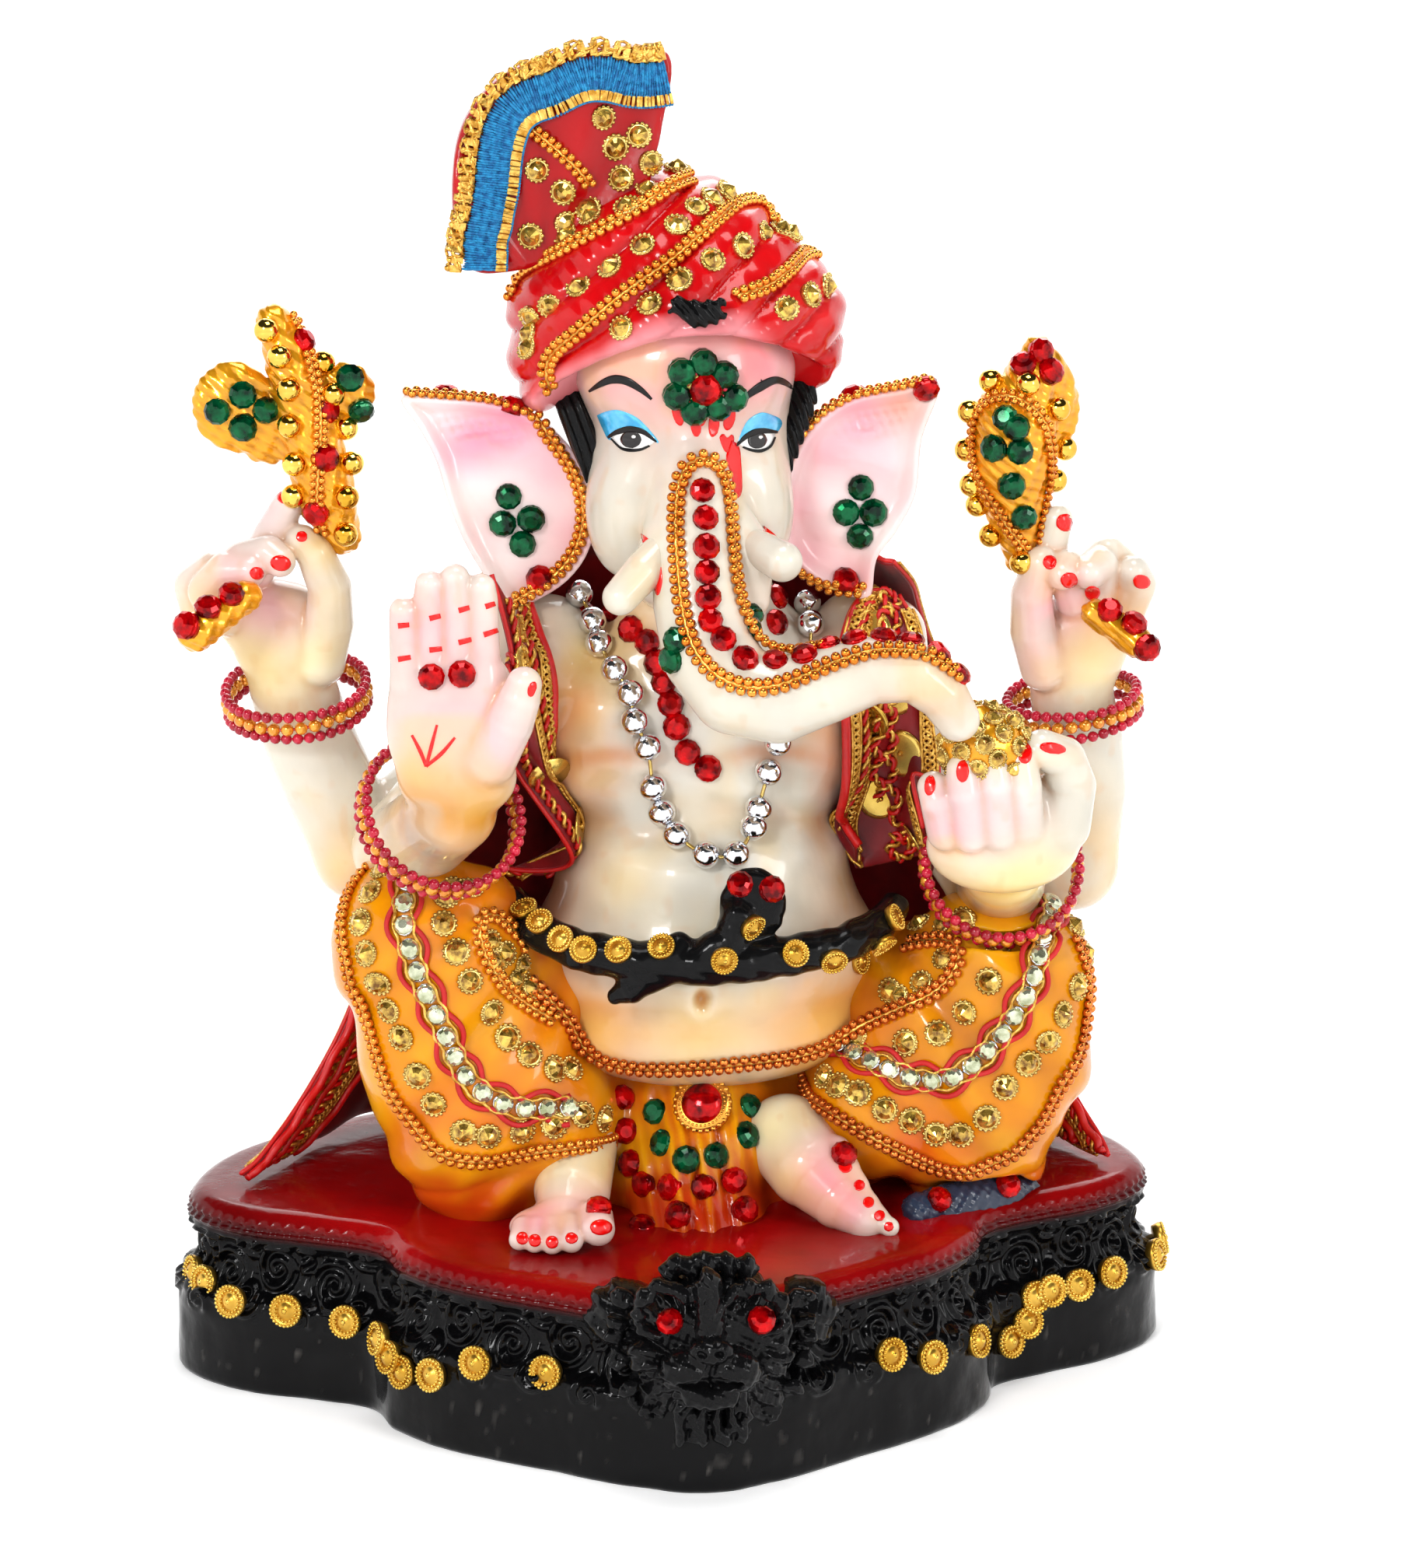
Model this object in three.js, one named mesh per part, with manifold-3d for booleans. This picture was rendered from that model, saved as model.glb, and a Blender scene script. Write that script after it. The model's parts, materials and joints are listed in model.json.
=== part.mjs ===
// Seated elephant-headed prayer idol, about 287 mm tall, built as separate castings and trims.
// Millimetres, +Z up, front of the figure towards -Y, origin under the middle of the plinth.
import * as THREE from 'three';
import { mergeVertices } from 'three/addons/utils/BufferGeometryUtils.js';
import Module from 'manifold-3d';

const wasm = await Module();
wasm.setup();

// ---------------------------------------------------------------- driving dimensions
const GAP = 0.4;                 // clearance between neighbouring pieces
const PLINTH_TOP = 40;           // height of the red seat above the table
const PLINTH_LEVELS = [[0, 0], [20, 0], [22, 4], [26, 6.5], [31, 6], [34, 3.6], [38, 4], [40, 6.5]]; // [height, inset]
const EAR_THICKNESS = 6;
const EAR_FRONT_Y = 3;
const FAN_THICKNESS = 7;
const FAN_FRONT_Y = -4;
const LACE_HALF_WIDTH = 5.6;
const LACE_THICKNESS = 1.6;
const SHAWL_THICKNESS = 2.4;
const STRIP_LIFT = 1.0;          // glue line and clearance under every trim row
const ORIGIN_SHIFT = [-2.2, 2.5, 0];

// half outline of the plinth at table level, front centre to back centre
const BASE_HALF_OUTLINE = [[0.0, -75.0], [16.8, -69.5], [32.5, -60.0], [52.0, -47.5], [63.3, -35.0], [68.0, -23.5], [80.0, -17.0], [94.0, -11.0], [104.5, -2.0], [108.8, 9.0], [106.0, 24.0], [98.0, 38.0], [85.0, 50.0], [69.0, 60.5], [50.0, 68.5], [25.0, 73.5], [0.0, 75.0]];

// castings: "e" = ellipsoid [x,y,z, rx,ry,rz, tilt x,y,z in degrees], "t" = tapering limb through [x,y,z,radius]
const CASTINGS = {
  torso: [
    ["e",7.2,10,91.8,38,33,23,0,0,0],
    ["e",7.1,9,77,37,31,14,0,0,0],
    ["e",7.2,10,106.7,32,27,24,0,0,0],
    ["e",7.2,13,131.2,31,22,26,0,0,0],
    ["e",7.2,13,147.6,35,20,20,0,0,0],
    ["e",-15,4,140.9,13,12,15,0,8,0],
    ["e",27.9,4,139.9,13,12,15,0,-8,0],
    ["e",-28.5,12,157.6,14,13,13,0,0,0],
    ["e",42.2,12,156.7,14,13,13,0,0,0],
    ["e",6.9,12,163.3,19,17,14,0,0,0]
  ],
  dhoti_legs: [
    ["e",7.5,22,45.3,50,36,24,0,0,0],
    ["t",[5.6,2,58,16],[4.6,-8,49,15],[3.9,-12,41.5,13]],
    ["e",3.4,-17,37.7,14,11,5,0,0,0],
    ["t",[-19.8,14,67,17],[-34.7,5,81.3,19.5],[-52.3,-4,97.5,19.5]],
    ["t",[-52.3,-4,95.9,19.5],[-48.6,-5,76.1,20],[-44.5,-5,60.2,20],[-41.9,-5,50.9,17]],
    ["t",[-38.7,-4,68.5,20],[-30.6,-8,62.5,16]],
    ["t",[35.1,14,65.3,17],[50.2,5,76.1,19.5],[70.3,-4,85.9,19.5]],
    ["t",[70.3,-4,85.4,19.5],[69,-5,68.9,20.5],[63.4,-6,57,19],[64.7,-4,47.3,16]],
    ["t",[54.2,-4,65.5,20],[43.5,-8,60.1,16]]
  ],
  foot_right: [
    ["t",[-22.1,-10,52.7,8.6],[-23.8,-20,47.1,8.2],[-25.7,-28,43.8,6.2]],
    ["e",-27.9,-31,43.2,10,7,4.4,0,0,0],
    ["t",[-35.3,-34,44.2,2.3],[-36.2,-38,42.9,2.2]],
    ["t",[-32.4,-35,44.1,2.4],[-33,-39,42.7,2.3]],
    ["t",[-28.8,-35,44,2.5],[-29.4,-40,42.7,2.4]],
    ["t",[-25,-35,44.6,2.7],[-25.4,-40,43.1,2.6]],
    ["t",[-19.9,-33,45.4,3.9],[-19.7,-39,45.1,3.6]]
  ],
  foot_left: [
    ["t",[23.1,-12,54.7,9.4],[26.9,-20,50.7,9],[32.5,-27,45.6,6.4],[37.6,-31,42.6,4.6]],
    ["t",[32.5,-22,54.7,3.4],[34,-25,52.2,3.1]],
    ["t",[34.9,-26,51.1,2.6],[36.6,-28,48.9,2.4]],
    ["t",[36.7,-28,47.5,2.4],[38.6,-30,45.7,2.2]],
    ["t",[38.4,-30,44.7,2.2],[40.5,-32,43.2,2.1]],
    ["t",[39.8,-32,42.9,2.2],[42.6,-34,41.5,2.1]]
  ],
  head: [
    ["e",3.8,7,207.3,21.5,24,27,0,0,0],
    ["e",3.9,8,219.5,20,22,14,0,0,0],
    ["e",-8.7,-3,193.6,10,12.5,17,0,6,0],
    ["e",15.3,-3,193.5,9.5,12.5,17,0,-6,0],
    ["e",3.9,3,179.7,15,15,13,0,0,0],
    ["e",3.3,-6,197.3,12,13,18,0,0,0],
    ["t",[2.6,-13,206,6.4],[2.2,-18,196.4,7.4],[1.8,-22,186.6,8.4],[2.7,-26,176,9.3],[4.5,-30,166.2,9.6],[9.4,-34,159.5,9.4],[17.9,-37,157.7,8.9],[27.3,-39,160.9,7.8],[36.7,-40,164.2,6.9],[45.5,-41,163.9,6.1],[51.3,-41,159.1,5.3],[54.6,-41,153.8,4.6]],
    ["t",[-1.1,-15,194.2,5],[-3.5,-20,185.1,5.8]],
    ["t",[8.1,-15,194,5],[13.6,-20,184.8,5.6],[14,-22,175.7,4]]
  ],
  tusk_right: [
    ["t",[-4.3,-22,186.2,4],[-8.8,-26,182.6,4.1],[-13.6,-29,178.1,3.7]]
  ],
  tusk_left: [
    ["t",[14.1,-21,186.9,3.6],[17.2,-25,185.8,4],[19.8,-28,184.7,4.2]]
  ],
  front_arm_right: [
    ["t",[-31.6,12,150.5,10.5],[-45.4,15,129.4,9.8],[-58.9,8,115.7,9.2]],
    ["t",[-58.9,8,115.7,9.2],[-53.4,-10,124.2,9.6],[-48.6,-24,132.9,9.6]],
    ["e",-47.4,-29,140.9,12.2,8,9,0,0,0],
    ["e",-48.6,-31,152.1,13.2,6,16,0,0,0],
    ["e",-53.6,-31,159.6,7,5.4,9,0,0,0],
    ["e",-43.8,-31,159.4,8,5.4,9,0,0,0],
    ["t",[-57.4,-32,162.4,3.5],[-57.8,-31,174.3,3.1],[-57.9,-31,176.6,2.9]],
    ["t",[-52.6,-32,163.4,3.6],[-52.7,-31,179.1,3.2],[-52.6,-31,182,2.9]],
    ["t",[-47.2,-32,163.3,3.6],[-47.3,-31,180.6,3.2],[-47.4,-31,183.2,3]],
    ["t",[-41.9,-32,162.5,3.6],[-41.9,-31,178.8,3.2],[-42.1,-31,181.1,3]],
    ["t",[-41.2,-33,145.9,6],[-36.9,-36,153.9,5],[-34.9,-37,159,4.3],[-33.9,-37,162.2,3.7]]
  ],
  rear_arm_right: [
    ["t",[-33.8,24,144.2,10.5],[-50.1,25,123.4,10],[-66.3,22,111,9.6]],
    ["t",[-67,22,111.3,9.6],[-72.9,20,127,10],[-77.5,18,138.9,9.8],[-80.6,16,150.3,9.2]],
    ["e",-81.7,14,161.4,11.5,8.5,12,0,0,0],
    ["e",-87.8,12,167,9,7,8,0,0,0],
    ["t",[-74.6,10,157,5.4],[-72.5,7,166.1,5.2],[-72.3,5,174.1,4.6],[-75.3,4,181.6,4],[-78,4,184.4,3.5]],
    ["t",[-94.3,8,168,4.6],[-97.7,4,174,4.4],[-94,2,178.5,4.2],[-89.2,0,178.9,3.6]],
    ["t",[-92.6,8,173,4.4],[-90.4,4,180.2,4.2],[-85,2,182.2,3.9],[-82.6,0,180.9,3.3]],
    ["t",[-87.6,10,177.5,4.2],[-84.1,8,184.6,4],[-80.7,6,191.6,3.3]],
    ["t",[-99,12,167.3,4.6],[-100.4,10,173.6,4.6],[-96.5,8,177.3,4.2]]
  ],
  front_arm_left: [
    ["t",[45,12,148.7,10.5],[57.9,15,123.3,9.8],[71.2,8,102,9.2]],
    ["t",[71.2,8,102,9.2],[69.6,-8,110.1,9.4],[68.2,-18,116.4,9.4]],
    ["e",66.4,-29,123.8,16.2,8.6,10.5,0,0,0],
    ["e",67.9,-29,129.6,14,7.5,10,0,0,0],
    ["t",[53.4,-34,128,3.9],[51.3,-37,135.5,3.7],[50.4,-36,138.3,3.3]],
    ["t",[58.3,-36,128.1,4],[56.6,-39,137.6,3.8],[56.2,-38,142.3,3.4]],
    ["t",[64.2,-36,128.2,4],[62.9,-39,139.1,3.8],[62.3,-38,144.1,3.4]],
    ["t",[69.9,-35,129.5,4],[68.9,-38,138.6,3.9],[68.3,-37,143.4,3.5]],
    ["t",[78.6,-30,127.9,6],[80.2,-31,136.5,5.2],[78.1,-33,142.9,4.6],[73.2,-35,145.7,4]]
  ],
  rear_arm_left: [
    ["t",[50.4,24,142.2,10.5],[69.8,25,118.6,10],[89.7,22,104.6,9.6]],
    ["t",[90.4,22,104.6,9.6],[91.4,20,122.9,10],[90.5,18,134,9.6],[88.2,16,144.7,9]],
    ["e",88.3,14,155.9,11.5,8.5,12,0,0,0],
    ["e",92.6,12,161.4,9,7,8,0,0,0],
    ["t",[80.9,10,152.2,5.2],[77.9,7,161.2,5],[77.1,5,169.3,4.4],[78.8,4,176.3,3.8]],
    ["t",[86.7,8,167.6,4],[84.5,4,175.3,3.9],[83,1,174.3,3.2]],
    ["t",[92.1,8,165.8,4.2],[91.6,4,175.5,4.1],[89,1,174.5,3.4]],
    ["t",[82.2,10,172.4,3.6],[81.7,8,179.6,3.6],[82.6,6,185.4,3.3]],
    ["t",[97.9,8,163.9,4.2],[99.9,5,171,4.2],[98.8,3,174.4,3.4]],
    ["t",[89,10,172.2,3.6],[94.1,8,177.3,3.8],[98.4,8,173.3,3.8]]
  ],
  modak: [
    ["e",61.5,-33,145.5,9.2,8.4,8.6,0,0,0],
    ["t",[60.8,-33,147.5,5],[60.1,-33,151.7,2.6]]
  ],
  axe: [
    ["t",[-82.7,10,230,3.6],[-78.8,9,219,5.4],[-75.5,8,206,6.2],[-72.6,7,192.9,6.4],[-69.5,6,185,4]],
    ["e",-91.5,9,212.3,8.5,3.2,9.5,0,0,0],
    ["e",-84.4,9,207.9,7,3,8,0,0,0],
    ["e",-68,9,214.7,6,3.2,6.5,0,0,0]
  ],
  axe_handle: [
    ["t",[-89.6,-4,174.6,3.2],[-95,-6,171.2,3.4],[-100.3,-8,168.1,4.2]]
  ],
  mace: [
    ["t",[77.9,8,222,2.8],[76.6,8,215,6],[73.4,8,205.9,9.2],[73,8,196.7,8.6],[73.7,8,186.5,6],[75.1,8,176.7,3.2]],
    ["e",81,9,211.4,6,4,11,0,-12,0]
  ],
  mace_handle: [
    ["t",[89.3,-4,167.1,3],[93.7,-6,164.4,3.2],[97.7,-8,161.4,3.4]]
  ],
  snake_belt: [
    ["t",[-34.5,-2,106.1,3.4],[-30.6,-15,103.6,4],[-22.1,-23,101.3,4.3],[-10.2,-27.5,99.9,4.5],[2.7,-28.5,99.2,4.6],[12.5,-28.5,99.5,4.6],[22.5,-27,100.2,4.3],[33.7,-23,101,4.1],[42.2,-15,102.5,3.8],[47,-4,103.3,3.2]],
    ["t",[3.5,-29,100,4.4],[9.2,-29,105,3.8],[10.8,-29,109.6,3.6]],
    ["e",14,-27,111.3,7,3.2,8.2,0,0,0],
    ["e",-1.8,-28,102.2,4,3,4,0,0,0],
    ["t",[-6.2,-28,98.2,4],[-11.1,-28,94.6,3.4],[-14.8,-27,92.1,1.8]]
  ],
  mouse: [
    ["t",[50.3,-22,41.2,2.6],[54.7,-19.5,40.9,3.6],[62.2,-15.5,40.4,4.6],[70.3,-10.5,39.8,4.8],[76.1,-6.5,38.5,3.2]]
  ],
  turban: [
    ["e",1.1,9,230.9,34.5,32,20,0,6,0],
    ["e",0.1,9,241.6,29,26,17,0,10,0],
    ["e",-0.5,9,247.9,20,19,12.5,0,14,0],
    ["e",19.7,4,231.4,15,20,13,0,0,0],
    ["e",-18.4,6,228.4,13,20,16,0,0,0],
    ["e",28.4,8,225.7,6.5,18,11,0,0,0],
    ["e",-26.5,8,222.4,7,17,12,0,0,0]
  ],
  lion_relief: [
    ["e",1.1,-66,31.5,17,12,15,0,0,0],
    ["e",0.6,-71,25,11,8.5,8,0,0,0],
    ["e",-6.3,-70,35.5,7.5,7,7,0,0,0],
    ["e",10.3,-70,35.2,7.5,7,7,0,0,0],
    ["e",-16.1,-61,34.4,8,7,7.5,0,0,0],
    ["e",20.3,-61,33.4,8,7,7.5,0,0,0],
    ["e",1.6,-66,41.6,9,7,4.5,0,0,0],
    ["e",-7,-67,22,8,7.5,7,0,0,0],
    ["e",9.5,-67,21.3,8,7.5,7,0,0,0],
    ["e",1.1,-66,15.2,15,8,8,0,0,0]
  ]
};

// outlines of the flat pieces in the X-Z plane
const EAR_RIGHT_OUTLINE = [[-56.7,214.6],[-47.8,214.6],[-36.5,213.1],[-26.7,208.8],[-19.4,200.4],[-16.2,190.3],[-17.9,181.2],[-22.9,174.6],[-30.4,170.2],[-34.5,169.2],[-39.4,175.7],[-44.2,184.2],[-47.3,192.6],[-49.6,200.9],[-52.8,207.6]];
const EAR_LEFT_OUTLINE = [[56.3,215.7],[47.2,214.7],[38.1,213.0],[30.7,208.6],[25.5,201.2],[23.1,191.3],[23.9,182.0],[28.4,175.5],[35.1,171.7],[41.8,169.8],[43.4,178.3],[47.5,184.1],[51.6,192.4],[52.8,204.1]];
const FAN_OUTLINE = [[-41.4,241.6],[-44.9,248.0],[-45.6,260.8],[-43.1,271.9],[-36.2,280.5],[-26.6,285.1],[-13.9,287.0],[-0.9,285.3],[-2.5,270.6],[-4.8,259.5],[-1.0,257.1],[-17.4,249.3],[-27.0,243.0],[-35.0,241.2]];
const FAN_LACE_PATH = [[-38.4, -4, 243.2], [-36.5, -4, 254.6], [-35.1, -4, 265.9], [-32.0, -4, 273.6], [-25.1, -4, 277.7], [-17.2, -4, 280.7], [-9.2, -4, 279.1], [-1.9, -4, 279.0]];

// trim rows: half width, thickness, and the line they are glued along as [x,y,z, nx,ny,nz]
const STRIPS = {
  turban_chain_upper: { w: 1.5, t: 1.5, p: [[-32.6,2.8,235.1,-0.91,-0.2,0.36],[-30.6,5.1,240.1,-0.88,-0.27,0.4],[-26.9,-2.2,243.1,-0.79,-0.42,0.45],[-21.1,-7.5,246.9,-0.62,-0.57,0.54],[-14.0,-9.8,250.7,-0.4,-0.64,0.65],[-6.9,-8.1,254.5,-0.16,-0.58,0.8],[-0.6,-3.3,258.3,0.04,-0.44,0.9],[4.2,3.8,259.5,0.13,-0.34,0.93]] },
  turban_chain_middle: { w: 1.5, t: 1.5, p: [[-26.2,-8.0,217.8,-0.41,-0.85,-0.32],[-27.1,-10.0,225.4,-0.46,-0.86,-0.2],[-21.9,-15.0,230.2,-0.48,-0.88,0.0],[-15.8,-18.2,235.3,-0.41,-0.88,0.24],[-9.2,-18.0,240.7,-0.23,-0.88,0.41],[-2.1,-16.7,245.5,-0.03,-0.84,0.55],[3.8,-12.7,250.3,0.17,-0.72,0.67],[9.3,-6.7,253.2,0.35,-0.53,0.77],[13.9,0.4,254.2,0.48,-0.33,0.81],[18.3,7.6,252.8,0.56,-0.18,0.81],[21.7,4.4,250.0,0.59,-0.13,0.8]] },
  turban_chain_short: { w: 1.5, t: 1.5, p: [[11.0,-19.3,237.5,0.34,-0.74,0.59],[18.2,-14.7,239.4,0.39,-0.67,0.63],[23.1,-8.3,242.5,0.51,-0.5,0.7],[26.3,-0.2,243.6,0.62,-0.31,0.73],[30.1,7.1,242.0,0.67,-0.19,0.72]] },
  ear_right_chain: { w: 1.5, t: 1.5, p: [[-55.4,2.5,214.5,0.0,-1.0,0.0],[-46.8,2.5,214.6,0.0,-1.0,0.0],[-38.4,2.5,213.4,0.0,-1.0,0.0],[-30.2,2.5,210.8,0.0,-1.0,0.0],[-24.5,2.5,204.4,0.0,-1.0,0.0],[-20.2,2.5,197.1,0.0,-1.0,0.0],[-18.5,2.5,188.9,0.0,-1.0,0.0],[-20.6,2.5,180.8,0.0,-1.0,0.0],[-26.3,2.5,174.5,0.0,-1.0,0.0],[-33.8,2.5,170.5,0.0,-1.0,0.0]] },
  ear_left_chain: { w: 1.5, t: 1.5, p: [[54.3,2.5,215.6,0.0,-1.0,0.0],[45.1,2.5,214.8,0.0,-1.0,0.0],[36.3,2.5,212.6,0.0,-1.0,0.0],[29.2,2.5,207.0,0.0,-1.0,0.0],[25.1,2.5,198.9,0.0,-1.0,0.0],[23.7,2.5,189.9,0.0,-1.0,0.0],[25.3,2.5,181.0,0.0,-1.0,0.0],[31.6,2.5,174.6,0.0,-1.0,0.0],[40.0,2.5,171.1,0.0,-1.0,0.0]] },
  trunk_chain: { w: 1.5, t: 1.5, p: [[27.3,-37.2,168.6,0.13,0.18,0.98],[19.3,-35.0,167.7,0.33,0.06,0.94],[13.4,-31.2,170.4,0.63,-0.18,0.75],[10.2,-31.3,178.0,0.73,-0.44,0.52],[9.8,-27.2,185.6,0.7,-0.6,0.38],[9.8,-22.9,193.3,0.6,-0.71,0.37],[8.9,-19.8,201.3,0.43,-0.81,0.4],[3.1,-20.5,206.1,0.12,-0.89,0.45],[-1.0,-23.4,200.1,-0.19,-0.88,0.44],[-1.7,-27.4,192.3,-0.38,-0.83,0.4],[-1.7,-31.2,184.4,-0.44,-0.83,0.35],[-1.1,-34.8,176.4,-0.43,-0.85,0.31],[0.8,-38.3,168.6,-0.39,-0.87,0.29],[6.0,-42.1,162.9,-0.34,-0.89,0.32],[14.2,-44.3,161.6,-0.27,-0.87,0.41],[22.4,-44.9,164.3,-0.22,-0.81,0.55],[30.6,-44.5,167.6,-0.11,-0.73,0.67],[39.1,-44.4,169.2,0.1,-0.65,0.75],[47.6,-44.4,167.6,0.35,-0.57,0.74],[54.6,-42.7,162.8,0.48,-0.51,0.71]] },
  waist_chain: { w: 1.5, t: 1.5, p: [[-32.1,-15.3,92.0,0.62,-0.75,0.22],[-26.6,-12.6,85.5,0.53,-0.83,0.17],[-22.5,-11.6,77.5,0.33,-0.94,0.05],[-15.6,-14.3,73.7,-0.01,-0.98,-0.2],[-7.5,-18.4,73.7,-0.17,-0.93,-0.33],[1.1,-20.8,74.4,-0.13,-0.92,-0.36],[10.1,-21.2,75.0,0.07,-0.95,-0.3],[18.9,-19.7,75.3,0.28,-0.93,-0.23],[27.4,-16.6,75.5,0.33,-0.94,-0.11],[34.8,-12.0,77.0,0.19,-0.98,0.06],[42.6,-12.5,81.3,-0.16,-0.96,0.22],[50.2,-15.9,84.9,-0.4,-0.85,0.33],[56.8,-18.8,90.3,-0.53,-0.74,0.41],[61.0,-17.8,97.5,-0.53,-0.66,0.53],[55.9,-12.1,98.1,-0.55,-0.54,0.64],[49.3,-6.6,95.5,-0.55,-0.47,0.69]] },
  dhoti_right_chain: { w: 1.5, t: 1.5, p: [[-63.6,1.5,113.0,-0.73,0.05,0.68],[-68.1,-4.3,109.4,-0.81,-0.08,0.59],[-69.9,-11.2,104.0,-0.88,-0.31,0.37],[-69.0,-15.4,96.4,-0.86,-0.5,0.12],[-67.3,-15.9,87.6,-0.8,-0.59,-0.05],[-64.9,-17.2,79.0,-0.74,-0.66,-0.12],[-61.6,-19.3,70.9,-0.65,-0.75,-0.14],[-57.5,-21.1,63.0,-0.51,-0.85,-0.16],[-51.2,-23.4,57.4,-0.3,-0.93,-0.19],[-42.4,-24.1,56.3,-0.06,-0.97,-0.23],[-33.5,-23.3,56.7,0.15,-0.96,-0.23],[-24.7,-21.9,58.2,0.31,-0.94,-0.16],[-19.4,-15.3,56.8,0.39,-0.92,-0.03],[-14.9,-7.8,54.9,0.42,-0.91,0.05]] },
  dhoti_left_chain: { w: 1.5, t: 1.5, p: [[28.1,-3.4,64.9,-0.92,-0.34,0.18],[29.0,-11.6,63.1,-0.87,-0.48,0.16],[32.8,-19.2,63.0,-0.67,-0.74,0.07],[39.5,-23.3,59.3,-0.39,-0.92,-0.09],[46.6,-21.9,54.5,-0.16,-0.95,-0.25],[54.1,-21.7,50.3,-0.04,-0.94,-0.34],[61.9,-23.1,49.9,0.06,-0.93,-0.35],[69.5,-23.3,53.8,0.23,-0.92,-0.3],[76.3,-21.9,59.0,0.42,-0.88,-0.23],[80.4,-21.8,66.5,0.59,-0.79,-0.15],[83.8,-18.8,73.8,0.71,-0.7,-0.05],[87.2,-15.2,80.9,0.79,-0.6,0.07],[87.2,-14.7,89.5,0.82,-0.52,0.22],[85.4,-11.6,97.2,0.82,-0.48,0.31]] },
  dhoti_right_loop_chain: { w: 1.5, t: 1.5, p: [[-33.9,-14.2,100.0,0.65,-0.63,0.42],[-38.9,-16.1,106.4,0.61,-0.68,0.41],[-44.2,-19.2,107.7,0.53,-0.76,0.38],[-43.0,-21.8,100.3,0.51,-0.82,0.28],[-38.7,-20.1,93.5,0.52,-0.83,0.19],[-33.4,-17.0,88.0,0.56,-0.81,0.16],[-27.8,-14.0,82.7,0.57,-0.8,0.17]] },
  trunk_stone_row: { w: 2.3, t: 2, p: [[3.6,-24.7,199.1,0.23,-0.87,0.43],[4.0,-29.0,190.6,0.21,-0.88,0.43],[3.8,-33.2,182.1,0.19,-0.87,0.46],[4.7,-37.1,173.7,0.14,-0.8,0.58],[11.0,-39.7,167.2,0.09,-0.61,0.79],[20.3,-39.9,167.1,0.0,-0.27,0.96],[28.8,-37.2,169.0,0.01,0.07,1.0],[38.1,-38.2,170.4,0.15,0.2,0.97],[47.2,-39.8,168.9,0.38,0.17,0.91],[54.5,-41.5,163.3,0.5,0.09,0.86]] },
  silver_bead_necklace: { w: 2.6, t: 4, p: [[-20.8,10.6,168.3,0.36,-0.45,0.82],[-17.5,4.8,162.7,0.27,-0.58,0.77],[-13.5,-0.3,156.9,0.11,-0.77,0.63],[-10.4,-5.3,150.4,0.01,-0.91,0.4],[-7.2,-6.6,142.4,-0.05,-0.97,0.23],[-5.2,-7.1,133.8,-0.12,-0.98,0.18],[-2.2,-8.2,125.6,-0.14,-0.96,0.26],[2.9,-12.2,119.7,-0.08,-0.91,0.4],[10.9,-13.5,118.1,0.05,-0.91,0.42],[15.3,-9.1,123.8,0.11,-0.93,0.34],[17.7,-7.5,132.2,0.09,-0.97,0.21],[20.8,-7.1,140.5,0.06,-0.97,0.22],[24.2,-5.9,148.6,0.06,-0.93,0.37],[27.1,-1.5,155.8,0.06,-0.77,0.63],[29.1,5.0,161.4,-0.01,-0.54,0.84],[29.6,13.4,164.2,-0.08,-0.39,0.92]] },
  chest_stone_row: { w: 2.4, t: 2, p: [[-18.0,13.1,166.1,-0.27,-0.31,0.91],[-11.2,8.7,166.1,-0.42,-0.46,0.78],[-8.0,1.2,163.7,-0.5,-0.71,0.5],[-3.9,-3.2,158.2,-0.41,-0.87,0.29],[-1.6,-6.1,150.5,-0.22,-0.95,0.2],[0.9,-7.3,142.4,-0.12,-0.98,0.16],[6.3,-8.6,136.2,-0.09,-0.99,0.14]] },
  turban_upper_stone_row: { w: 2.4, t: 2, p: [[-26.3,-10.5,235.4,-0.58,-0.71,0.39],[-19.8,-13.2,240.2,-0.5,-0.75,0.44],[-12.7,-14.5,244.8,-0.33,-0.79,0.51],[-5.5,-13.9,249.2,-0.1,-0.77,0.63],[1.3,-10.5,252.9,0.11,-0.66,0.74],[6.6,-4.6,255.8,0.27,-0.49,0.83],[11.4,2.5,256.5,0.34,-0.4,0.86]] },
  turban_lower_stone_row: { w: 2.4, t: 2, p: [[-12.4,-20.4,232.2,-0.2,-0.94,0.29],[-5.3,-20.4,238.1,-0.11,-0.92,0.37],[2.2,-17.7,242.9,0.09,-0.87,0.49],[9.9,-13.7,246.2,0.31,-0.73,0.61],[16.4,-7.6,248.3,0.5,-0.54,0.68],[21.4,0.1,248.6,0.62,-0.34,0.71],[25.3,8.4,247.1,0.67,-0.22,0.71]] },
  dhoti_right_outer_stone_row: { w: 2.3, t: 2, p: [[-62.4,-4.5,114.6,-0.64,-0.29,0.71],[-65.9,-11.2,109.9,-0.68,-0.42,0.6],[-66.9,-16.4,103.0,-0.7,-0.62,0.35],[-64.6,-20.2,95.3,-0.63,-0.77,0.1],[-61.4,-21.3,87.0,-0.53,-0.85,-0.03],[-57.9,-22.7,78.8,-0.42,-0.91,-0.06],[-54.1,-23.8,70.8,-0.29,-0.96,-0.05],[-48.4,-24.7,64.0,-0.14,-0.99,-0.03],[-40.1,-24.6,61.7,0.04,-1.0,0.0],[-31.2,-23.9,62.7,0.27,-0.96,0.02],[-22.8,-21.6,64.1,0.51,-0.86,0.03],[-16.7,-15.8,61.6,0.63,-0.78,0.03]] },
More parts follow.
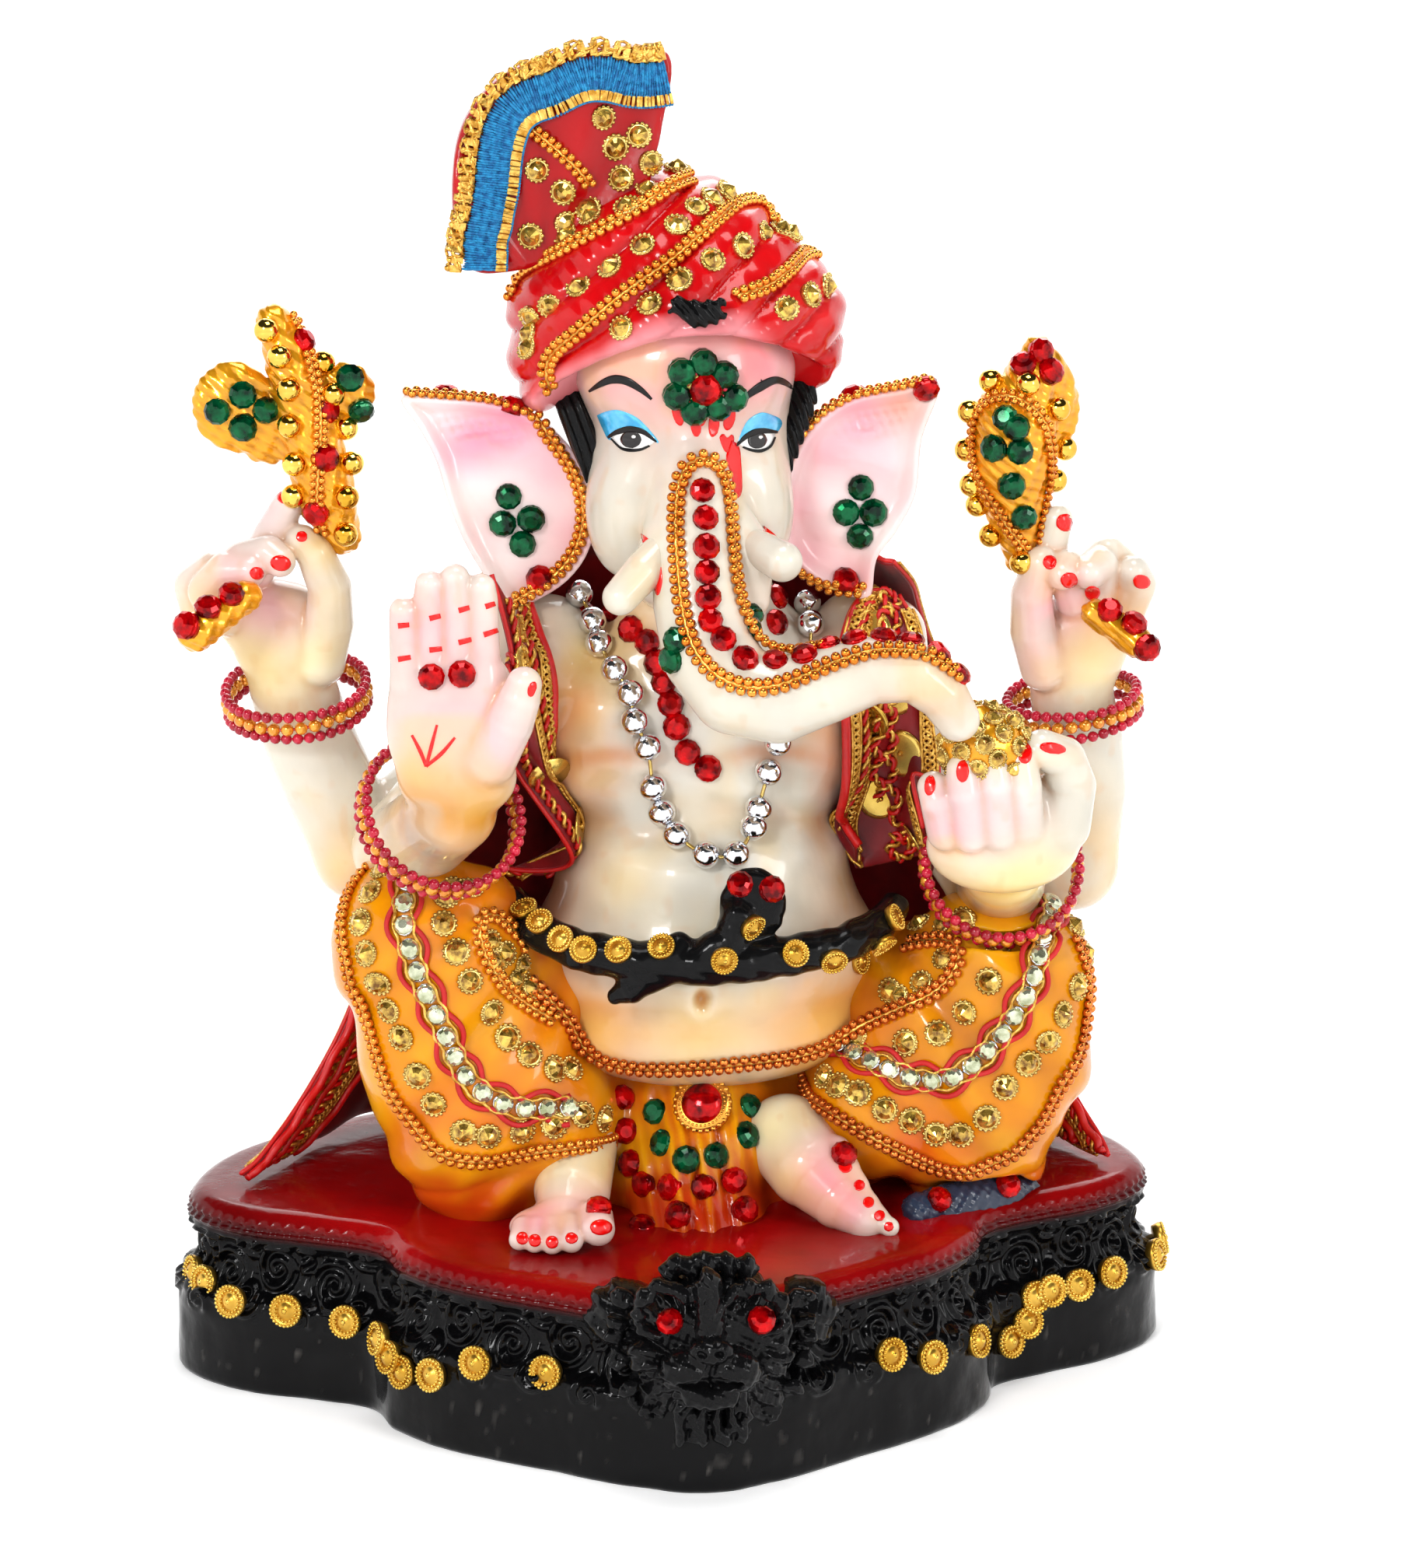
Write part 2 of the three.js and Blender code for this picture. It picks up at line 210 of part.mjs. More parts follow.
  dhoti_right_inner_stone_row: { w: 2.3, t: 2, p: [[-44.5,-14.2,112.8,0.25,-0.69,0.68],[-50.0,-18.6,110.7,0.24,-0.77,0.59],[-48.8,-22.6,103.9,0.26,-0.88,0.39],[-45.5,-23.3,96.2,0.31,-0.92,0.23],[-41.4,-22.0,89.0,0.38,-0.9,0.19],[-37.2,-21.1,81.8,0.43,-0.85,0.3],[-30.9,-19.5,76.4,0.44,-0.78,0.44],[-23.6,-17.4,73.4,0.44,-0.73,0.52]] },
  dhoti_left_outer_stone_row: { w: 2.3, t: 2, p: [[31.0,-13.2,68.6,-0.55,-0.68,0.47],[36.5,-20.3,67.3,-0.45,-0.8,0.39],[44.0,-23.4,63.5,-0.25,-0.94,0.23],[52.2,-23.2,59.3,-0.13,-0.99,0.07],[60.6,-24.6,59.6,-0.07,-1.0,0.02],[66.6,-25.3,66.2,0.02,-1.0,0.01],[72.4,-24.7,73.2,0.19,-0.98,0.04],[78.6,-22.6,79.6,0.42,-0.9,0.08],[83.3,-19.5,86.8,0.63,-0.74,0.21],[86.7,-13.3,92.5,0.76,-0.54,0.36],[85.5,-7.6,99.0,0.79,-0.42,0.45]] },
  dhoti_left_inner_stone_row: { w: 2.3, t: 2, p: [[52.7,-2.5,99.0,-0.5,-0.26,0.82],[58.0,-9.6,101.1,-0.47,-0.38,0.8],[64.0,-15.8,100.2,-0.4,-0.6,0.69],[66.1,-21.2,95.2,-0.35,-0.79,0.51],[61.8,-22.2,87.5,-0.35,-0.86,0.37],[55.8,-20.4,80.9,-0.37,-0.87,0.32],[47.9,-18.0,77.2,-0.39,-0.86,0.33]] },
  dhoti_right_crystal_lace: { w: 2.6, t: 1.6, p: [[-56.3,-10.3,115.9,-0.25,-0.61,0.75],[-58.0,-17.6,110.6,-0.25,-0.73,0.63],[-57.6,-22.5,103.0,-0.22,-0.9,0.39],[-54.6,-24.3,94.5,-0.14,-0.98,0.15],[-51.0,-24.4,86.0,-0.04,-1.0,0.05],[-47.8,-24.9,77.4,0.04,-1.0,0.04],[-41.8,-24.6,70.5,0.14,-0.99,0.09],[-33.4,-23.6,67.3,0.21,-0.97,0.14],[-24.3,-22.2,66.4,0.26,-0.95,0.17]] },
  dhoti_left_crystal_lace: { w: 2.6, t: 1.6, p: [[81.7,0.0,102.2,0.51,-0.16,0.85],[79.5,-9.0,101.2,0.47,-0.34,0.81],[77.0,-17.4,99.1,0.36,-0.66,0.66],[73.6,-22.7,92.4,0.17,-0.89,0.42],[69.7,-24.5,84.3,-0.01,-0.98,0.22],[64.3,-24.0,76.7,-0.15,-0.97,0.17],[57.0,-23.3,70.9,-0.24,-0.94,0.25],[48.0,-21.3,70.7,-0.34,-0.85,0.41],[40.4,-16.6,73.0,-0.45,-0.71,0.55],[34.6,-9.4,73.9,-0.51,-0.61,0.61]] },
  belt_stone_row: { w: 2.2, t: 1.6, p: [[-33.0,-12.9,107.5,-0.39,-0.48,0.79],[-28.7,-20.6,105.6,-0.37,-0.56,0.74],[-22.6,-26.7,103.0,-0.32,-0.68,0.66],[-14.1,-29.7,103.0,-0.25,-0.76,0.6],[-5.1,-30.5,103.5,-0.12,-0.86,0.5],[3.6,-32.5,102.1,0.08,-0.94,0.33],[10.8,-32.1,105.3,0.26,-0.95,0.16],[17.6,-31.2,105.0,0.35,-0.94,0.06],[25.4,-30.0,100.8,0.39,-0.92,0.0],[32.0,-25.4,98.4,0.47,-0.88,-0.05],[35.2,-17.4,95.8,0.58,-0.79,-0.16],[38.4,-9.3,93.1,0.72,-0.67,-0.17],[41.7,-14.0,97.2,0.81,-0.56,-0.2],[45.2,-16.1,104.4,0.85,-0.5,-0.14]] },
  base_sequin_row_right: { w: 3, t: 1.4, p: [[-104.2,5.2,22.0,-0.42,-0.28,0.86],[-101.9,-0.4,21.8,-0.4,-0.35,0.85],[-96.4,-8.8,20.4,-0.39,-0.54,0.75],[-84.8,-14.8,20.2,-0.47,-0.68,0.56],[-72.1,-20.6,19.4,-0.63,-0.73,0.28],[-65.0,-31.3,19.3,-0.78,-0.62,0.09],[-63.0,-35.4,16.8,-0.81,-0.59,0.0],[-60.4,-39.1,14.8,-0.78,-0.61,0.12],[-54.6,-45.2,16.4,-0.66,-0.66,0.36],[-45.7,-50.2,20.8,-0.47,-0.57,0.67],[-31.5,-57.8,21.2,-0.35,-0.48,0.8]] },
  base_sequin_row_left: { w: 3, t: 1.4, p: [[39.8,-53.8,20.8,0.54,-0.72,0.44],[49.2,-49.6,18.2,0.59,-0.75,0.3],[60.2,-39.3,17.2,0.62,-0.77,0.12],[70.2,-21.8,9.9,0.56,-0.83,0.0],[74.5,-19.4,13.3,0.48,-0.87,0.0],[76.3,-18.6,18.8,0.42,-0.91,0.0],[79.9,-17.0,19.5,0.4,-0.91,0.09],[86.5,-14.4,19.6,0.42,-0.85,0.31],[94.6,-10.0,20.5,0.44,-0.64,0.63],[106.1,0.6,20.1,0.44,-0.36,0.82],[108.8,10.4,20.0,0.43,-0.2,0.88]] }
};

// shawl: grids of points through the middle of the cloth
const SHAWL = {
  shawl_back: [[[-38.0,4.0,177.0],[-31.6,8.6,178.8],[-19.9,21.1,179.1],[-3.8,29.7,178.3],[14.0,29.7,178.3],[29.1,21.1,179.1],[38.6,8.6,178.8],[47.0,4.0,177.0]],[[-42.1,12.1,170.6],[-34.3,20.3,172.5],[-22.8,28.6,173.5],[-5.1,33.6,173.6],[14.4,33.6,173.6],[30.6,28.6,173.5],[42.3,20.3,172.5],[52.0,12.1,170.6]],[[-45.1,20.6,163.5],[-35.2,27.8,164.1],[-20.9,33.5,164.5],[-3.6,36.6,164.6],[14.7,36.6,164.6],[30.9,33.5,164.5],[43.7,27.8,164.1],[54.9,20.7,163.5]],[[-46.3,27.6,155.2],[-35.6,32.2,155.1],[-19.6,36.0,155.0],[-2.1,38.1,155.0],[15.0,38.1,155.0],[31.2,36.0,155.0],[45.9,32.2,155.1],[58.0,27.1,155.2]],[[-48.2,32.2,143.2],[-37.2,36.9,143.3],[-20.1,38.3,143.2],[-1.8,39.6,143.2],[15.2,39.6,143.2],[32.1,38.3,143.2],[50.1,37.0,143.3],[62.9,31.8,143.4]],[[-54.1,36.5,126.3],[-40.1,39.6,126.0],[-20.7,42.0,126.0],[-1.7,43.2,126.0],[14.9,43.3,126.0],[33.4,41.8,126.0],[55.5,38.6,126.0],[69.3,36.6,126.3]],[[-59.4,34.2,106.1],[-42.9,40.9,106.1],[-21.1,46.3,106.1],[-1.7,48.4,106.1],[15.5,48.4,106.1],[36.0,46.2,106.1],[61.0,40.8,106.1],[77.3,34.2,106.1]],[[-64.1,29.8,87.8],[-47.5,40.2,87.8],[-23.9,50.0,87.8],[-2.9,54.6,87.8],[15.5,54.6,87.8],[37.7,50.0,87.8],[64.9,40.2,87.8],[81.1,29.9,87.8]],[[-71.1,24.9,70.6],[-54.3,40.7,70.6],[-27.8,54.4,70.6],[-5.0,60.3,70.6],[14.7,60.3,70.6],[37.9,54.4,70.6],[65.6,40.6,70.6],[83.9,24.0,70.6]],[[-80.5,18.7,55.7],[-63.2,40.0,55.7],[-33.0,57.2,55.7],[-7.2,64.1,55.7],[14.5,64.1,55.7],[39.6,57.3,55.7],[68.8,39.7,55.7],[88.9,15.6,55.7]],[[-89.5,11.9,45.5],[-71.5,38.1,45.5],[-37.9,58.1,45.5],[-9.2,66.1,45.5],[14.9,66.1,45.5],[43.0,58.2,45.5],[75.2,37.6,45.5],[94.8,6.7,45.5]],[[-94.0,9.0,42.6],[-74.6,39.5,42.6],[-39.6,59.9,42.6],[-10.2,67.7,42.6],[14.3,67.7,42.6],[43.2,60.0,42.6],[76.5,39.0,42.6],[96.0,4.0,42.6]]],
  shawl_front_right: [[[-39.2,-9.2,179.1],[-34.4,-4.7,169.1],[-32.8,0.7,169.6],[-31.2,3.6,170.3]],[[-35.3,-13.1,161.5],[-33.1,-8.7,162.2],[-30.8,-3.5,162.8],[-28.5,-2.1,163.9]],[[-36.3,-16.7,161.4],[-33.9,-12.4,162.0],[-31.4,-7.2,162.2],[-26.6,-4.0,153.3]],[[-34.5,-14.8,151.4],[-29.6,-10.7,140.7],[-27.4,-5.9,142.3],[-26.7,-4.9,144.1]],[[-35.4,-8.0,139.5],[-25.6,-4.5,131.8],[-26.2,-1.6,130.6],[-27.0,-1.2,131.6]],[[-22.6,-1.3,115.3],[-21.4,1.7,120.0],[-22.1,3.9,120.2],[-22.5,5.0,120.2]],[[-37.5,2.9,112.6],[-35.7,4.9,110.4],[-26.6,5.8,109.6],[-26.1,6.8,112.5]]],
  shawl_front_left: [[[43.2,5.7,170.7],[44.2,5.7,170.6],[45.3,5.7,170.5],[46.4,5.8,170.2],[47.5,5.9,169.9],[48.6,6.0,169.5]],[[37.9,-0.0,165.4],[40.2,-0.5,165.5],[42.9,-0.7,165.4],[45.7,-0.5,165.0],[48.5,-0.1,164.3],[51.0,0.8,163.2]],[[35.1,-2.5,154.1],[37.5,-2.5,152.8],[41.2,-2.7,152.2],[45.7,-2.3,151.9],[49.8,-0.8,151.8],[52.9,1.5,151.7]],[[34.5,-7.2,147.6],[40.3,-2.6,146.0],[42.7,0.6,141.9],[45.5,0.1,141.9],[50.5,0.2,142.2],[54.8,0.9,141.7]],[[34.5,-7.3,131.9],[40.9,-0.6,131.9],[43.5,4.4,129.4],[46.7,3.0,131.0],[51.5,0.8,131.6],[56.3,-2.4,131.3]],[[35.0,1.4,121.6],[36.7,4.0,119.6],[48.4,6.2,120.4],[49.4,4.5,118.6],[52.3,-1.0,120.2],[50.0,-6.4,132.9]],[[38.1,1.0,115.0],[40.7,4.8,110.3],[41.1,6.1,109.7],[53.8,4.6,111.8],[55.0,-2.3,110.0],[52.1,-9.1,122.0]]]
};

// loose bead bracelets: centre, axis, inner and outer radius, height
const BRACELETS = {
  bracelet_rear_right: { c: [-79.7, 16.45, 148.04], ax: [-0.0902, -0.2407, 0.9664], ri: 13.6, ro: 16.2, h: 6.6 },
  bracelet_rear_left: { c: [88.72, 16.9, 142.08], ax: [-0.1402, -0.1049, 0.9845], ri: 12.8, ro: 15.3, h: 6.6 },
  bracelet_front_right: { c: [-50.64, -19.38, 130.44], ax: [0.3071, -0.7511, 0.5844], ri: 15.6, ro: 18.2, h: 6.6 },
  bracelet_front_left: { c: [68.93, -11.3, 113.87], ax: [0.0049, -0.8462, 0.5328], ri: 15.2, ro: 17.6, h: 6.6 }
};

const MEDALLION = [4.68, -14.69, 63.61, -0.001, -0.722, 0.692];
const FOREHEAD_FLOWER = [4.85, -17.46, 219.58, 0.038, -0.688, -0.725];

// ---------------------------------------------------------------- materials
const mat = (color, roughness, metalness = 0) => new THREE.MeshStandardMaterial({ color, roughness, metalness });
const M = {
  skin: mat(0xece7d6, 0.22), dhoti: mat(0xe08a12, 0.25), black: mat(0x0d0d10, 0.2), red: mat(0xa30f14, 0.25),
  slate: mat(0x3d4a5c, 0.35), goldpaint: mat(0xc98a1c, 0.35, 0.4), chain: mat(0xb8732a, 0.3, 0.9), stone: mat(0xc9a24a, 0.25, 0.8),
  ruby: mat(0x8f0b16, 0.1, 0.1), emerald: mat(0x0c5a3a, 0.1, 0.1), silver: mat(0xd0d2d6, 0.08, 1), lace: mat(0x2a7fae, 0.8),
  cloth: mat(0x7d0f18, 0.5), bead: mat(0x9c1c3a, 0.3), crystal: mat(0xb7c39a, 0.15, 0.3)
};

// ---------------------------------------------------------------- solids
function toSolid(geometry) {
  const g = geometry.index ? geometry.toNonIndexed() : geometry.clone();
  g.deleteAttribute('normal'); g.deleteAttribute('uv');
  const m = mergeVertices(g, 1e-4);
  const idx = []; const a = m.index.array;
  for (let i = 0; i < a.length; i += 3) if (a[i] !== a[i + 1] && a[i + 1] !== a[i + 2] && a[i] !== a[i + 2]) idx.push(a[i], a[i + 1], a[i + 2]);
  const s = new wasm.Manifold(new wasm.Mesh({ numProp: 3, vertProperties: new Float32Array(m.attributes.position.array), triVerts: new Uint32Array(idx) }));
  return s;
}
function ellipsoid(q, grow = 0) {
  const big = Math.max(q[4], q[5], q[6]);
  const seg = big > 24 ? 12 : big > 12.6 ? 9 : big > 7.5 ? 7 : 6;
  const g = new THREE.SphereGeometry(1, seg, Math.max(4, Math.round(seg * 0.5)));
  const k = 1 / Math.cos(Math.PI / seg) ** 0.5;
  g.applyMatrix4(new THREE.Matrix4().makeScale((q[4] + grow) * k, (q[5] + grow) * k, (q[6] + grow) * k));
  const d = Math.PI / 180;
  const R = new THREE.Matrix4().makeRotationX(q[7] * d).multiply(new THREE.Matrix4().makeRotationY(q[8] * d)).multiply(new THREE.Matrix4().makeRotationZ(q[9] * d));
  g.applyMatrix4(R); g.translate(q[1], q[2], q[3]);
  return g;
}
// a tapering limb: the rows of a sphere are laid as rings along the line, its poles close the two ends
function limb(q, grow = 0) {
  const P = q.slice(1).map(p => new THREE.Vector3(p[0], p[1], p[2])), R = q.slice(1).map(p => p[3] + grow);
  const n = P.length, seg = Math.max(...R) > 12 ? 8 : Math.max(...R) > 6 ? 7 : 5;
  const C = [], T = [], K = [];
  for (let i = 0; i < n; i++) {
    const t = new THREE.Vector3().subVectors(P[Math.min(i + 1, n - 1)], P[Math.max(i - 1, 0)]).normalize();
    if (i === 0) { C.push(P[0].clone().addScaledVector(t, -R[0] * 0.9), P[0].clone().addScaledVector(t, -R[0] * 0.6)); T.push(t, t); K.push(0, R[0] * 0.75); }
    C.push(P[i]); T.push(t); K.push(R[i]);
    if (i === n - 1) { C.push(P[i].clone().addScaledVector(t, R[i] * 0.6), P[i].clone().addScaledVector(t, R[i] * 0.9)); T.push(t, t); K.push(R[i] * 0.75, 0); }
  }
  let u = new THREE.Vector3(0, 1, 0); if (Math.abs(T[0].y) > 0.8) u.set(1, 0, 0);
  const U = T.map(t => { u = u.clone().addScaledVector(t, -u.dot(t)).normalize(); return u.clone(); });
  const rows = C.length, g = new THREE.SphereGeometry(1, seg, rows - 1), pos = g.attributes.position;
  for (let r = 0; r < rows; r++) for (let s = 0; s <= seg; s++) {
    const a = (s % seg) / seg * 2 * Math.PI, v = new THREE.Vector3().crossVectors(T[r], U[r]);
    const p = C[r].clone().addScaledVector(U[r], Math.cos(a) * K[r]).addScaledVector(v, Math.sin(a) * K[r]);
    pos.setXYZ(r * (seg + 1) + s, p.x, p.y, p.z);
  }
  return g;
}
function signed(geometry) { // outward-facing solid, whichever way the rows were laid
  let s = toSolid(geometry);
  if (s.volume() < 0) {
    const g = geometry.toNonIndexed(), p = g.attributes.position;
    for (let i = 0; i < p.count; i += 3) { const x = p.getX(i), y = p.getY(i), z = p.getZ(i); p.setXYZ(i, p.getX(i + 1), p.getY(i + 1), p.getZ(i + 1)); p.setXYZ(i + 1, x, y, z); }
    s = toSolid(g);
  }
  return s;
}
function casting(list, grow = 0) {
  let s = null;
  for (const q of list) { const p = signed(q[0] === 'e' ? ellipsoid(q, grow) : limb(q, grow)); s = s ? s.add(p) : p; }
  return s;
}
function plinth(grow = 0) {
  const P = [...BASE_HALF_OUTLINE, ...BASE_HALF_OUTLINE.slice(1, -1).reverse().map(p => [-p[0], p[1]])];
  const curve = new THREE.CatmullRomCurve3(P.map(p => new THREE.Vector3(p[0], p[1], 0)), true, 'catmullrom', 0.5);
  const pts = curve.getPoints(400), SEG = 48;
  const radius = a => { // outline radius in direction a
    const dx = Math.cos(a), dy = Math.sin(a); let best = 0;
    for (let i = 0; i < pts.length - 1; i++) {
      const p = pts[i], q = pts[i + 1], ex = q.x - p.x, ey = q.y - p.y, det = dx * -ey + dy * ex;
      if (Math.abs(det) < 1e-9) continue;
      const t = (p.x * -ey + p.y * ex) / det, w = (dx * p.y - dy * p.x) / det;
      if (w >= -1e-6 && w <= 1 + 1e-6 && t > best) best = t;
    }
    return best;
  };
  const L = [[PLINTH_LEVELS[0][0], 1e9], ...PLINTH_LEVELS, [PLINTH_TOP, 1e9]];
  const g = new THREE.LatheGeometry(L.map((l, i) => new THREE.Vector2(l[1] > 1e8 ? 0 : 1, i)), SEG), pos = g.attributes.position;
  const R = []; for (let s = 0; s < SEG; s++) R.push(radius(s / SEG * 2 * Math.PI));
  for (let s = 0; s <= SEG; s++) for (let j = 0; j < L.length; j++) {
    const a = (s % SEG) / SEG * 2 * Math.PI, r = L[j][1] > 1e8 ? 0 : R[s % SEG] - L[j][1] + grow, z = L[j][0] + (L[j][0] >= PLINTH_TOP ? grow : 0);
    pos.setXYZ(s * L.length + j, r * Math.cos(a), r * Math.sin(a), z);
  }
  return signed(g);
}
function plate(outline, front, thickness, grow = 0) {
  const shape = new THREE.Shape(outline.map(p => new THREE.Vector2(p[0], p[1])));
  const g = new THREE.ExtrudeGeometry(shape, { depth: thickness + 2 * grow, bevelEnabled: grow > 0, bevelSize: grow, bevelThickness: 0.01, bevelSegments: 1, curveSegments: 4 });
  g.rotateX(Math.PI / 2); g.translate(0, front + thickness + grow, 0);
  return signed(g);
}
// a flat strip along points with normals, from a box whose cuts are laid along the line
function strip(points, halfWidth, thickness, lift, grow = 0) {
  const n = points.length, g = new THREE.BoxGeometry(1, 1, 1, n - 1, 1, 1), pos = g.attributes.position;
  const P = points.map(p => new THREE.Vector3(p[0], p[1], p[2])), N = points.map(p => new THREE.Vector3(p[3], p[4], p[5]).normalize());
  for (let i = 0; i < pos.count; i++) {
    const k = Math.round((pos.getX(i) + 0.5) * (n - 1)), t = new THREE.Vector3().subVectors(P[Math.min(k + 1, n - 1)], P[Math.max(k - 1, 0)]).normalize();
    const nn = N[k].clone().addScaledVector(t, -N[k].dot(t)).normalize(), side = new THREE.Vector3().crossVectors(nn, t).normalize();
    const w = pos.getY(i) * 2 * (halfWidth + grow), h = pos.getZ(i) > 0 ? lift + thickness + grow : lift - grow;
    const e = (k === 0 ? -1 : k === n - 1 ? 1 : 0) * (halfWidth * 0.6 + grow);
    const p = P[k].clone().addScaledVector(side, w).addScaledVector(nn, h).addScaledVector(t, e);
    pos.setXYZ(i, p.x, p.y, p.z);
  }
  return signed(g);
}
function sheet(grid, thickness, grow = 0) {
  const nv = grid.length, nu = grid[0].length, g = new THREE.BoxGeometry(1, 1, 1, nu - 1, nv - 1, 1), pos = g.attributes.position;
  const P = (v, u) => new THREE.Vector3(...grid[Math.max(0, Math.min(nv - 1, v))][Math.max(0, Math.min(nu - 1, u))]);
  for (let i = 0; i < pos.count; i++) {
    const u = Math.round((pos.getX(i) + 0.5) * (nu - 1)), v = Math.round((0.5 - pos.getY(i)) * (nv - 1));
    const du = P(v, u + 1).sub(P(v, u - 1)), dv = P(v + 1, u).sub(P(v - 1, u)), nn = new THREE.Vector3().crossVectors(du, dv).normalize();
    const p = P(v, u).addScaledVector(nn, pos.getZ(i) * (thickness + 2 * grow));
    pos.setXYZ(i, p.x, p.y, p.z);
  }
  return signed(g);
}
function ringGeometry(r, grow = 0) {
  const h = r.h / 2 + grow, a = r.ri - grow, b = r.ro + grow, c = 0.7;
  return new THREE.LatheGeometry([[a, -h + c], [a + c, -h], [b - c, -h], [b, -h + c], [b, h - c], [b - c, h], [a + c, h], [a, h - c], [a, -h + c]].map(p => new THREE.Vector2(...p)), 18);
}
function ringTurn(r) { return new THREE.Quaternion().setFromUnitVectors(new THREE.Vector3(0, 1, 0), new THREE.Vector3(...r.ax).normalize()); }
function ringSolid(r, grow = 0) { const g = ringGeometry(r, grow); g.applyQuaternion(ringTurn(r)); g.translate(...r.c); return signed(g); }
function disc(at, radius, thickness) {
  const n = new THREE.Vector3(at[3], at[4], at[5]).normalize();
  const g = new THREE.SphereGeometry(1, 10, 6);
  g.applyMatrix4(new THREE.Matrix4().makeScale(radius, thickness, radius));
  g.applyQuaternion(new THREE.Quaternion().setFromUnitVectors(new THREE.Vector3(0, 1, 0), n));
  g.translate(at[0] + n.x * (STRIP_LIFT + thickness * 0.6), at[1] + n.y * (STRIP_LIFT + thickness * 0.6), at[2] + n.z * (STRIP_LIFT + thickness * 0.6));
  return signed(g);
}

const box = s => { const b = s.boundingBox(); return b; };
const near = (a, b) => [0, 1, 2].every(k => a.min[k] < b.max[k] + 0.5 && b.min[k] < a.max[k] + 0.5);
function largest(s) {
  const parts = s.decompose(); let best = parts[0];
  for (const p of parts) if (p.volume() > best.volume()) best = p;
  return best;
}

// ---------------------------------------------------------------- assembly
const done = [];                       // [grown solid, its box]: what later pieces keep clear of
const group = new THREE.Group(), baseGroup = new THREE.Group(), figure = new THREE.Group(), trims = new THREE.Group(), wear = new THREE.Group();
group.add(baseGroup, figure, trims, wear);
function addMesh(parent, name, solid, material) {
  const m = solid.getMesh(), g = new THREE.BufferGeometry();
  g.setAttribute('position', new THREE.BufferAttribute(new Float32Array(m.vertProperties), 3));
  g.setIndex(new THREE.BufferAttribute(new Uint32Array(m.triVerts), 1));
  g.computeBoundingBox();
  const c = g.boundingBox.getCenter(new THREE.Vector3()); g.translate(-c.x, -c.y, -c.z);
  const mesh = new THREE.Mesh(g, material); mesh.name = name; mesh.position.copy(c); parent.add(mesh);
}
function place(parent, name, solid, grown, material) {
  let s = solid; const b = box(s);
  for (const [d, db] of done) if (near(b, db)) s = s.subtract(d);
  s = largest(s);
  addMesh(parent, name, s, material);
  if (grown) done.push([grown, box(grown)]);
}

const ringGuards = Object.values(BRACELETS).map(r => ringSolid(r, 0.8));
for (const g of ringGuards) done.push([g, box(g)]);

const plinthSolid = k => plinth(k).add(casting(CASTINGS.lion_relief, k));
place(baseGroup, 'base_plinth', plinthSolid(0), plinthSolid(GAP), M.black);
const order = [['foot_right', M.skin], ['foot_left', M.skin], ['turban', M.red], ['head', M.skin], ['tusk_right', M.skin], ['tusk_left', M.skin], ['snake_belt', M.black],
  ['torso', M.skin], ['mouse', M.slate], ['dhoti_legs', M.dhoti], ['modak', M.goldpaint], ['front_arm_right', M.skin], ['front_arm_left', M.skin],
  ['rear_arm_right', M.skin], ['rear_arm_left', M.skin], ['axe', M.goldpaint], ['axe_handle', M.goldpaint], ['mace', M.goldpaint], ['mace_handle', M.goldpaint]];
for (const [n, m] of order) place(figure, n, casting(CASTINGS[n]), casting(CASTINGS[n], GAP), m);
place(figure, 'ear_right', plate(EAR_RIGHT_OUTLINE, EAR_FRONT_Y, EAR_THICKNESS), plate(EAR_RIGHT_OUTLINE, EAR_FRONT_Y, EAR_THICKNESS, GAP), M.skin);
place(figure, 'ear_left', plate(EAR_LEFT_OUTLINE, EAR_FRONT_Y, EAR_THICKNESS), plate(EAR_LEFT_OUTLINE, EAR_FRONT_Y, EAR_THICKNESS, GAP), M.skin);
place(figure, 'turban_fan', plate(FAN_OUTLINE, FAN_FRONT_Y, FAN_THICKNESS), plate(FAN_OUTLINE, FAN_FRONT_Y, FAN_THICKNESS, GAP), M.red);
const lacePath = FAN_LACE_PATH.map(p => [p[0], FAN_FRONT_Y, p[2], 0, -1, 0]);
place(trims, 'fan_lace', strip(lacePath, LACE_HALF_WIDTH, LACE_THICKNESS, STRIP_LIFT), strip(lacePath, LACE_HALF_WIDTH, LACE_THICKNESS, STRIP_LIFT, GAP), M.lace);
for (const [n, grid] of Object.entries(SHAWL)) place(wear, n, sheet(grid, SHAWL_THICKNESS), sheet(grid, SHAWL_THICKNESS, GAP), M.cloth);
const stripMaterial = n => /chain/.test(n) ? M.chain : /trunk|chest/.test(n) ? M.ruby : /silver/.test(n) ? M.silver : /lace/.test(n) ? M.crystal : M.stone;
place(trims, 'forehead_flower', disc(FOREHEAD_FLOWER, 7.6, 1.8), null, M.emerald);
place(trims, 'medallion', disc(MEDALLION, 6.4, 2.4), null, M.ruby);
for (const [n, r] of Object.entries(STRIPS)) place(trims, n, strip(r.p, r.w, r.t, STRIP_LIFT), strip(r.p, r.w, r.t, STRIP_LIFT, GAP), stripMaterial(n));
for (const [n, r] of Object.entries(BRACELETS)) {
  const s = signed(ringGeometry(r)), m = s.getMesh(), g = new THREE.BufferGeometry();
  g.setAttribute('position', new THREE.BufferAttribute(new Float32Array(m.vertProperties), 3)); g.setIndex(new THREE.BufferAttribute(new Uint32Array(m.triVerts), 1));
  const mesh = new THREE.Mesh(g, M.bead); mesh.name = n; mesh.position.set(...r.c); mesh.quaternion.copy(ringTurn(r)); wear.add(mesh);
}
group.position.set(...ORIGIN_SHIFT);

export default group;
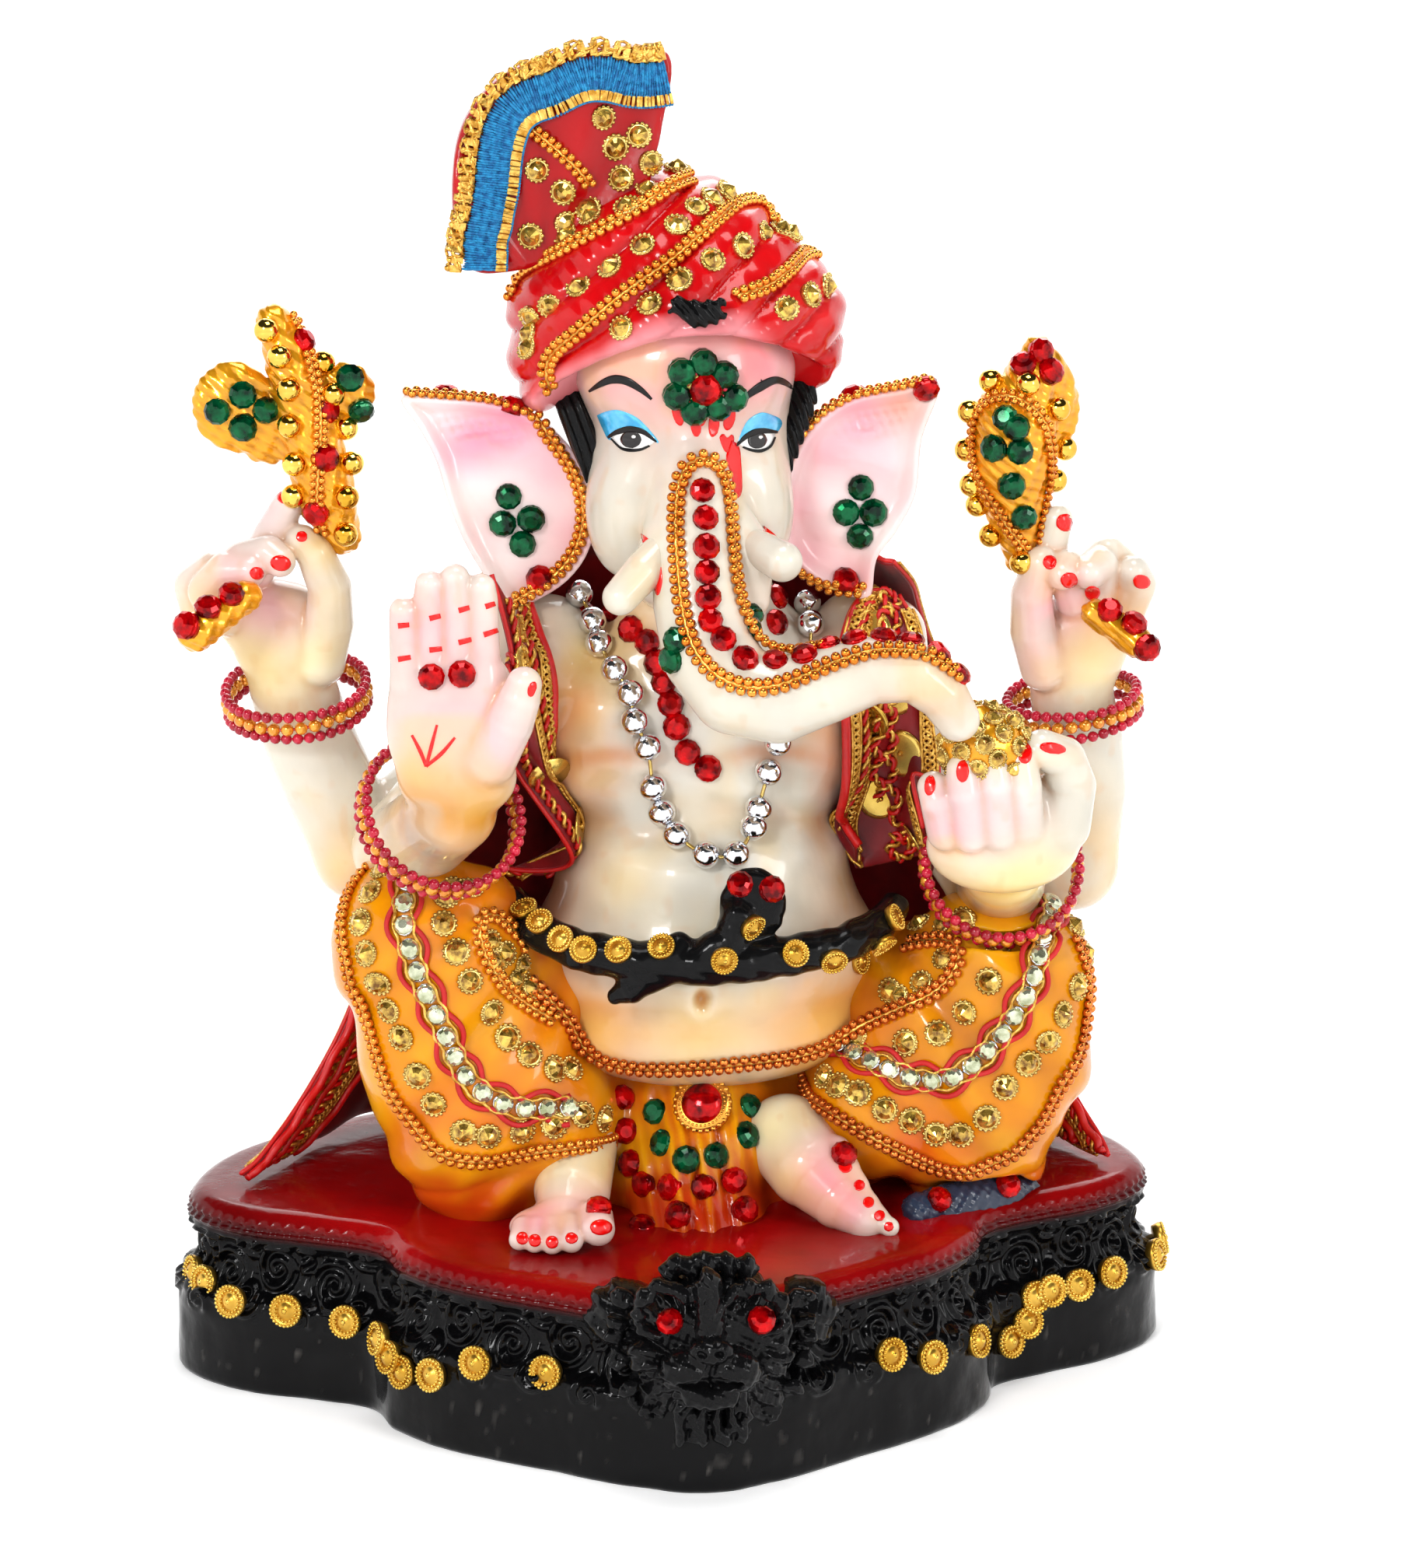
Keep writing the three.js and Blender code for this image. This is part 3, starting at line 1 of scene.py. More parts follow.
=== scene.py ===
import bpy, math, json, time
import numpy as np
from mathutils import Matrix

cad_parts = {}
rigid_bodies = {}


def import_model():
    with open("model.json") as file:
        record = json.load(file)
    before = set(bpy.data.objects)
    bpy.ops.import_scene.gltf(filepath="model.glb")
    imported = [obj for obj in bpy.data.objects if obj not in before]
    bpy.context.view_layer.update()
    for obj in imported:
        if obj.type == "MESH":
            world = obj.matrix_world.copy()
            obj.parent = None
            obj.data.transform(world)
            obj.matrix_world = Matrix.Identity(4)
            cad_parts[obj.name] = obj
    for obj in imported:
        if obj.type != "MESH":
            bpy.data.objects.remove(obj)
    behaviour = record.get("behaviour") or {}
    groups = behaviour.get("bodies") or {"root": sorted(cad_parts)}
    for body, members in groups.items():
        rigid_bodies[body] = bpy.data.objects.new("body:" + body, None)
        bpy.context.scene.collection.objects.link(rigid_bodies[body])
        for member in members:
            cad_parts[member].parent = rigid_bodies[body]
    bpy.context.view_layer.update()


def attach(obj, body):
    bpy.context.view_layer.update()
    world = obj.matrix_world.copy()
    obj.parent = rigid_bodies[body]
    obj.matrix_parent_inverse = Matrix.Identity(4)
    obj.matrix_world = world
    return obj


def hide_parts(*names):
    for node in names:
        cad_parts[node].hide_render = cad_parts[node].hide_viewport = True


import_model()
import openvdb as vdb
from mathutils import Vector, Matrix
from mathutils.bvhtree import BVHTree

T0 = time.time()
def log(*a): print("[scene %.1fs]" % (time.time() - T0), *a, flush=True)

# ------------------------------------------------------------------ data, millimetres in the modelling frame
OFF = np.array([-2.2, 2.5, 0.0])              # modelling frame -> object frame
EYE = np.array([-83.6, -946.3, 380.0])        # viewing point, modelling frame
CASTINGS = json.loads(r'''{"torso":[["e",7.2,10.0,91.8,38.0,33.0,23.0,0.0,0.0,0.0],["e",7.1,9.0,77.0,37.0,31.0,14.0,0.0,0.0,0.0],["e",7.2,10.0,106.7,32.0,27.0,24.0,0.0,0.0,0.0],["e",7.2,13.0,131.2,31.0,22.0,26.0,0.0,0.0,0.0],["e",7.2,13.0,147.6,35.0,20.0,20.0,0.0,0.0,0.0],["e",-15.0,4.0,140.9,13.0,12.0,15.0,0.0,8.0,0.0],["e",27.9,4.0,139.9,13.0,12.0,15.0,0.0,-8.0,0.0],["e",-28.5,12.0,157.6,14.0,13.0,13.0,0.0,0.0,0.0],["e",42.2,12.0,156.7,14.0,13.0,13.0,0.0,0.0,0.0],["e",6.9,12.0,163.3,19.0,17.0,14.0,0.0,0.0,0.0]],"dhoti_legs":[["e",7.5,22.0,45.3,50.0,36.0,24.0,0.0,0.0,0.0],["t",[5.6,2.0,58.0,16.0],[4.6,-8.0,49.0,15.0],[3.9,-12.0,41.5,13.0]],["e",3.4,-17.0,37.7,14.0,11.0,5.0,0.0,0.0,0.0],["t",[-19.8,14.0,67.0,17.0],[-34.7,5.0,81.3,19.5],[-52.3,-4.0,97.5,19.5]],["t",[-52.3,-4.0,95.9,19.5],[-48.6,-5.0,76.1,20.0],[-44.5,-5.0,60.2,20.0],[-41.9,-5.0,50.9,17.0]],["t",[-38.7,-4.0,68.5,20.0],[-30.6,-8.0,62.5,16.0]],["t",[35.1,14.0,65.3,17.0],[50.2,5.0,76.1,19.5],[70.3,-4.0,85.9,19.5]],["t",[70.3,-4.0,85.4,19.5],[69.0,-5.0,68.9,20.5],[63.4,-6.0,57.0,19.0],[64.7,-4.0,47.3,16.0]],["t",[54.2,-4.0,65.5,20.0],[43.5,-8.0,60.1,16.0]]],"foot_right":[["t",[-22.1,-10.0,52.7,8.6],[-23.8,-20.0,47.1,8.2],[-25.7,-28.0,43.8,6.2]],["e",-27.9,-31.0,43.2,10.0,7.0,4.4,0.0,0.0,0.0],["t",[-35.3,-34.0,44.2,2.3],[-36.2,-38.0,42.9,2.2]],["t",[-32.4,-35.0,44.1,2.4],[-33.0,-39.0,42.7,2.3]],["t",[-28.8,-35.0,44.0,2.5],[-29.4,-40.0,42.7,2.4]],["t",[-25.0,-35.0,44.6,2.7],[-25.4,-40.0,43.1,2.6]],["t",[-19.9,-33.0,45.4,3.9],[-19.7,-39.0,45.1,3.6]]],"foot_left":[["t",[23.1,-12.0,54.7,9.4],[26.9,-20.0,50.7,9.0],[32.5,-27.0,45.6,6.4],[37.6,-31.0,42.6,4.6]],["t",[32.5,-22.0,54.7,3.4],[34.0,-25.0,52.2,3.1]],["t",[34.9,-26.0,51.1,2.6],[36.6,-28.0,48.9,2.4]],["t",[36.7,-28.0,47.5,2.4],[38.6,-30.0,45.7,2.2]],["t",[38.4,-30.0,44.7,2.2],[40.5,-32.0,43.2,2.1]],["t",[39.8,-32.0,42.9,2.2],[42.6,-34.0,41.5,2.1]]],"head":[["e",3.8,7.0,207.3,21.5,24.0,27.0,0.0,0.0,0.0],["e",3.9,8.0,219.5,20.0,22.0,14.0,0.0,0.0,0.0],["e",-8.7,-3.0,193.6,10.0,12.5,17.0,0.0,6.0,0.0],["e",15.3,-3.0,193.5,9.5,12.5,17.0,0.0,-6.0,0.0],["e",3.9,3.0,179.7,15.0,15.0,13.0,0.0,0.0,0.0],["e",3.3,-6.0,197.3,12.0,13.0,18.0,0.0,0.0,0.0],["t",[2.6,-13.0,206.0,6.4],[2.2,-18.0,196.4,7.4],[1.8,-22.0,186.6,8.4],[2.7,-26.0,176.0,9.3],[4.5,-30.0,166.2,9.6],[9.4,-34.0,159.5,9.4],[17.9,-37.0,157.7,8.9],[27.3,-39.0,160.9,7.8],[36.7,-40.0,164.2,6.9],[45.5,-41.0,163.9,6.1],[51.3,-41.0,159.1,5.3],[54.6,-41.0,153.8,4.6]],["t",[-1.1,-15.0,194.2,5.0],[-3.5,-20.0,185.1,5.8]],["t",[8.1,-15.0,194.0,5.0],[13.6,-20.0,184.8,5.6],[14.0,-22.0,175.7,4.0]]],"tusk_right":[["t",[-4.3,-22.0,186.2,4.0],[-8.8,-26.0,182.6,4.1],[-13.6,-29.0,178.1,3.7]]],"tusk_left":[["t",[14.1,-21.0,186.9,3.6],[17.2,-25.0,185.8,4.0],[19.8,-28.0,184.7,4.2]]],"front_arm_right":[["t",[-31.6,12.0,150.5,10.5],[-45.4,15.0,129.4,9.8],[-58.9,8.0,115.7,9.2]],["t",[-58.9,8.0,115.7,9.2],[-53.4,-10.0,124.2,9.6],[-48.6,-24.0,132.9,9.6]],["e",-47.4,-29.0,140.9,12.2,8.0,9.0,0.0,0.0,0.0],["e",-48.6,-31.0,152.1,13.2,6.0,16.0,0.0,0.0,0.0],["e",-53.6,-31.0,159.6,7.0,5.4,9.0,0.0,0.0,0.0],["e",-43.8,-31.0,159.4,8.0,5.4,9.0,0.0,0.0,0.0],["t",[-57.4,-32.0,162.4,3.5],[-57.8,-31.0,174.3,3.1],[-57.9,-31.0,176.6,2.9]],["t",[-52.6,-32.0,163.4,3.6],[-52.7,-31.0,179.1,3.2],[-52.6,-31.0,182.0,2.9]],["t",[-47.2,-32.0,163.3,3.6],[-47.3,-31.0,180.6,3.2],[-47.4,-31.0,183.2,3.0]],["t",[-41.9,-32.0,162.5,3.6],[-41.9,-31.0,178.8,3.2],[-42.1,-31.0,181.1,3.0]],["t",[-41.2,-33.0,145.9,6.0],[-36.9,-36.0,153.9,5.0],[-34.9,-37.0,159.0,4.3],[-33.9,-37.0,162.2,3.7]]],"rear_arm_right":[["t",[-33.8,24.0,144.2,10.5],[-50.1,25.0,123.4,10.0],[-66.3,22.0,111.0,9.6]],["t",[-67.0,22.0,111.3,9.6],[-72.9,20.0,127.0,10.0],[-77.5,18.0,138.9,9.8],[-80.6,16.0,150.3,9.2]],["e",-81.7,14.0,161.4,11.5,8.5,12.0,0.0,0.0,0.0],["e",-87.8,12.0,167.0,9.0,7.0,8.0,0.0,0.0,0.0],["t",[-74.6,10.0,157.0,5.4],[-72.5,7.0,166.1,5.2],[-72.3,5.0,174.1,4.6],[-75.3,4.0,181.6,4.0],[-78.0,4.0,184.4,3.5]],["t",[-94.3,8.0,168.0,4.6],[-97.7,4.0,174.0,4.4],[-94.0,2.0,178.5,4.2],[-89.2,0.0,178.9,3.6]],["t",[-92.6,8.0,173.0,4.4],[-90.4,4.0,180.2,4.2],[-85.0,2.0,182.2,3.9],[-82.6,0.0,180.9,3.3]],["t",[-87.6,10.0,177.5,4.2],[-84.1,8.0,184.6,4.0],[-80.7,6.0,191.6,3.3]],["t",[-99.0,12.0,167.3,4.6],[-100.4,10.0,173.6,4.6],[-96.5,8.0,177.3,4.2]]],"front_arm_left":[["t",[45.0,12.0,148.7,10.5],[57.9,15.0,123.3,9.8],[71.2,8.0,102.0,9.2]],["t",[71.2,8.0,102.0,9.2],[69.6,-8.0,110.1,9.4],[68.2,-18.0,116.4,9.4]],["e",66.4,-29.0,123.8,16.2,8.6,10.5,0.0,0.0,0.0],["e",67.9,-29.0,129.6,14.0,7.5,10.0,0.0,0.0,0.0],["t",[53.4,-34.0,128.0,3.9],[51.3,-37.0,135.5,3.7],[50.4,-36.0,138.3,3.3]],["t",[58.3,-36.0,128.1,4.0],[56.6,-39.0,137.6,3.8],[56.2,-38.0,142.3,3.4]],["t",[64.2,-36.0,128.2,4.0],[62.9,-39.0,139.1,3.8],[62.3,-38.0,144.1,3.4]],["t",[69.9,-35.0,129.5,4.0],[68.9,-38.0,138.6,3.9],[68.3,-37.0,143.4,3.5]],["t",[78.6,-30.0,127.9,6.0],[80.2,-31.0,136.5,5.2],[78.1,-33.0,142.9,4.6],[73.2,-35.0,145.7,4.0]]],"rear_arm_left":[["t",[50.4,24.0,142.2,10.5],[69.8,25.0,118.6,10.0],[89.7,22.0,104.6,9.6]],["t",[90.4,22.0,104.6,9.6],[91.4,20.0,122.9,10.0],[90.5,18.0,134.0,9.6],[88.2,16.0,144.7,9.0]],["e",88.3,14.0,155.9,11.5,8.5,12.0,0.0,0.0,0.0],["e",92.6,12.0,161.4,9.0,7.0,8.0,0.0,0.0,0.0],["t",[80.9,10.0,152.2,5.2],[77.9,7.0,161.2,5.0],[77.1,5.0,169.3,4.4],[78.8,4.0,176.3,3.8]],["t",[86.7,8.0,167.6,4.0],[84.5,4.0,175.3,3.9],[83.0,1.0,174.3,3.2]],["t",[92.1,8.0,165.8,4.2],[91.6,4.0,175.5,4.1],[89.0,1.0,174.5,3.4]],["t",[82.2,10.0,172.4,3.6],[81.7,8.0,179.6,3.6],[82.6,6.0,185.4,3.3]],["t",[97.9,8.0,163.9,4.2],[99.9,5.0,171.0,4.2],[98.8,3.0,174.4,3.4]],["t",[89.0,10.0,172.2,3.6],[94.1,8.0,177.3,3.8],[98.4,8.0,173.3,3.8]]],"modak":[["e",61.5,-33.0,145.5,9.2,8.4,8.6,0.0,0.0,0.0],["t",[60.8,-33.0,147.5,5.0],[60.1,-33.0,151.7,2.6]]],"axe":[["t",[-82.7,10.0,230.0,3.6],[-78.8,9.0,219.0,5.4],[-75.5,8.0,206.0,6.2],[-72.6,7.0,192.9,6.4],[-69.5,6.0,185.0,4.0]],["e",-91.5,9.0,212.3,8.5,3.2,9.5,0.0,0.0,0.0],["e",-84.4,9.0,207.9,7.0,3.0,8.0,0.0,0.0,0.0],["e",-68.0,9.0,214.7,6.0,3.2,6.5,0.0,0.0,0.0]],"axe_handle":[["t",[-89.6,-4.0,174.6,3.2],[-95.0,-6.0,171.2,3.4],[-100.3,-8.0,168.1,4.2]]],"mace":[["t",[77.9,8.0,222.0,2.8],[76.6,8.0,215.0,6.0],[73.4,8.0,205.9,9.2],[73.0,8.0,196.7,8.6],[73.7,8.0,186.5,6.0],[75.1,8.0,176.7,3.2]],["e",81.0,9.0,211.4,6.0,4.0,11.0,0.0,-12.0,0.0]],"mace_handle":[["t",[89.3,-4.0,167.1,3.0],[93.7,-6.0,164.4,3.2],[97.7,-8.0,161.4,3.4]]],"snake_belt":[["t",[-34.5,-2.0,106.1,3.4],[-30.6,-15.0,103.6,4.0],[-22.1,-23.0,101.3,4.3],[-10.2,-27.5,99.9,4.5],[2.7,-28.5,99.2,4.6],[12.5,-28.5,99.5,4.6],[22.5,-27.0,100.2,4.3],[33.7,-23.0,101.0,4.1],[42.2,-15.0,102.5,3.8],[47.0,-4.0,103.3,3.2]],["t",[3.5,-29.0,100.0,4.4],[9.2,-29.0,105.0,3.8],[10.8,-29.0,109.6,3.6]],["e",14.0,-27.0,111.3,7.0,3.2,8.2,0.0,0.0,0.0],["e",-1.8,-28.0,102.2,4.0,3.0,4.0,0.0,0.0,0.0],["t",[-6.2,-28.0,98.2,4.0],[-11.1,-28.0,94.6,3.4],[-14.8,-27.0,92.1,1.8]]],"mouse":[["t",[50.3,-22.0,41.2,2.6],[54.7,-19.5,40.9,3.6],[62.2,-15.5,40.4,4.6],[70.3,-10.5,39.8,4.8],[76.1,-6.5,38.5,3.2]]],"turban":[["e",1.1,9.0,230.9,34.5,32.0,20.0,0.0,6.0,0.0],["e",0.1,9.0,241.6,29.0,26.0,17.0,0.0,10.0,0.0],["e",-0.5,9.0,247.9,20.0,19.0,12.5,0.0,14.0,0.0],["e",19.7,4.0,231.4,15.0,20.0,13.0,0.0,0.0,0.0],["e",-18.4,6.0,228.4,13.0,20.0,16.0,0.0,0.0,0.0],["e",28.4,8.0,225.7,6.5,18.0,11.0,0.0,0.0,0.0],["e",-26.5,8.0,222.4,7.0,17.0,12.0,0.0,0.0,0.0]],"lion_mask":[["e",1.1,-66.0,31.5,17.0,12.0,15.0,0.0,0.0,0.0],["e",0.6,-71.0,25.0,11.0,8.5,8.0,0.0,0.0,0.0],["e",-6.3,-70.0,35.5,7.5,7.0,7.0,0.0,0.0,0.0],["e",10.3,-70.0,35.2,7.5,7.0,7.0,0.0,0.0,0.0],["e",-16.1,-61.0,34.4,8.0,7.0,7.5,0.0,0.0,0.0],["e",20.3,-61.0,33.4,8.0,7.0,7.5,0.0,0.0,0.0],["e",1.6,-66.0,41.6,9.0,7.0,4.5,0.0,0.0,0.0],["e",-7.0,-67.0,22.0,8.0,7.5,7.0,0.0,0.0,0.0],["e",9.5,-67.0,21.3,8.0,7.5,7.0,0.0,0.0,0.0],["e",1.1,-66.0,15.2,15.0,8.0,8.0,0.0,0.0,0.0]]}''')
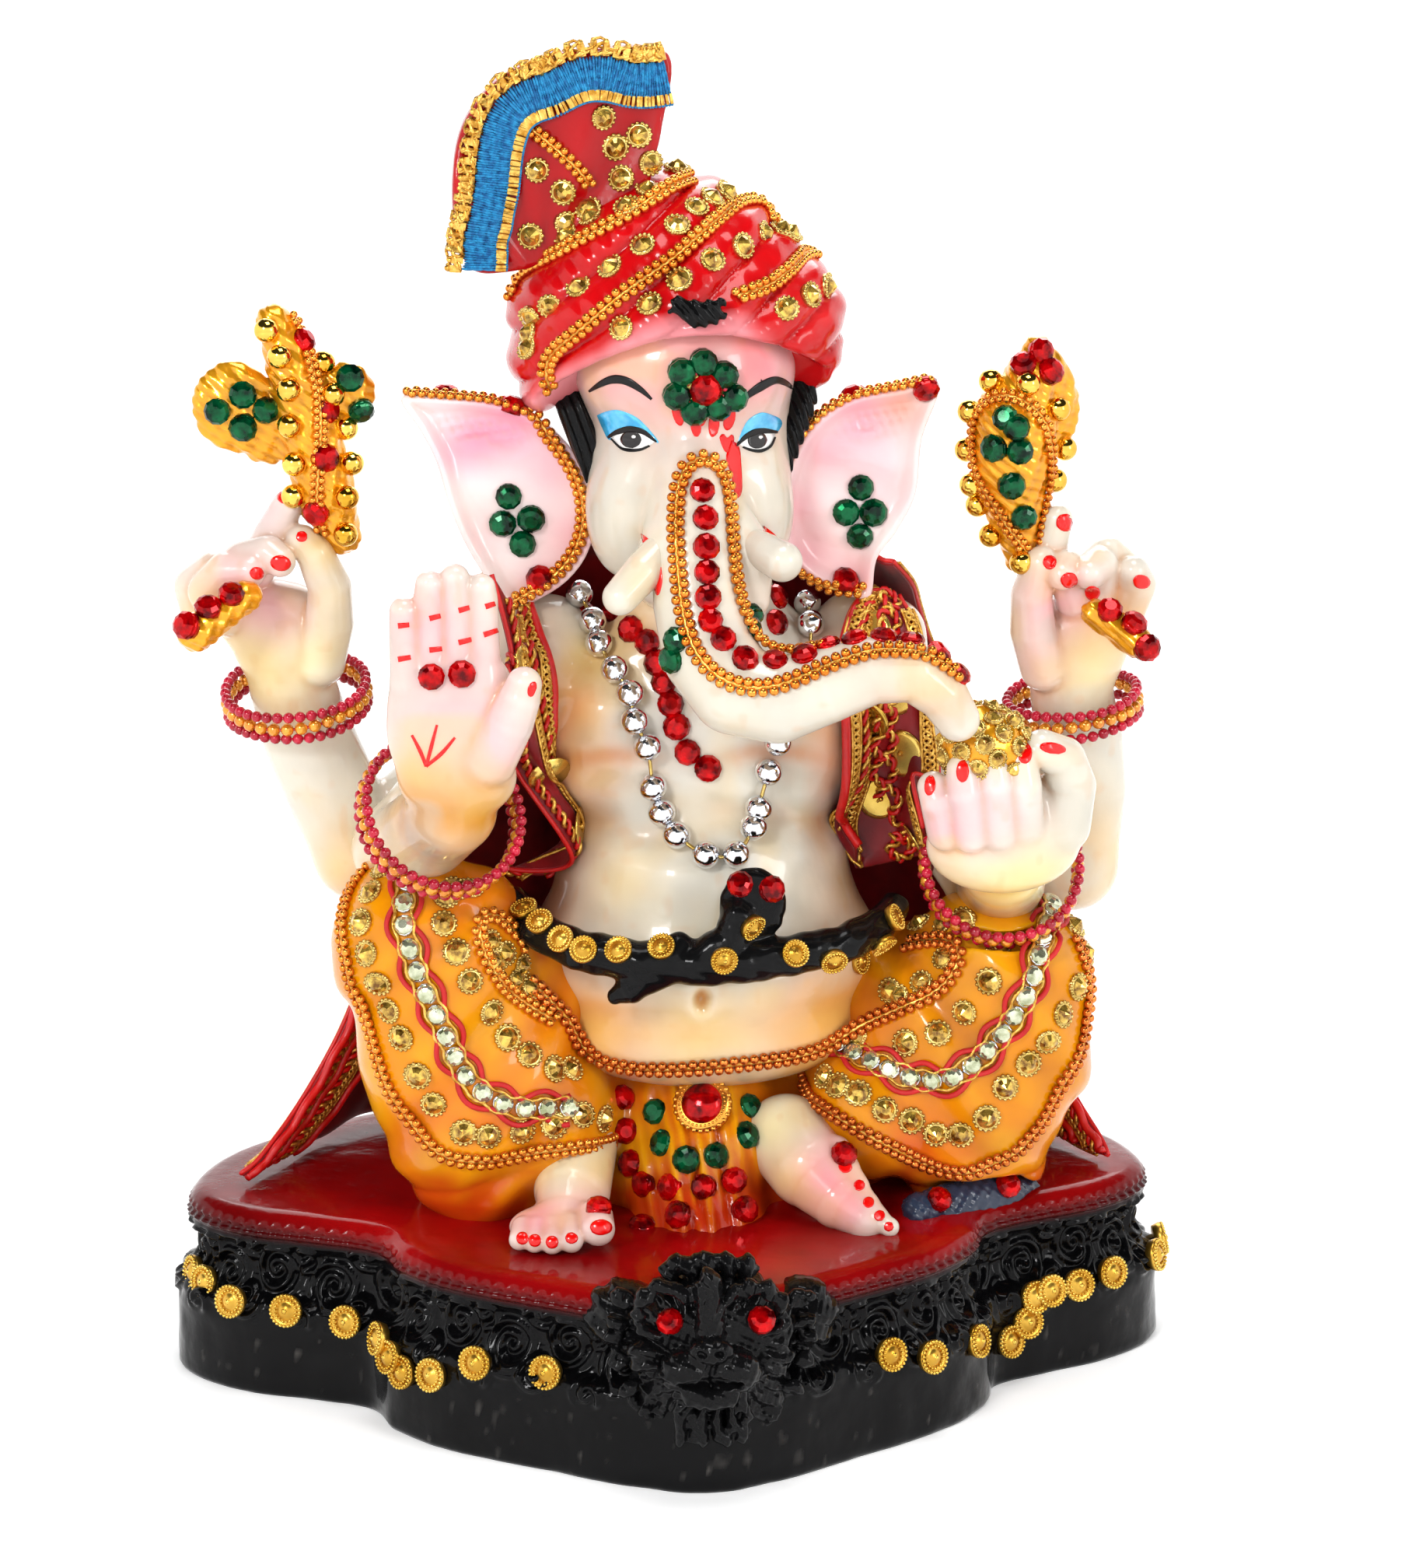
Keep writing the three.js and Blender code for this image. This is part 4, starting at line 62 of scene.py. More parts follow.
LINES = json.loads(r'''{"turban_chain_upper":[[-32.6,2.9,235.1],[-31.7,7.3,239.2],[-26.5,-3.1,243.5],[-18.9,-9.3,248.3],[-9.8,-10.2,252.8],[-0.8,-3.5,258.3],[4.2,3.8,259.5]],"turban_chain_middle":[[-26.2,-8.0,217.8],[-28.1,-8.6,220.7],[-27.1,-10.1,225.6],[-21.8,-15.2,230.3],[-15.2,-18.5,235.9],[-8.3,-17.9,241.4],[-1.9,-16.6,245.6],[4.2,-12.4,250.6],[10.6,-5.1,253.9],[15.5,3.1,254.3],[19.5,9.7,252.2],[21.7,4.4,250.0]],"turban_chain_short":[[11.0,-19.3,237.5],[18.2,-14.7,239.4],[22.8,-9.0,242.4],[27.8,3.4,244.1],[30.1,7.1,242.1]],"fan_chain":[[-29.5,-4.0,270.9],[-24.7,-4.0,266.9],[-19.7,-4.0,262.9],[-17.3,-4.0,258.9]],"ear_right_chain":[[-55.4,2.5,214.5],[-49.6,2.5,214.9],[-39.9,2.5,213.9],[-30.2,2.5,210.8],[-21.6,2.5,201.1],[-18.1,2.5,191.1],[-19.6,2.5,181.9],[-25.1,2.5,175.3],[-30.6,2.5,171.6],[-33.9,2.5,170.5]],"ear_left_chain":[[54.3,2.5,215.6],[45.1,2.5,214.8],[37.7,2.5,213.4],[30.7,2.5,209.3],[25.8,2.5,201.9],[23.5,2.5,191.9],[24.2,2.5,182.7],[28.4,2.5,176.4],[34.7,2.5,172.8],[40.0,2.5,171.1]],"trunk_chain":[[27.3,-37.2,168.6],[21.0,-36.5,167.3],[14.3,-30.5,168.8],[11.5,-32.7,173.5],[9.7,-30.8,179.7],[9.8,-25.6,188.3],[9.8,-21.0,196.8],[8.5,-19.2,203.5],[4.0,-20.3,206.5],[-0.0,-21.0,204.8],[-1.5,-24.6,197.7],[-1.9,-29.2,188.9],[-1.5,-33.2,180.1],[-0.8,-36.0,173.4],[1.3,-39.1,167.1],[5.5,-41.9,163.1],[11.1,-43.9,161.3],[17.1,-44.8,161.9],[23.4,-44.9,164.7],[29.7,-44.5,167.4],[36.4,-44.6,169.2],[43.4,-44.1,169.2],[49.3,-44.6,167.0],[54.6,-42.7,162.8]],"waist_chain":[[-32.1,-15.3,92.0],[-27.2,-12.7,86.6],[-24.5,-12.1,81.0],[-21.3,-11.2,75.5],[-15.3,-14.5,73.6],[-6.5,-18.9,73.7],[3.4,-21.3,74.6],[14.9,-21.1,75.3],[26.8,-17.0,75.4],[34.3,-12.0,76.7],[41.1,-11.9,80.6],[49.8,-15.8,84.5],[55.2,-18.3,88.8],[59.0,-19.6,92.6],[61.1,-18.4,97.0],[60.7,-15.7,99.5],[55.0,-11.3,97.8],[49.3,-6.5,95.5]],"dhoti_right_loop_chain":[[-33.9,-14.2,100.0],[-39.2,-16.2,106.7],[-43.5,-17.5,109.4],[-44.6,-20.1,106.8],[-43.3,-21.9,100.9],[-40.7,-21.2,95.6],[-36.4,-18.9,91.0],[-32.2,-16.3,86.8],[-27.8,-14.0,82.7]],"dhoti_right_chain":[[-63.6,1.5,113.0],[-65.7,1.2,111.4],[-68.8,-5.8,108.8],[-69.9,-10.6,104.8],[-69.5,-14.8,99.5],[-68.5,-16.1,93.4],[-66.8,-15.8,85.5],[-65.0,-17.1,79.3],[-62.7,-18.9,73.2],[-59.7,-20.1,66.8],[-56.8,-21.4,61.8],[-52.8,-23.0,57.7],[-46.6,-24.5,56.5],[-38.7,-23.8,56.1],[-30.7,-23.1,57.0],[-23.2,-21.6,58.5],[-14.9,-7.8,54.9]],"dhoti_left_chain":[[28.1,-3.4,64.9],[27.8,-8.8,63.0],[32.3,-19.0,63.3],[39.8,-23.5,59.2],[49.4,-21.2,52.6],[58.1,-22.1,48.4],[65.3,-24.0,51.3],[72.3,-22.9,55.4],[77.7,-21.6,60.2],[80.4,-21.9,66.4],[82.6,-20.1,71.7],[85.6,-16.9,76.7],[87.5,-14.8,81.9],[87.5,-14.8,87.8],[86.3,-14.3,93.1],[85.4,-11.7,97.2]],"axe_chain":[[-79.2,8.9,230.6],[-77.5,11.4,226.9],[-76.4,5.8,222.9],[-74.8,4.8,218.5],[-73.6,4.5,214.9],[-73.6,2.7,209.1],[-73.6,1.9,205.0],[-74.6,1.1,197.9],[-74.7,1.0,194.3],[-73.6,3.0,186.5]],"mace_chain":[[77.3,8.4,174.6],[74.7,3.6,180.9],[70.6,2.8,186.3],[66.8,3.7,192.6],[64.6,6.3,198.6],[64.3,7.2,204.8],[66.2,5.4,210.9],[70.2,3.3,213.4],[74.3,1.0,212.1],[77.5,0.4,209.0],[79.7,1.6,203.7],[80.5,3.9,196.2],[79.8,6.2,189.4],[78.3,5.4,183.2],[78.2,8.6,177.2]],"dhoti_right_crystal_lace":[[-56.3,-10.3,115.9],[-57.9,-16.3,112.2],[-58.5,-21.0,106.5],[-57.0,-23.5,100.7],[-54.9,-24.3,95.0],[-51.9,-24.2,88.9],[-49.8,-24.6,82.3],[-47.3,-24.9,76.3],[-43.1,-24.8,71.3],[-36.9,-23.8,67.7],[-29.0,-23.3,66.9],[-24.3,-22.2,66.4]],"dhoti_left_crystal_lace":[[81.7,0.0,102.2],[77.8,-16.0,100.4],[74.7,-21.6,95.1],[72.2,-24.1,88.9],[68.7,-24.6,82.6],[63.8,-24.0,76.0],[57.1,-23.3,70.9],[49.1,-21.9,70.3],[42.6,-18.7,72.5],[37.0,-13.2,73.8],[34.6,-9.4,73.9]],"trunk_stones":[[3.6,-24.7,199.1],[4.0,-27.2,193.9],[3.9,-30.1,188.5],[3.8,-32.5,183.7],[3.8,-34.8,179.0],[4.1,-36.8,174.6],[6.6,-38.1,171.0],[10.9,-39.8,167.2],[17.1,-39.5,166.5],[23.1,-40.3,167.7],[28.4,-37.2,168.9],[33.7,-37.6,170.1],[39.5,-38.4,170.5],[45.1,-39.4,169.9],[50.4,-40.6,167.5],[54.5,-41.5,163.3]],"turban_fan_stones":[[-14.7,-4.0,273.0],[-7.3,-4.0,269.3],[-12.2,-4.0,266.9],[-5.0,-4.0,263.6],[-11.0,-4.0,260.5],[-28.4,-4.0,262.4],[-23.0,-4.0,257.8],[-17.9,-4.0,254.3],[-17.5,-6.0,252.9],[-29.8,-4.0,248.9],[-22.5,-4.0,251.5],[-22.6,-5.1,249.1],[-10.2,-7.3,255.2],[-5.6,-4.0,258.2],[1.9,12.5,260.3]],"turban_upper_stones":[[-26.3,-10.5,235.4],[-20.6,-13.0,239.7],[-14.2,-14.5,243.9],[-7.5,-14.5,248.2],[-0.3,-12.1,251.8],[4.1,-7.7,254.8],[7.7,-3.3,256.2],[11.4,2.5,256.5]],"turban_lower_stones":[[-12.4,-20.4,232.2],[-6.7,-20.8,237.1],[-0.4,-18.7,241.6],[6.6,-15.9,245.1],[13.3,-11.4,247.3],[18.4,-5.2,248.9],[23.1,3.1,248.5],[25.3,8.4,247.1]],"turban_side_stones":[[21.8,-16.2,235.0],[27.4,-11.4,237.0],[31.5,-4.6,237.7],[-30.0,-5.9,232.4],[-30.5,-5.9,229.0],[-30.8,-5.8,226.1]],"dhoti_right_outer_stones":[[-62.5,-4.5,114.6],[-65.3,-10.2,111.4],[-67.5,-14.0,106.0],[-66.5,-18.3,100.5],[-64.3,-20.4,94.6],[-62.1,-21.0,88.7],[-59.6,-21.9,82.9],[-56.4,-23.4,75.0],[-53.1,-24.0,68.8],[-47.0,-24.9,62.6],[-41.8,-24.8,61.6],[-34.6,-24.1,62.2],[-27.8,-23.7,63.2],[-21.6,-21.0,64.3],[-16.7,-15.8,61.5]],"dhoti_right_inner_stones":[[-44.5,-14.2,112.8],[-47.7,-15.4,113.2],[-49.9,-17.3,112.2],[-50.4,-21.4,107.4],[-47.9,-23.4,101.8],[-45.2,-23.3,95.4],[-40.8,-21.8,88.0],[-37.4,-21.2,82.0],[-32.7,-19.9,77.6],[-27.4,-18.8,74.0],[-23.6,-17.4,73.4]],"dhoti_right_loop_stones":[[-40.5,-19.6,102.8],[-37.3,-18.0,99.6],[-39.5,-20.0,98.6],[-33.8,-15.8,96.1],[-35.3,-17.7,93.4],[-32.0,-15.5,91.0]],"dhoti_left_outer_stones":[[31.0,-13.2,68.6],[33.4,-17.6,67.9],[37.3,-20.9,67.1],[42.7,-23.4,64.1],[48.5,-23.2,61.5],[53.8,-23.2,58.3],[59.0,-24.5,58.5],[64.4,-25.0,62.2],[68.2,-25.5,69.1],[73.2,-24.6,74.0],[77.7,-23.0,78.2],[81.0,-21.4,83.6],[84.7,-18.3,88.7],[87.5,-11.2,94.0],[85.5,-7.5,99.0]],"dhoti_left_inner_stones":[[52.7,-2.5,99.0],[57.0,-8.8,100.7],[60.9,-11.8,102.1],[67.2,-19.8,98.3],[64.9,-22.7,91.9],[59.9,-21.9,84.9],[54.5,-19.9,79.7],[47.9,-18.0,77.2]],"dhoti_left_loop_stones":[[56.1,-15.7,95.1],[51.6,-15.1,89.6],[45.2,-11.7,87.0],[46.8,-13.2,86.2],[38.4,-11.5,76.9]],"belt_sequins":[[-33.0,-12.9,107.5],[-30.0,-18.7,106.3],[-25.9,-24.2,104.1],[-21.5,-27.5,102.7],[-14.3,-29.7,103.0],[-5.4,-30.5,103.6],[7.2,-33.3,101.5],[13.3,-31.3,108.0],[22.4,-31.1,101.7],[30.9,-28.1,99.2],[38.9,-8.2,92.8],[42.9,-16.3,98.9],[45.2,-16.1,104.4]],"belt_rubies":[[11.1,-29.1,116.5],[17.7,-29.2,115.3]],"base_sequins_right":[[-104.2,5.2,22.0],[-101.9,-0.4,21.9],[-96.4,-8.8,20.4],[-84.8,-14.8,20.2],[-72.1,-20.6,19.4],[-65.0,-31.3,19.3],[-63.0,-35.5,16.8],[-60.4,-39.1,14.8],[-54.6,-45.2,16.4],[-45.7,-50.2,20.8],[-31.5,-57.8,21.2]],"base_sequins_left":[[39.8,-53.8,20.8],[49.1,-49.6,18.2],[60.2,-39.3,17.2],[70.2,-21.8,9.9],[74.5,-19.4,13.3],[76.3,-18.6,18.8],[79.9,-17.0,19.5],[86.5,-14.4,19.6],[94.6,-9.9,20.5],[106.1,0.6,20.1],[108.8,10.4,20.0]],"lion_eyes":[[-7.8,-76.2,38.4],[10.8,-76.3,38.1]],"apron_greens":[[-5.2,-11.6,61.2],[-4.3,-17.7,56.2],[0.4,-21.6,53.7],[6.8,-21.8,54.5],[13.8,-16.6,57.0],[15.0,-11.6,61.7]],"apron_reds":[[-11.7,-2.3,61.5],[-11.5,-7.8,55.9],[-10.6,-12.2,49.9],[-8.2,-15.6,46.4],[-3.0,-21.3,47.5],[4.0,-23.4,48.1],[10.6,-21.7,48.8],[-1.6,-24.5,42.4],[-9.2,-23.9,40.0],[13.0,-22.1,42.2]],"medallion":[[4.7,-14.7,63.6]],"foot_rubies":[[-19.3,-36.2,48.9],[33.7,-26.3,55.4]],"mouse_rubies":[[54.9,-22.3,43.1],[71.0,-14.3,42.9]],"flower_greens":[[4.1,-21.6,225.1],[-0.2,-20.3,223.0],[-0.8,-15.1,217.3],[2.7,-16.4,214.3],[7.6,-15.7,215.0],[11.0,-14.4,216.7],[8.6,-19.2,222.1]],"flower_red":[[4.8,-17.5,219.6]],"ear_right_greens":[[-34.6,2.5,193.4],[-35.9,2.5,187.7],[-29.9,2.5,188.6],[-31.8,2.5,183.1]],"ear_left_greens":[[39.8,2.5,193.9],[36.7,2.5,188.6],[42.5,2.5,188.4],[39.7,2.5,183.5]],"ear_right_reds":[[-47.4,2.5,215.1],[-33.7,2.5,212.4],[-28.1,2.5,175.5]],"ear_left_reds":[[38.2,2.5,213.5],[53.5,2.5,214.7],[36.7,2.5,173.7]],"palm_reds":[[-52.7,-36.2,164.0],[-46.5,-36.0,164.4]],"trunk_greens":[[-2.7,-35.5,170.4],[-3.6,-35.1,166.3],[13.0,-27.8,173.4],[13.3,-29.8,170.9]],"chest_reds":[[-18.0,13.1,166.1],[-11.8,10.2,166.6],[-8.9,2.1,164.3],[-5.7,-1.2,162.2],[-3.8,-3.2,158.1],[-2.6,-5.0,154.3],[-1.4,-6.2,149.9],[-0.2,-6.8,145.2],[2.1,-7.7,139.7],[6.3,-8.6,136.2]],"chest_reds_left":[[22.4,6.0,169.7],[21.7,1.5,165.2]],"silver_beads":[[-20.8,10.6,168.3],[-18.7,5.7,164.3],[-15.2,3.2,159.8],[-12.6,-2.1,155.5],[-10.5,-5.0,151.3],[-9.6,-6.4,146.8],[-6.6,-6.6,141.3],[-5.0,-7.1,133.1],[-2.9,-7.6,126.7],[0.2,-10.2,121.8],[5.2,-13.7,118.1],[11.6,-13.4,118.1],[15.0,-9.5,122.5],[16.3,-7.9,128.0],[18.8,-7.2,135.3],[21.3,-7.0,141.9],[24.4,-5.8,149.2],[27.2,-1.3,156.0],[29.3,5.7,162.0],[29.6,13.4,164.2]],"axe_greens":[[-94.8,6.1,211.8],[-89.5,6.0,215.2],[-89.6,6.0,208.3],[-84.8,6.1,211.8],[-67.2,6.4,218.3],[-65.0,6.8,211.3]],"axe_reds":[[-76.7,11.1,225.5],[-72.0,4.9,211.9],[-72.7,1.7,202.3],[-74.9,1.5,190.8]],"axe_balls":[[-83.7,6.5,229.0],[-81.3,4.9,223.5],[-79.4,3.4,216.7],[-79.6,3.3,209.1],[-78.3,2.7,201.3],[-78.5,4.1,194.3],[-73.8,10.2,220.6],[-70.7,6.1,215.2],[-69.2,8.1,207.2],[-68.2,5.1,200.1],[-69.0,1.8,193.7],[-69.2,2.0,186.0]],"axe_handle_reds":[[-92.8,-6.7,175.6],[-97.7,-8.4,173.2],[-102.2,-11.1,170.1]],"mace_greens":[[70.1,-0.1,208.6],[72.2,-1.1,206.8],[67.9,0.8,202.1],[73.2,-0.9,201.7],[71.6,-0.1,194.2],[74.7,2.0,187.0]],"mace_reds":[[78.3,5.2,221.9],[74.5,4.3,219.2],[80.2,4.1,217.7]],"mace_balls":[[69.1,8.0,214.5],[75.4,2.1,215.5],[65.2,11.7,207.5],[64.7,10.5,199.7],[65.5,9.0,192.8],[66.8,8.3,188.9],[69.4,6.9,182.3],[74.6,4.7,177.1],[81.1,3.8,209.3],[83.8,8.2,201.1],[81.0,6.7,193.9]],"mace_handle_reds":[[92.0,-6.7,168.2],[97.0,-8.3,165.6],[99.4,-10.8,160.9]]}''')
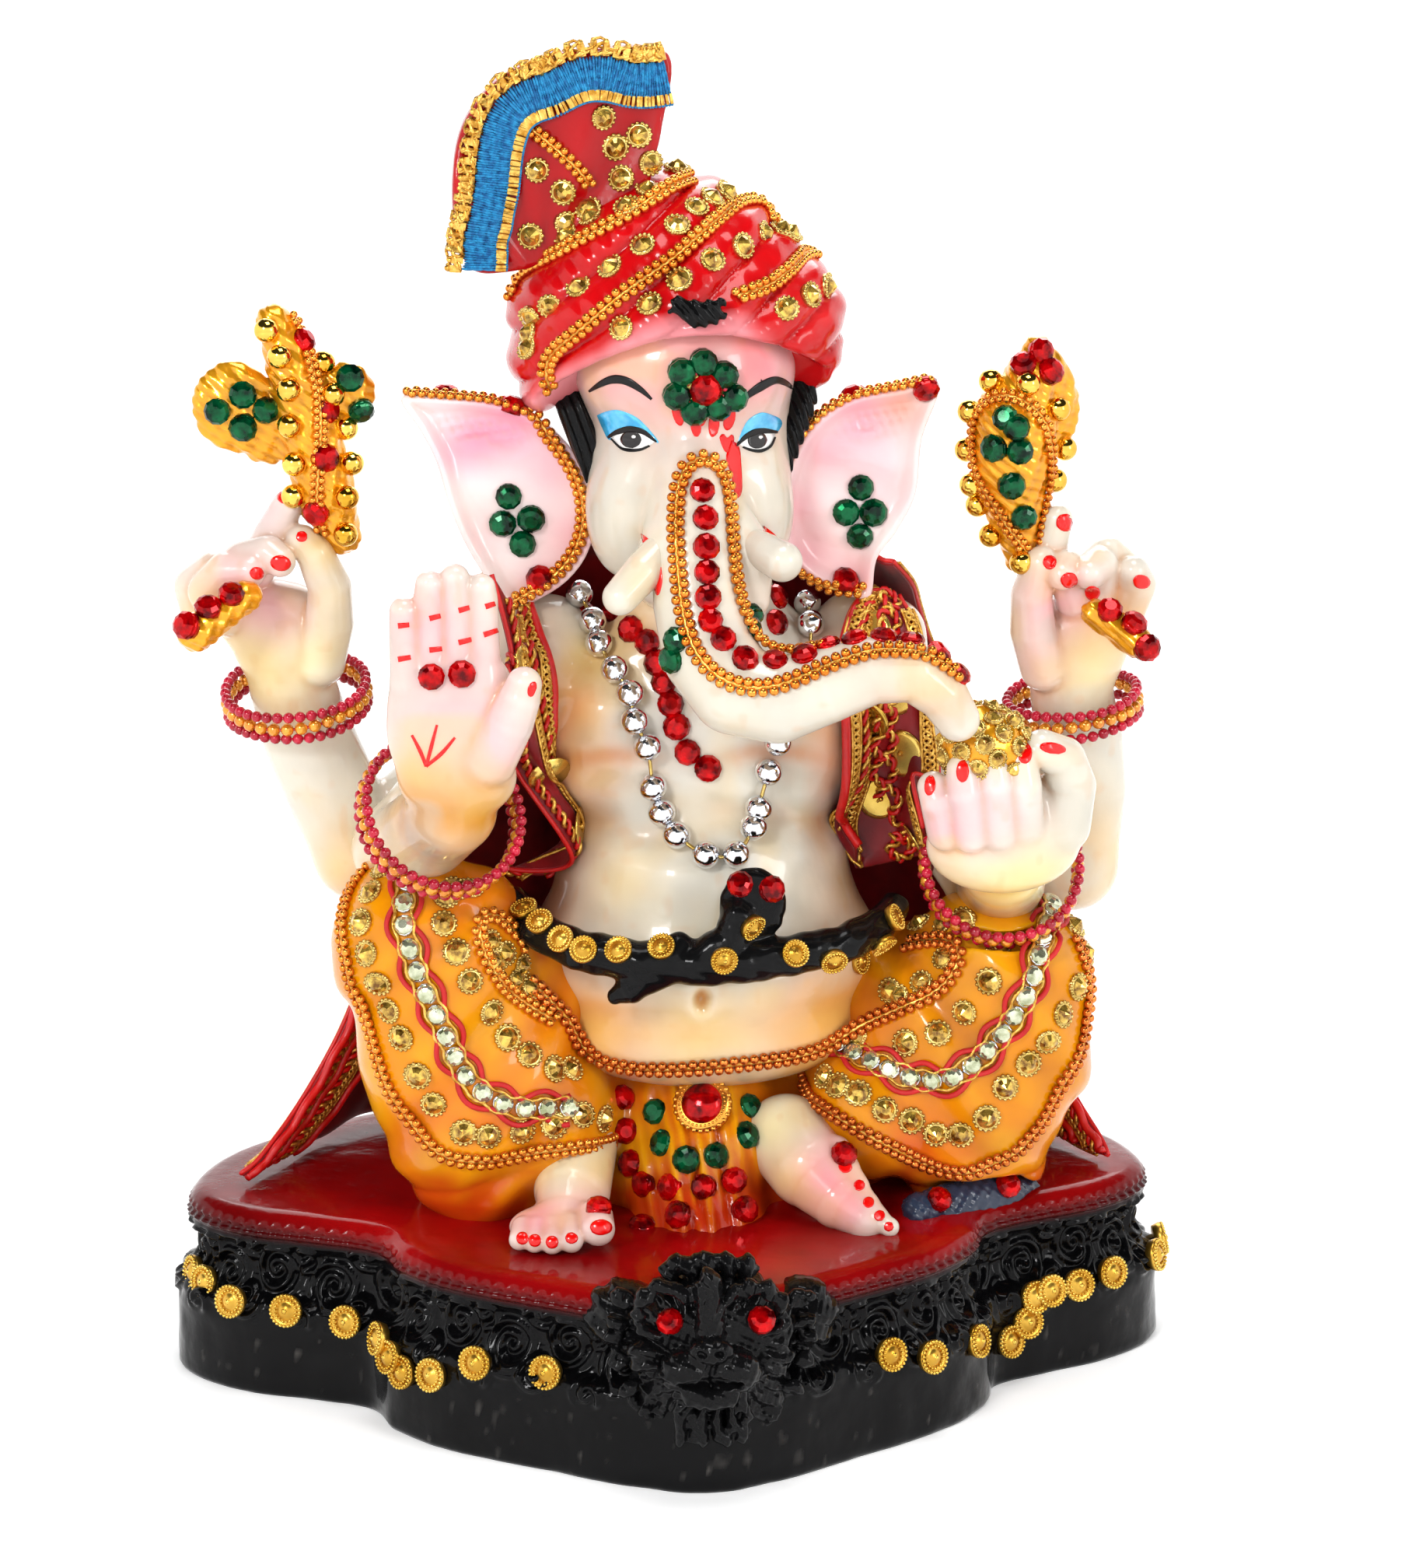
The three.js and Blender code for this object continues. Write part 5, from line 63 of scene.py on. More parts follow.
# the two small paint_white dots inside the irises are painted highlights
DECALS = json.loads(r'''[["poly","paint_blue",[[-17.7,-24.0,215.0],[-16.0,-24.0,215.7],[-13.8,-24.0,216.0],[-11.4,-24.0,215.3],[-9.2,-24.0,214.0],[-7.0,-24.0,211.7],[-5.1,-24.0,209.1],[-6.3,-24.0,209.6],[-8.1,-24.0,211.1],[-11.4,-24.0,212.0],[-13.5,-24.0,211.5],[-15.2,-24.0,209.8],[-16.5,-24.0,212.1]],["head"],0,0.16],["poly","paint_white",[[-15.1,-24.0,210.6],[-13.5,-24.0,211.4],[-11.4,-24.0,211.8],[-9.5,-24.0,211.6],[-8.1,-24.0,211.1],[-6.7,-24.0,210.3],[-5.9,-24.0,209.5],[-7.1,-24.0,208.5],[-9.0,-24.0,207.9],[-11.0,-24.0,207.8],[-12.9,-24.0,208.1],[-14.1,-24.0,209.3]],["head"],0,0.2],["poly","paint_iris",[[-8.6,-24.0,209.8],[-8.8,-24.0,209.2],[-9.1,-24.0,208.7],[-9.7,-24.0,208.3],[-10.4,-24.0,208.0],[-11.2,-24.0,208.1],[-11.9,-24.0,208.3],[-12.4,-24.0,208.7],[-12.8,-24.0,209.3],[-12.9,-24.0,209.9],[-12.8,-24.0,210.5],[-12.4,-24.0,211.1],[-11.9,-24.0,211.5],[-11.2,-24.0,211.7],[-10.4,-24.0,211.7],[-9.7,-24.0,211.5],[-9.1,-24.0,211.0],[-8.8,-24.0,210.5]],["head"],0,0.3],["poly","paint_white",[[-9.7,-24.0,210.5],[-9.8,-24.0,210.4],[-9.8,-24.0,210.3],[-9.9,-24.0,210.2],[-10.1,-24.0,210.2],[-10.2,-24.0,210.2],[-10.4,-24.0,210.2],[-10.5,-24.0,210.3],[-10.5,-24.0,210.4],[-10.6,-24.0,210.5],[-10.5,-24.0,210.6],[-10.5,-24.0,210.7],[-10.4,-24.0,210.8],[-10.2,-24.0,210.9],[-10.1,-24.0,210.8],[-9.9,-24.0,210.8],[-9.8,-24.0,210.7],[-9.8,-24.0,210.6]],["head"],0,0.4],["line","paint_black",[[-15.4,-24.0,210.3],[-13.8,-24.0,211.4],[-11.4,-24.0,212.1],[-9.5,-24.0,211.9],[-7.9,-24.0,211.3],[-5.5,-24.0,209.3]],["head"],[3,7,8,7,5,2],0.34],["line","paint_black",[[-14.8,-24.0,210.1],[-12.9,-24.0,208.1],[-11.0,-24.0,207.6],[-8.9,-24.0,207.7],[-7.0,-24.0,208.5]],["head"],[2,3,4,3,2],0.34],["poly","paint_blue",[[11.0,-24.0,208.8],[11.7,-24.0,210.9],[12.9,-24.0,213.2],[14.4,-24.0,214.4],[16.0,-24.0,215.0],[17.9,-24.0,214.5],[19.5,-24.0,213.7],[20.0,-24.0,212.5],[18.9,-24.0,210.8],[17.3,-24.0,210.8],[14.4,-24.0,210.9],[12.5,-24.0,209.9]],["head"],0,0.16],["poly","paint_white",[[11.0,-24.0,208.5],[12.5,-24.0,209.9],[14.4,-24.0,210.7],[16.6,-24.0,210.8],[18.5,-24.0,210.6],[18.2,-24.0,209.0],[17.1,-24.0,207.8],[15.7,-24.0,207.3],[13.6,-24.0,207.5],[12.0,-24.0,208.0]],["head"],0,0.2],["poly","paint_iris",[[16.9,-24.0,209.2],[16.7,-24.0,208.6],[16.4,-24.0,208.1],[15.9,-24.0,207.7],[15.2,-24.0,207.5],[14.5,-24.0,207.5],[13.9,-24.0,207.7],[13.3,-24.0,208.1],[13.0,-24.0,208.7],[12.9,-24.0,209.3],[13.0,-24.0,209.9],[13.3,-24.0,210.4],[13.9,-24.0,210.8],[14.5,-24.0,211.0],[15.2,-24.0,211.0],[15.9,-24.0,210.8],[16.4,-24.0,210.4],[16.7,-24.0,209.8]],["head"],0,0.3],["poly","paint_white",[[15.9,-24.0,209.9],[15.9,-24.0,209.8],[15.8,-24.0,209.7],[15.7,-24.0,209.6],[15.6,-24.0,209.5],[15.4,-24.0,209.5],[15.3,-24.0,209.6],[15.2,-24.0,209.7],[15.1,-24.0,209.8],[15.1,-24.0,209.9],[15.1,-24.0,210.0],[15.2,-24.0,210.1],[15.3,-24.0,210.2],[15.4,-24.0,210.2],[15.6,-24.0,210.2],[15.7,-24.0,210.2],[15.8,-24.0,210.1],[15.9,-24.0,210.0]],["head"],0,0.4],["line","paint_black",[[10.7,-24.0,208.2],[12.3,-24.0,209.9],[14.4,-24.0,211.0],[16.6,-24.0,211.2],[19.0,-24.0,210.8]],["head"],[2,6,8,7,3],0.34],["line","paint_black",[[12.0,-24.0,207.9],[13.7,-24.0,207.2],[15.8,-24.0,207.0],[17.6,-24.0,207.9],[18.5,-24.0,209.8]],["head"],[2,3,4,3,2],0.34],["line","paint_black",[[-19.3,-24.0,219.9],[-17.1,-24.0,221.3],[-14.5,-24.0,222.3],[-11.7,-24.0,221.9],[-8.8,-24.0,220.1],[-6.6,-24.0,218.1]],["head"],[3,8,11,10,7,3],0.16],["line","paint_black",[[11.5,-24.0,217.0],[13.1,-24.0,218.6],[15.6,-24.0,220.3],[18.5,-24.0,221.6],[20.7,-24.0,221.0],[22.5,-24.0,219.6]],["head"],[3,8,11,10,8,3],0.16],["poly","paint_red",[[-0.2,-24.0,215.3],[-0.0,-24.0,214.4],[-0.0,-24.0,213.6],[-0.2,-24.0,213.0],[-0.4,-24.0,212.6],[-0.8,-24.0,212.5],[-1.2,-24.0,212.7],[-1.7,-24.0,213.2],[-2.0,-24.0,213.9],[-2.3,-24.0,214.7],[-2.5,-24.0,215.6],[-2.5,-24.0,216.4],[-2.3,-24.0,217.0],[-2.0,-24.0,217.4],[-1.7,-24.0,217.5],[-1.2,-24.0,217.3],[-0.8,-24.0,216.8],[-0.4,-24.0,216.1]],["head"],0,0.12],["poly","paint_red",[[3.5,-24.0,212.8],[3.5,-24.0,211.9],[3.4,-24.0,211.1],[3.1,-24.0,210.5],[2.8,-24.0,210.2],[2.4,-24.0,210.2],[2.0,-24.0,210.4],[1.7,-24.0,211.0],[1.4,-24.0,211.8],[1.3,-24.0,212.6],[1.3,-24.0,213.5],[1.4,-24.0,214.3],[1.7,-24.0,214.9],[2.0,-24.0,215.2],[2.4,-24.0,215.2],[2.8,-24.0,214.9],[3.2,-24.0,214.4],[3.4,-24.0,213.6]],["head"],0,0.12],["poly","paint_red",[[7.2,-24.0,212.5],[7.0,-24.0,211.6],[6.8,-24.0,210.9],[6.4,-24.0,210.4],[6.0,-24.0,210.1],[5.6,-24.0,210.1],[5.3,-24.0,210.5],[5.1,-24.0,211.1],[5.0,-24.0,211.9],[5.0,-24.0,212.8],[5.1,-24.0,213.6],[5.4,-24.0,214.4],[5.7,-24.0,214.9],[6.1,-24.0,215.2],[6.5,-24.0,215.1],[6.9,-24.0,214.8],[7.1,-24.0,214.2],[7.2,-24.0,213.4]],["head"],0,0.12],["poly","paint_red",[[10.4,-24.0,213.6],[10.1,-24.0,212.7],[9.7,-24.0,212.0],[9.3,-24.0,211.6],[8.8,-24.0,211.4],[8.5,-24.0,211.5],[8.2,-24.0,211.9],[8.0,-24.0,212.5],[8.0,-24.0,213.3],[8.2,-24.0,214.2],[8.5,-24.0,215.0],[8.8,-24.0,215.7],[9.3,-24.0,216.2],[9.7,-24.0,216.3],[10.1,-24.0,216.2],[10.3,-24.0,215.9],[10.5,-24.0,215.2],[10.5,-24.0,214.4]],["head"],0,0.12],["poly","paint_red",[[4.7,-24.0,214.9],[4.6,-24.0,214.0],[4.4,-24.0,213.3],[4.1,-24.0,212.7],[3.8,-24.0,212.4],[3.4,-24.0,212.4],[3.0,-24.0,212.7],[2.7,-24.0,213.3],[2.5,-24.0,214.0],[2.4,-24.0,214.9],[2.5,-24.0,215.8],[2.6,-24.0,216.6],[2.9,-24.0,217.1],[3.3,-24.0,217.4],[3.7,-24.0,217.4],[4.0,-24.0,217.1],[4.4,-24.0,216.6],[4.6,-24.0,215.8]],["head"],0,0.12],["poly","paint_red",[[7.2,-24.0,210.0],[8.0,-24.0,210.8],[8.8,-24.0,209.8],[9.8,-24.0,210.6],[10.2,-24.0,209.3],[9.3,-24.0,207.4],[8.6,-24.0,206.8],[7.8,-24.0,208.1]],["head"],0,0.16],["poly","paint_red",[[9.6,-24.0,209.4],[11.2,-24.0,208.0],[11.7,-24.0,203.8],[11.8,-24.0,198.7],[10.6,-24.0,197.4],[9.6,-24.0,202.3],[8.6,-24.0,205.8]],["head"],0,0.16],["poly","paint_red",[[-8.8,-24.0,190.3],[-7.2,-24.0,189.0],[-5.4,-24.0,186.0],[-4.5,-24.0,180.6],[-5.5,-24.0,177.2],[-6.7,-24.0,181.1],[-8.0,-24.0,186.1]],["head"],0,0.16],["poly","paint_red",[[16.5,-24.0,191.4],[19.1,-24.0,189.1],[19.3,-24.0,187.0],[17.3,-24.0,184.6],[16.1,-24.0,182.0],[15.7,-24.0,186.6]],["head"],0,0.16],["line","paint_red",[[-59.3,-40.0,175.6],[-57.1,-40.0,175.8]],["front_arm_right"],[7,6],0.16],["line","paint_red",[[-53.0,-40.0,177.0],[-50.8,-40.0,177.5]],["front_arm_right"],[7,6],0.16],["line","paint_red",[[-47.1,-40.0,178.5],[-44.9,-40.0,179.1]],["front_arm_right"],[7,6],0.16],["line","paint_red",[[-41.7,-40.0,179.2],[-39.8,-40.0,179.8]],["front_arm_right"],[7,6],0.16],["line","paint_red",[[-59.4,-40.0,168.7],[-56.9,-40.0,169.1]],["front_arm_right"],[7,6],0.16],["line","paint_red",[[-53.1,-40.0,170.5],[-50.6,-40.0,170.7]],["front_arm_right"],[7,6],0.16],["line","paint_red",[[-47.2,-40.0,171.9],[-44.6,-40.0,172.5]],["front_arm_right"],[7,6],0.16],["line","paint_red",[[-42.1,-40.0,173.4],[-39.3,-40.0,174.3]],["front_arm_right"],[7,6],0.16],["line","paint_red",[[-56.9,-40.0,152.9],[-55.3,-40.0,149.6],[-54.1,-40.0,146.3]],["front_arm_right"],[3,5,4],0.16],["line","paint_red",[[-51.8,-40.0,154.9],[-52.8,-40.0,151.2],[-54.1,-40.0,146.3]],["front_arm_right"],[3,5,4],0.16],["line","paint_red",[[-48.2,-40.0,152.2],[-50.9,-40.0,149.0],[-54.1,-40.0,146.3]],["front_arm_right"],[3,5,4],0.16],["poly","paint_red",[[-31.9,-42.0,162.1],[-32.1,-42.0,161.6],[-32.3,-42.0,161.2],[-32.6,-42.0,160.9],[-32.9,-42.0,160.8],[-33.2,-42.0,160.9],[-33.4,-42.0,161.2],[-33.5,-42.0,161.6],[-33.5,-42.0,162.1],[-33.4,-42.0,162.7],[-33.1,-42.0,163.2],[-32.9,-42.0,163.6],[-32.6,-42.0,163.9],[-32.3,-42.0,163.9],[-32.0,-42.0,163.9],[-31.8,-42.0,163.6],[-31.7,-42.0,163.2],[-31.7,-42.0,162.7]],["front_arm_right"],0,0.16],["poly","paint_red",[[-86.1,0.0,178.2],[-86.3,0.0,177.7],[-86.6,0.0,177.4],[-87.1,0.0,177.2],[-87.6,0.0,177.2],[-88.1,0.0,177.3],[-88.5,0.0,177.5],[-88.8,0.0,177.9],[-89.0,0.0,178.4],[-89.0,0.0,178.8],[-88.8,0.0,179.2],[-88.4,0.0,179.6],[-88.0,0.0,179.8],[-87.5,0.0,179.8],[-87.0,0.0,179.7],[-86.6,0.0,179.5],[-86.3,0.0,179.1],[-86.1,0.0,178.6]],["rear_arm_right"],0,0.16],["poly","paint_red",[[-80.4,0.0,180.3],[-80.6,0.0,179.7],[-81.0,0.0,179.3],[-81.6,0.0,179.0],[-82.3,0.0,178.9],[-83.0,0.0,179.0],[-83.7,0.0,179.3],[-84.2,0.0,179.7],[-84.5,0.0,180.2],[-84.6,0.0,180.8],[-84.4,0.0,181.4],[-84.0,0.0,181.8],[-83.4,0.0,182.1],[-82.6,0.0,182.2],[-81.9,0.0,182.1],[-81.3,0.0,181.8],[-80.8,0.0,181.4],[-80.5,0.0,180.9]],["rear_arm_right"],0,0.16],["poly","paint_red",[[-76.9,0.0,186.1],[-76.9,0.0,185.7],[-77.1,0.0,185.3],[-77.4,0.0,185.1],[-77.8,0.0,185.0],[-78.2,0.0,185.0],[-78.6,0.0,185.1],[-78.9,0.0,185.4],[-79.1,0.0,185.7],[-79.1,0.0,186.1],[-79.0,0.0,186.5],[-78.8,0.0,186.9],[-78.5,0.0,187.1],[-78.2,0.0,187.2],[-77.8,0.0,187.2],[-77.4,0.0,187.1],[-77.1,0.0,186.8],[-76.9,0.0,186.5]],["rear_arm_right"],0,0.16],["poly","paint_red",[[-80.0,0.0,193.9],[-80.2,0.0,193.5],[-80.6,0.0,193.3],[-81.0,0.0,193.1],[-81.5,0.0,193.1],[-82.0,0.0,193.3],[-82.4,0.0,193.6],[-82.7,0.0,194.0],[-82.8,0.0,194.4],[-82.7,0.0,194.9],[-82.5,0.0,195.3],[-82.1,0.0,195.6],[-81.7,0.0,195.7],[-81.2,0.0,195.7],[-80.7,0.0,195.6],[-80.3,0.0,195.3],[-80.0,0.0,194.9],[-79.9,0.0,194.4]],["rear_arm_right"],0,0.16],["poly","paint_red",[[85.3,0.0,185.9],[85.2,0.0,185.3],[84.8,0.0,184.7],[84.3,0.0,184.3],[83.7,0.0,184.1],[83.0,0.0,184.1],[82.3,0.0,184.4],[81.8,0.0,184.8],[81.4,0.0,185.3],[81.3,0.0,186.0],[81.4,0.0,186.6],[81.7,0.0,187.2],[82.2,0.0,187.6],[82.9,0.0,187.8],[83.6,0.0,187.8],[84.2,0.0,187.5],[84.8,0.0,187.1],[85.1,0.0,186.5]],["rear_arm_left"],0,0.16],["poly","paint_red",[[81.6,0.0,177.4],[81.5,0.0,176.9],[81.3,0.0,176.4],[80.9,0.0,176.1],[80.4,0.0,175.9],[79.9,0.0,175.9],[79.4,0.0,176.1],[79.0,0.0,176.5],[78.7,0.0,176.9],[78.6,0.0,177.5],[78.7,0.0,178.0],[78.9,0.0,178.4],[79.3,0.0,178.8],[79.8,0.0,178.9],[80.3,0.0,178.9],[80.8,0.0,178.7],[81.2,0.0,178.4],[81.5,0.0,177.9]],["rear_arm_left"],0,0.16],["poly","paint_red",[[86.2,0.0,173.0],[86.0,0.0,172.5],[85.5,0.0,172.1],[85.0,0.0,171.8],[84.4,0.0,171.8],[83.7,0.0,171.9],[83.2,0.0,172.2],[82.8,0.0,172.7],[82.5,0.0,173.3],[82.5,0.0,173.9],[82.8,0.0,174.4],[83.2,0.0,174.8],[83.7,0.0,175.1],[84.3,0.0,175.1],[85.0,0.0,175.0],[85.5,0.0,174.7],[85.9,0.0,174.2],[86.2,0.0,173.6]],["rear_arm_left"],0,0.16],["poly","paint_red",[[91.1,0.0,170.6],[91.0,0.0,170.1],[90.7,0.0,169.6],[90.3,0.0,169.3],[89.8,0.0,169.1],[89.2,0.0,169.1],[88.6,0.0,169.3],[88.2,0.0,169.7],[87.9,0.0,170.2],[87.8,0.0,170.7],[87.8,0.0,171.2],[88.1,0.0,171.6],[88.6,0.0,172.0],[89.1,0.0,172.1],[89.7,0.0,172.1],[90.2,0.0,171.9],[90.7,0.0,171.6],[91.0,0.0,171.1]],["rear_arm_left"],0,0.16],["poly","paint_red",[[101.8,0.0,172.4],[101.6,0.0,171.9],[101.2,0.0,171.5],[100.6,0.0,171.3],[100.0,0.0,171.3],[99.4,0.0,171.4],[98.8,0.0,171.7],[98.4,0.0,172.1],[98.2,0.0,172.7],[98.1,0.0,173.2],[98.3,0.0,173.7],[98.7,0.0,174.1],[99.3,0.0,174.3],[99.9,0.0,174.3],[100.5,0.0,174.2],[101.1,0.0,173.9],[101.5,0.0,173.4],[101.8,0.0,172.9]],["rear_arm_left"],0,0.16],["poly","paint_red",[[50.0,-42.0,140.0],[49.9,-42.0,139.3],[49.6,-42.0,138.7],[49.3,-42.0,138.3],[48.9,-42.0,138.1],[48.5,-42.0,138.1],[48.2,-42.0,138.4],[47.9,-42.0,138.9],[47.8,-42.0,139.6],[47.8,-42.0,140.3],[47.9,-42.0,141.1],[48.1,-42.0,141.7],[48.5,-42.0,142.1],[48.9,-42.0,142.3],[49.2,-42.0,142.3],[49.6,-42.0,142.0],[49.8,-42.0,141.5],[50.0,-42.0,140.8]],["front_arm_left"],0,0.16],["poly","paint_red",[[56.9,-42.0,143.0],[56.8,-42.0,142.2],[56.6,-42.0,141.5],[56.3,-42.0,141.0],[55.8,-42.0,140.7],[55.4,-42.0,140.7],[55.0,-42.0,141.0],[54.6,-42.0,141.5],[54.4,-42.0,142.2],[54.3,-42.0,143.0],[54.4,-42.0,143.8],[54.6,-42.0,144.5],[54.9,-42.0,145.0],[55.3,-42.0,145.3],[55.8,-42.0,145.3],[56.2,-42.0,145.0],[56.6,-42.0,144.4],[56.8,-42.0,143.7]],["front_arm_left"],0,0.16],["poly","paint_red",[[63.3,-42.0,147.1],[63.2,-42.0,146.5],[62.9,-42.0,145.9],[62.6,-42.0,145.5],[62.1,-42.0,145.3],[61.6,-42.0,145.3],[61.1,-42.0,145.6],[60.7,-42.0,146.0],[60.5,-42.0,146.5],[60.4,-42.0,147.1],[60.4,-42.0,147.8],[60.7,-42.0,148.3],[61.1,-42.0,148.7],[61.5,-42.0,148.9],[62.0,-42.0,148.9],[62.5,-42.0,148.7],[62.9,-42.0,148.2],[63.2,-42.0,147.7]],["front_arm_left"],0,0.16],["poly","paint_red",[[69.9,-42.0,146.6],[69.8,-42.0,145.8],[69.6,-42.0,145.1],[69.2,-42.0,144.6],[68.7,-42.0,144.3],[68.2,-42.0,144.4],[67.7,-42.0,144.6],[67.3,-42.0,145.2],[67.1,-42.0,145.9],[67.0,-42.0,146.7],[67.0,-42.0,147.4],[67.3,-42.0,148.1],[67.7,-42.0,148.6],[68.1,-42.0,148.9],[68.6,-42.0,148.9],[69.1,-42.0,148.6],[69.5,-42.0,148.1],[69.8,-42.0,147.4]],["front_arm_left"],0,0.16],["poly","paint_red",[[76.9,-42.0,147.0],[76.7,-42.0,146.6],[76.2,-42.0,146.4],[75.4,-42.0,146.2],[74.5,-42.0,146.3],[73.6,-42.0,146.4],[72.7,-42.0,146.7],[72.0,-42.0,147.1],[71.6,-42.0,147.5],[71.5,-42.0,148.0],[71.7,-42.0,148.3],[72.2,-42.0,148.6],[73.0,-42.0,148.7],[73.9,-42.0,148.7],[74.8,-42.0,148.5],[75.7,-42.0,148.2],[76.4,-42.0,147.8],[76.8,-42.0,147.4]],["front_arm_left"],0,0.16],["poly","paint_red",[[-34.2,-38.0,43.2],[-34.3,-38.0,42.7],[-34.5,-38.0,42.3],[-34.9,-38.0,42.0],[-35.3,-38.0,41.9],[-35.7,-38.0,41.9],[-36.2,-38.0,42.1],[-36.5,-38.0,42.4],[-36.7,-38.0,42.8],[-36.8,-38.0,43.3],[-36.7,-38.0,43.8],[-36.5,-38.0,44.2],[-36.1,-38.0,44.5],[-35.7,-38.0,44.6],[-35.3,-38.0,44.6],[-34.8,-38.0,44.4],[-34.5,-38.0,44.1],[-34.3,-38.0,43.7]],["foot_right"],0,0.16],["poly","paint_red",[[-31.6,-38.0,42.6],[-31.7,-38.0,42.1],[-31.9,-38.0,41.7],[-32.3,-38.0,41.4],[-32.7,-38.0,41.3],[-33.1,-38.0,41.3],[-33.6,-38.0,41.5],[-33.9,-38.0,41.8],[-34.1,-38.0,42.2],[-34.2,-38.0,42.7],[-34.1,-38.0,43.2],[-33.9,-38.0,43.6],[-33.5,-38.0,43.9],[-33.1,-38.0,44.0],[-32.7,-38.0,44.0],[-32.2,-38.0,43.8],[-31.9,-38.0,43.5],[-31.7,-38.0,43.1]],["foot_right"],0,0.16],["poly","paint_red",[[-28.0,-38.0,42.1],[-28.1,-38.0,41.7],[-28.3,-38.0,41.2],[-28.7,-38.0,40.9],[-29.1,-38.0,40.8],[-29.5,-38.0,40.8],[-30.0,-38.0,41.0],[-30.3,-38.0,41.3],[-30.5,-38.0,41.7],[-30.6,-38.0,42.2],[-30.5,-38.0,42.7],[-30.3,-38.0,43.1],[-29.9,-38.0,43.4],[-29.5,-38.0,43.5],[-29.1,-38.0,43.5],[-28.6,-38.0,43.3],[-28.3,-38.0,43.0],[-28.1,-38.0,42.6]],["foot_right"],0,0.16],["poly","paint_red",[[-23.9,-38.0,42.8],[-24.0,-38.0,42.4],[-24.2,-38.0,42.1],[-24.6,-38.0,41.8],[-25.0,-38.0,41.7],[-25.5,-38.0,41.7],[-25.9,-38.0,41.9],[-26.2,-38.0,42.1],[-26.4,-38.0,42.5],[-26.5,-38.0,42.9],[-26.4,-38.0,43.3],[-26.2,-38.0,43.7],[-25.9,-38.0,44.0],[-25.4,-38.0,44.1],[-25.0,-38.0,44.1],[-24.6,-38.0,43.9],[-24.2,-38.0,43.6],[-24.0,-38.0,43.3]],["foot_right"],0,0.16],["poly","paint_red",[[-16.7,-38.0,45.0],[-16.8,-38.0,44.4],[-17.2,-38.0,43.9],[-17.9,-38.0,43.6],[-18.6,-38.0,43.4],[-19.4,-38.0,43.4],[-20.1,-38.0,43.6],[-20.8,-38.0,44.0],[-21.1,-38.0,44.6],[-21.3,-38.0,45.2],[-21.1,-38.0,45.8],[-20.7,-38.0,46.3],[-20.1,-38.0,46.6],[-19.4,-38.0,46.8],[-18.6,-38.0,46.8],[-17.8,-38.0,46.5],[-17.2,-38.0,46.1],[-16.8,-38.0,45.6]],["foot_right"],0,0.16],["poly","paint_red",[[34.8,-30.0,53.1],[34.5,-30.0,52.8],[34.1,-30.0,52.6],[33.6,-30.0,52.5],[33.1,-30.0,52.6],[32.7,-30.0,52.9],[32.3,-30.0,53.3],[32.1,-30.0,53.8],[32.1,-30.0,54.3],[32.2,-30.0,54.7],[32.5,-30.0,55.1],[32.9,-30.0,55.3],[33.4,-30.0,55.4],[33.9,-30.0,55.3],[34.4,-30.0,55.0],[34.7,-30.0,54.6],[34.9,-30.0,54.1],[35.0,-30.0,53.6]],["foot_left"],0,0.16],["poly","paint_red",[[37.6,-30.0,49.0],[37.3,-30.0,48.7],[37.0,-30.0,48.5],[36.6,-30.0,48.4],[36.2,-30.0,48.5],[35.8,-30.0,48.7],[35.6,-30.0,49.1],[35.4,-30.0,49.5],[35.4,-30.0,49.9],[35.5,-30.0,50.3],[35.8,-30.0,50.6],[36.1,-30.0,50.8],[36.5,-30.0,50.9],[36.9,-30.0,50.8],[37.3,-30.0,50.6],[37.5,-30.0,50.3],[37.7,-30.0,49.9],[37.7,-30.0,49.4]],["foot_left"],0,0.16],["poly","paint_red",[[39.6,-30.0,45.1],[39.4,-30.0,44.8],[39.0,-30.0,44.6],[38.6,-30.0,44.5],[38.2,-30.0,44.6],[37.9,-30.0,44.8],[37.6,-30.0,45.1],[37.4,-30.0,45.5],[37.4,-30.0,46.0],[37.5,-30.0,46.4],[37.8,-30.0,46.7],[38.1,-30.0,46.9],[38.5,-30.0,47.0],[38.9,-30.0,46.9],[39.3,-30.0,46.7],[39.6,-30.0,46.3],[39.7,-30.0,45.9],[39.7,-30.0,45.5]],["foot_left"],0,0.16],["poly","paint_red",[[42.0,-30.0,42.1],[41.7,-30.0,41.7],[41.4,-30.0,41.5],[41.0,-30.0,41.5],[40.6,-30.0,41.5],[40.2,-30.0,41.7],[39.9,-30.0,42.1],[39.8,-30.0,42.5],[39.8,-30.0,42.9],[39.9,-30.0,43.3],[40.2,-30.0,43.6],[40.5,-30.0,43.8],[40.9,-30.0,43.9],[41.3,-30.0,43.8],[41.7,-30.0,43.6],[41.9,-30.0,43.3],[42.1,-30.0,42.9],[42.1,-30.0,42.5]],["foot_left"],0,0.16],["poly","paint_red",[[43.8,-30.0,39.6],[43.6,-30.0,39.3],[43.3,-30.0,39.2],[43.0,-30.0,39.1],[42.7,-30.0,39.2],[42.3,-30.0,39.4],[42.1,-30.0,39.6],[42.0,-30.0,40.0],[42.0,-30.0,40.3],[42.1,-30.0,40.7],[42.3,-30.0,41.0],[42.6,-30.0,41.1],[42.9,-30.0,41.2],[43.3,-30.0,41.1],[43.6,-30.0,41.0],[43.8,-30.0,40.7],[43.9,-30.0,40.3],[44.0,-30.0,40.0]],["foot_left"],0,0.16]]''')
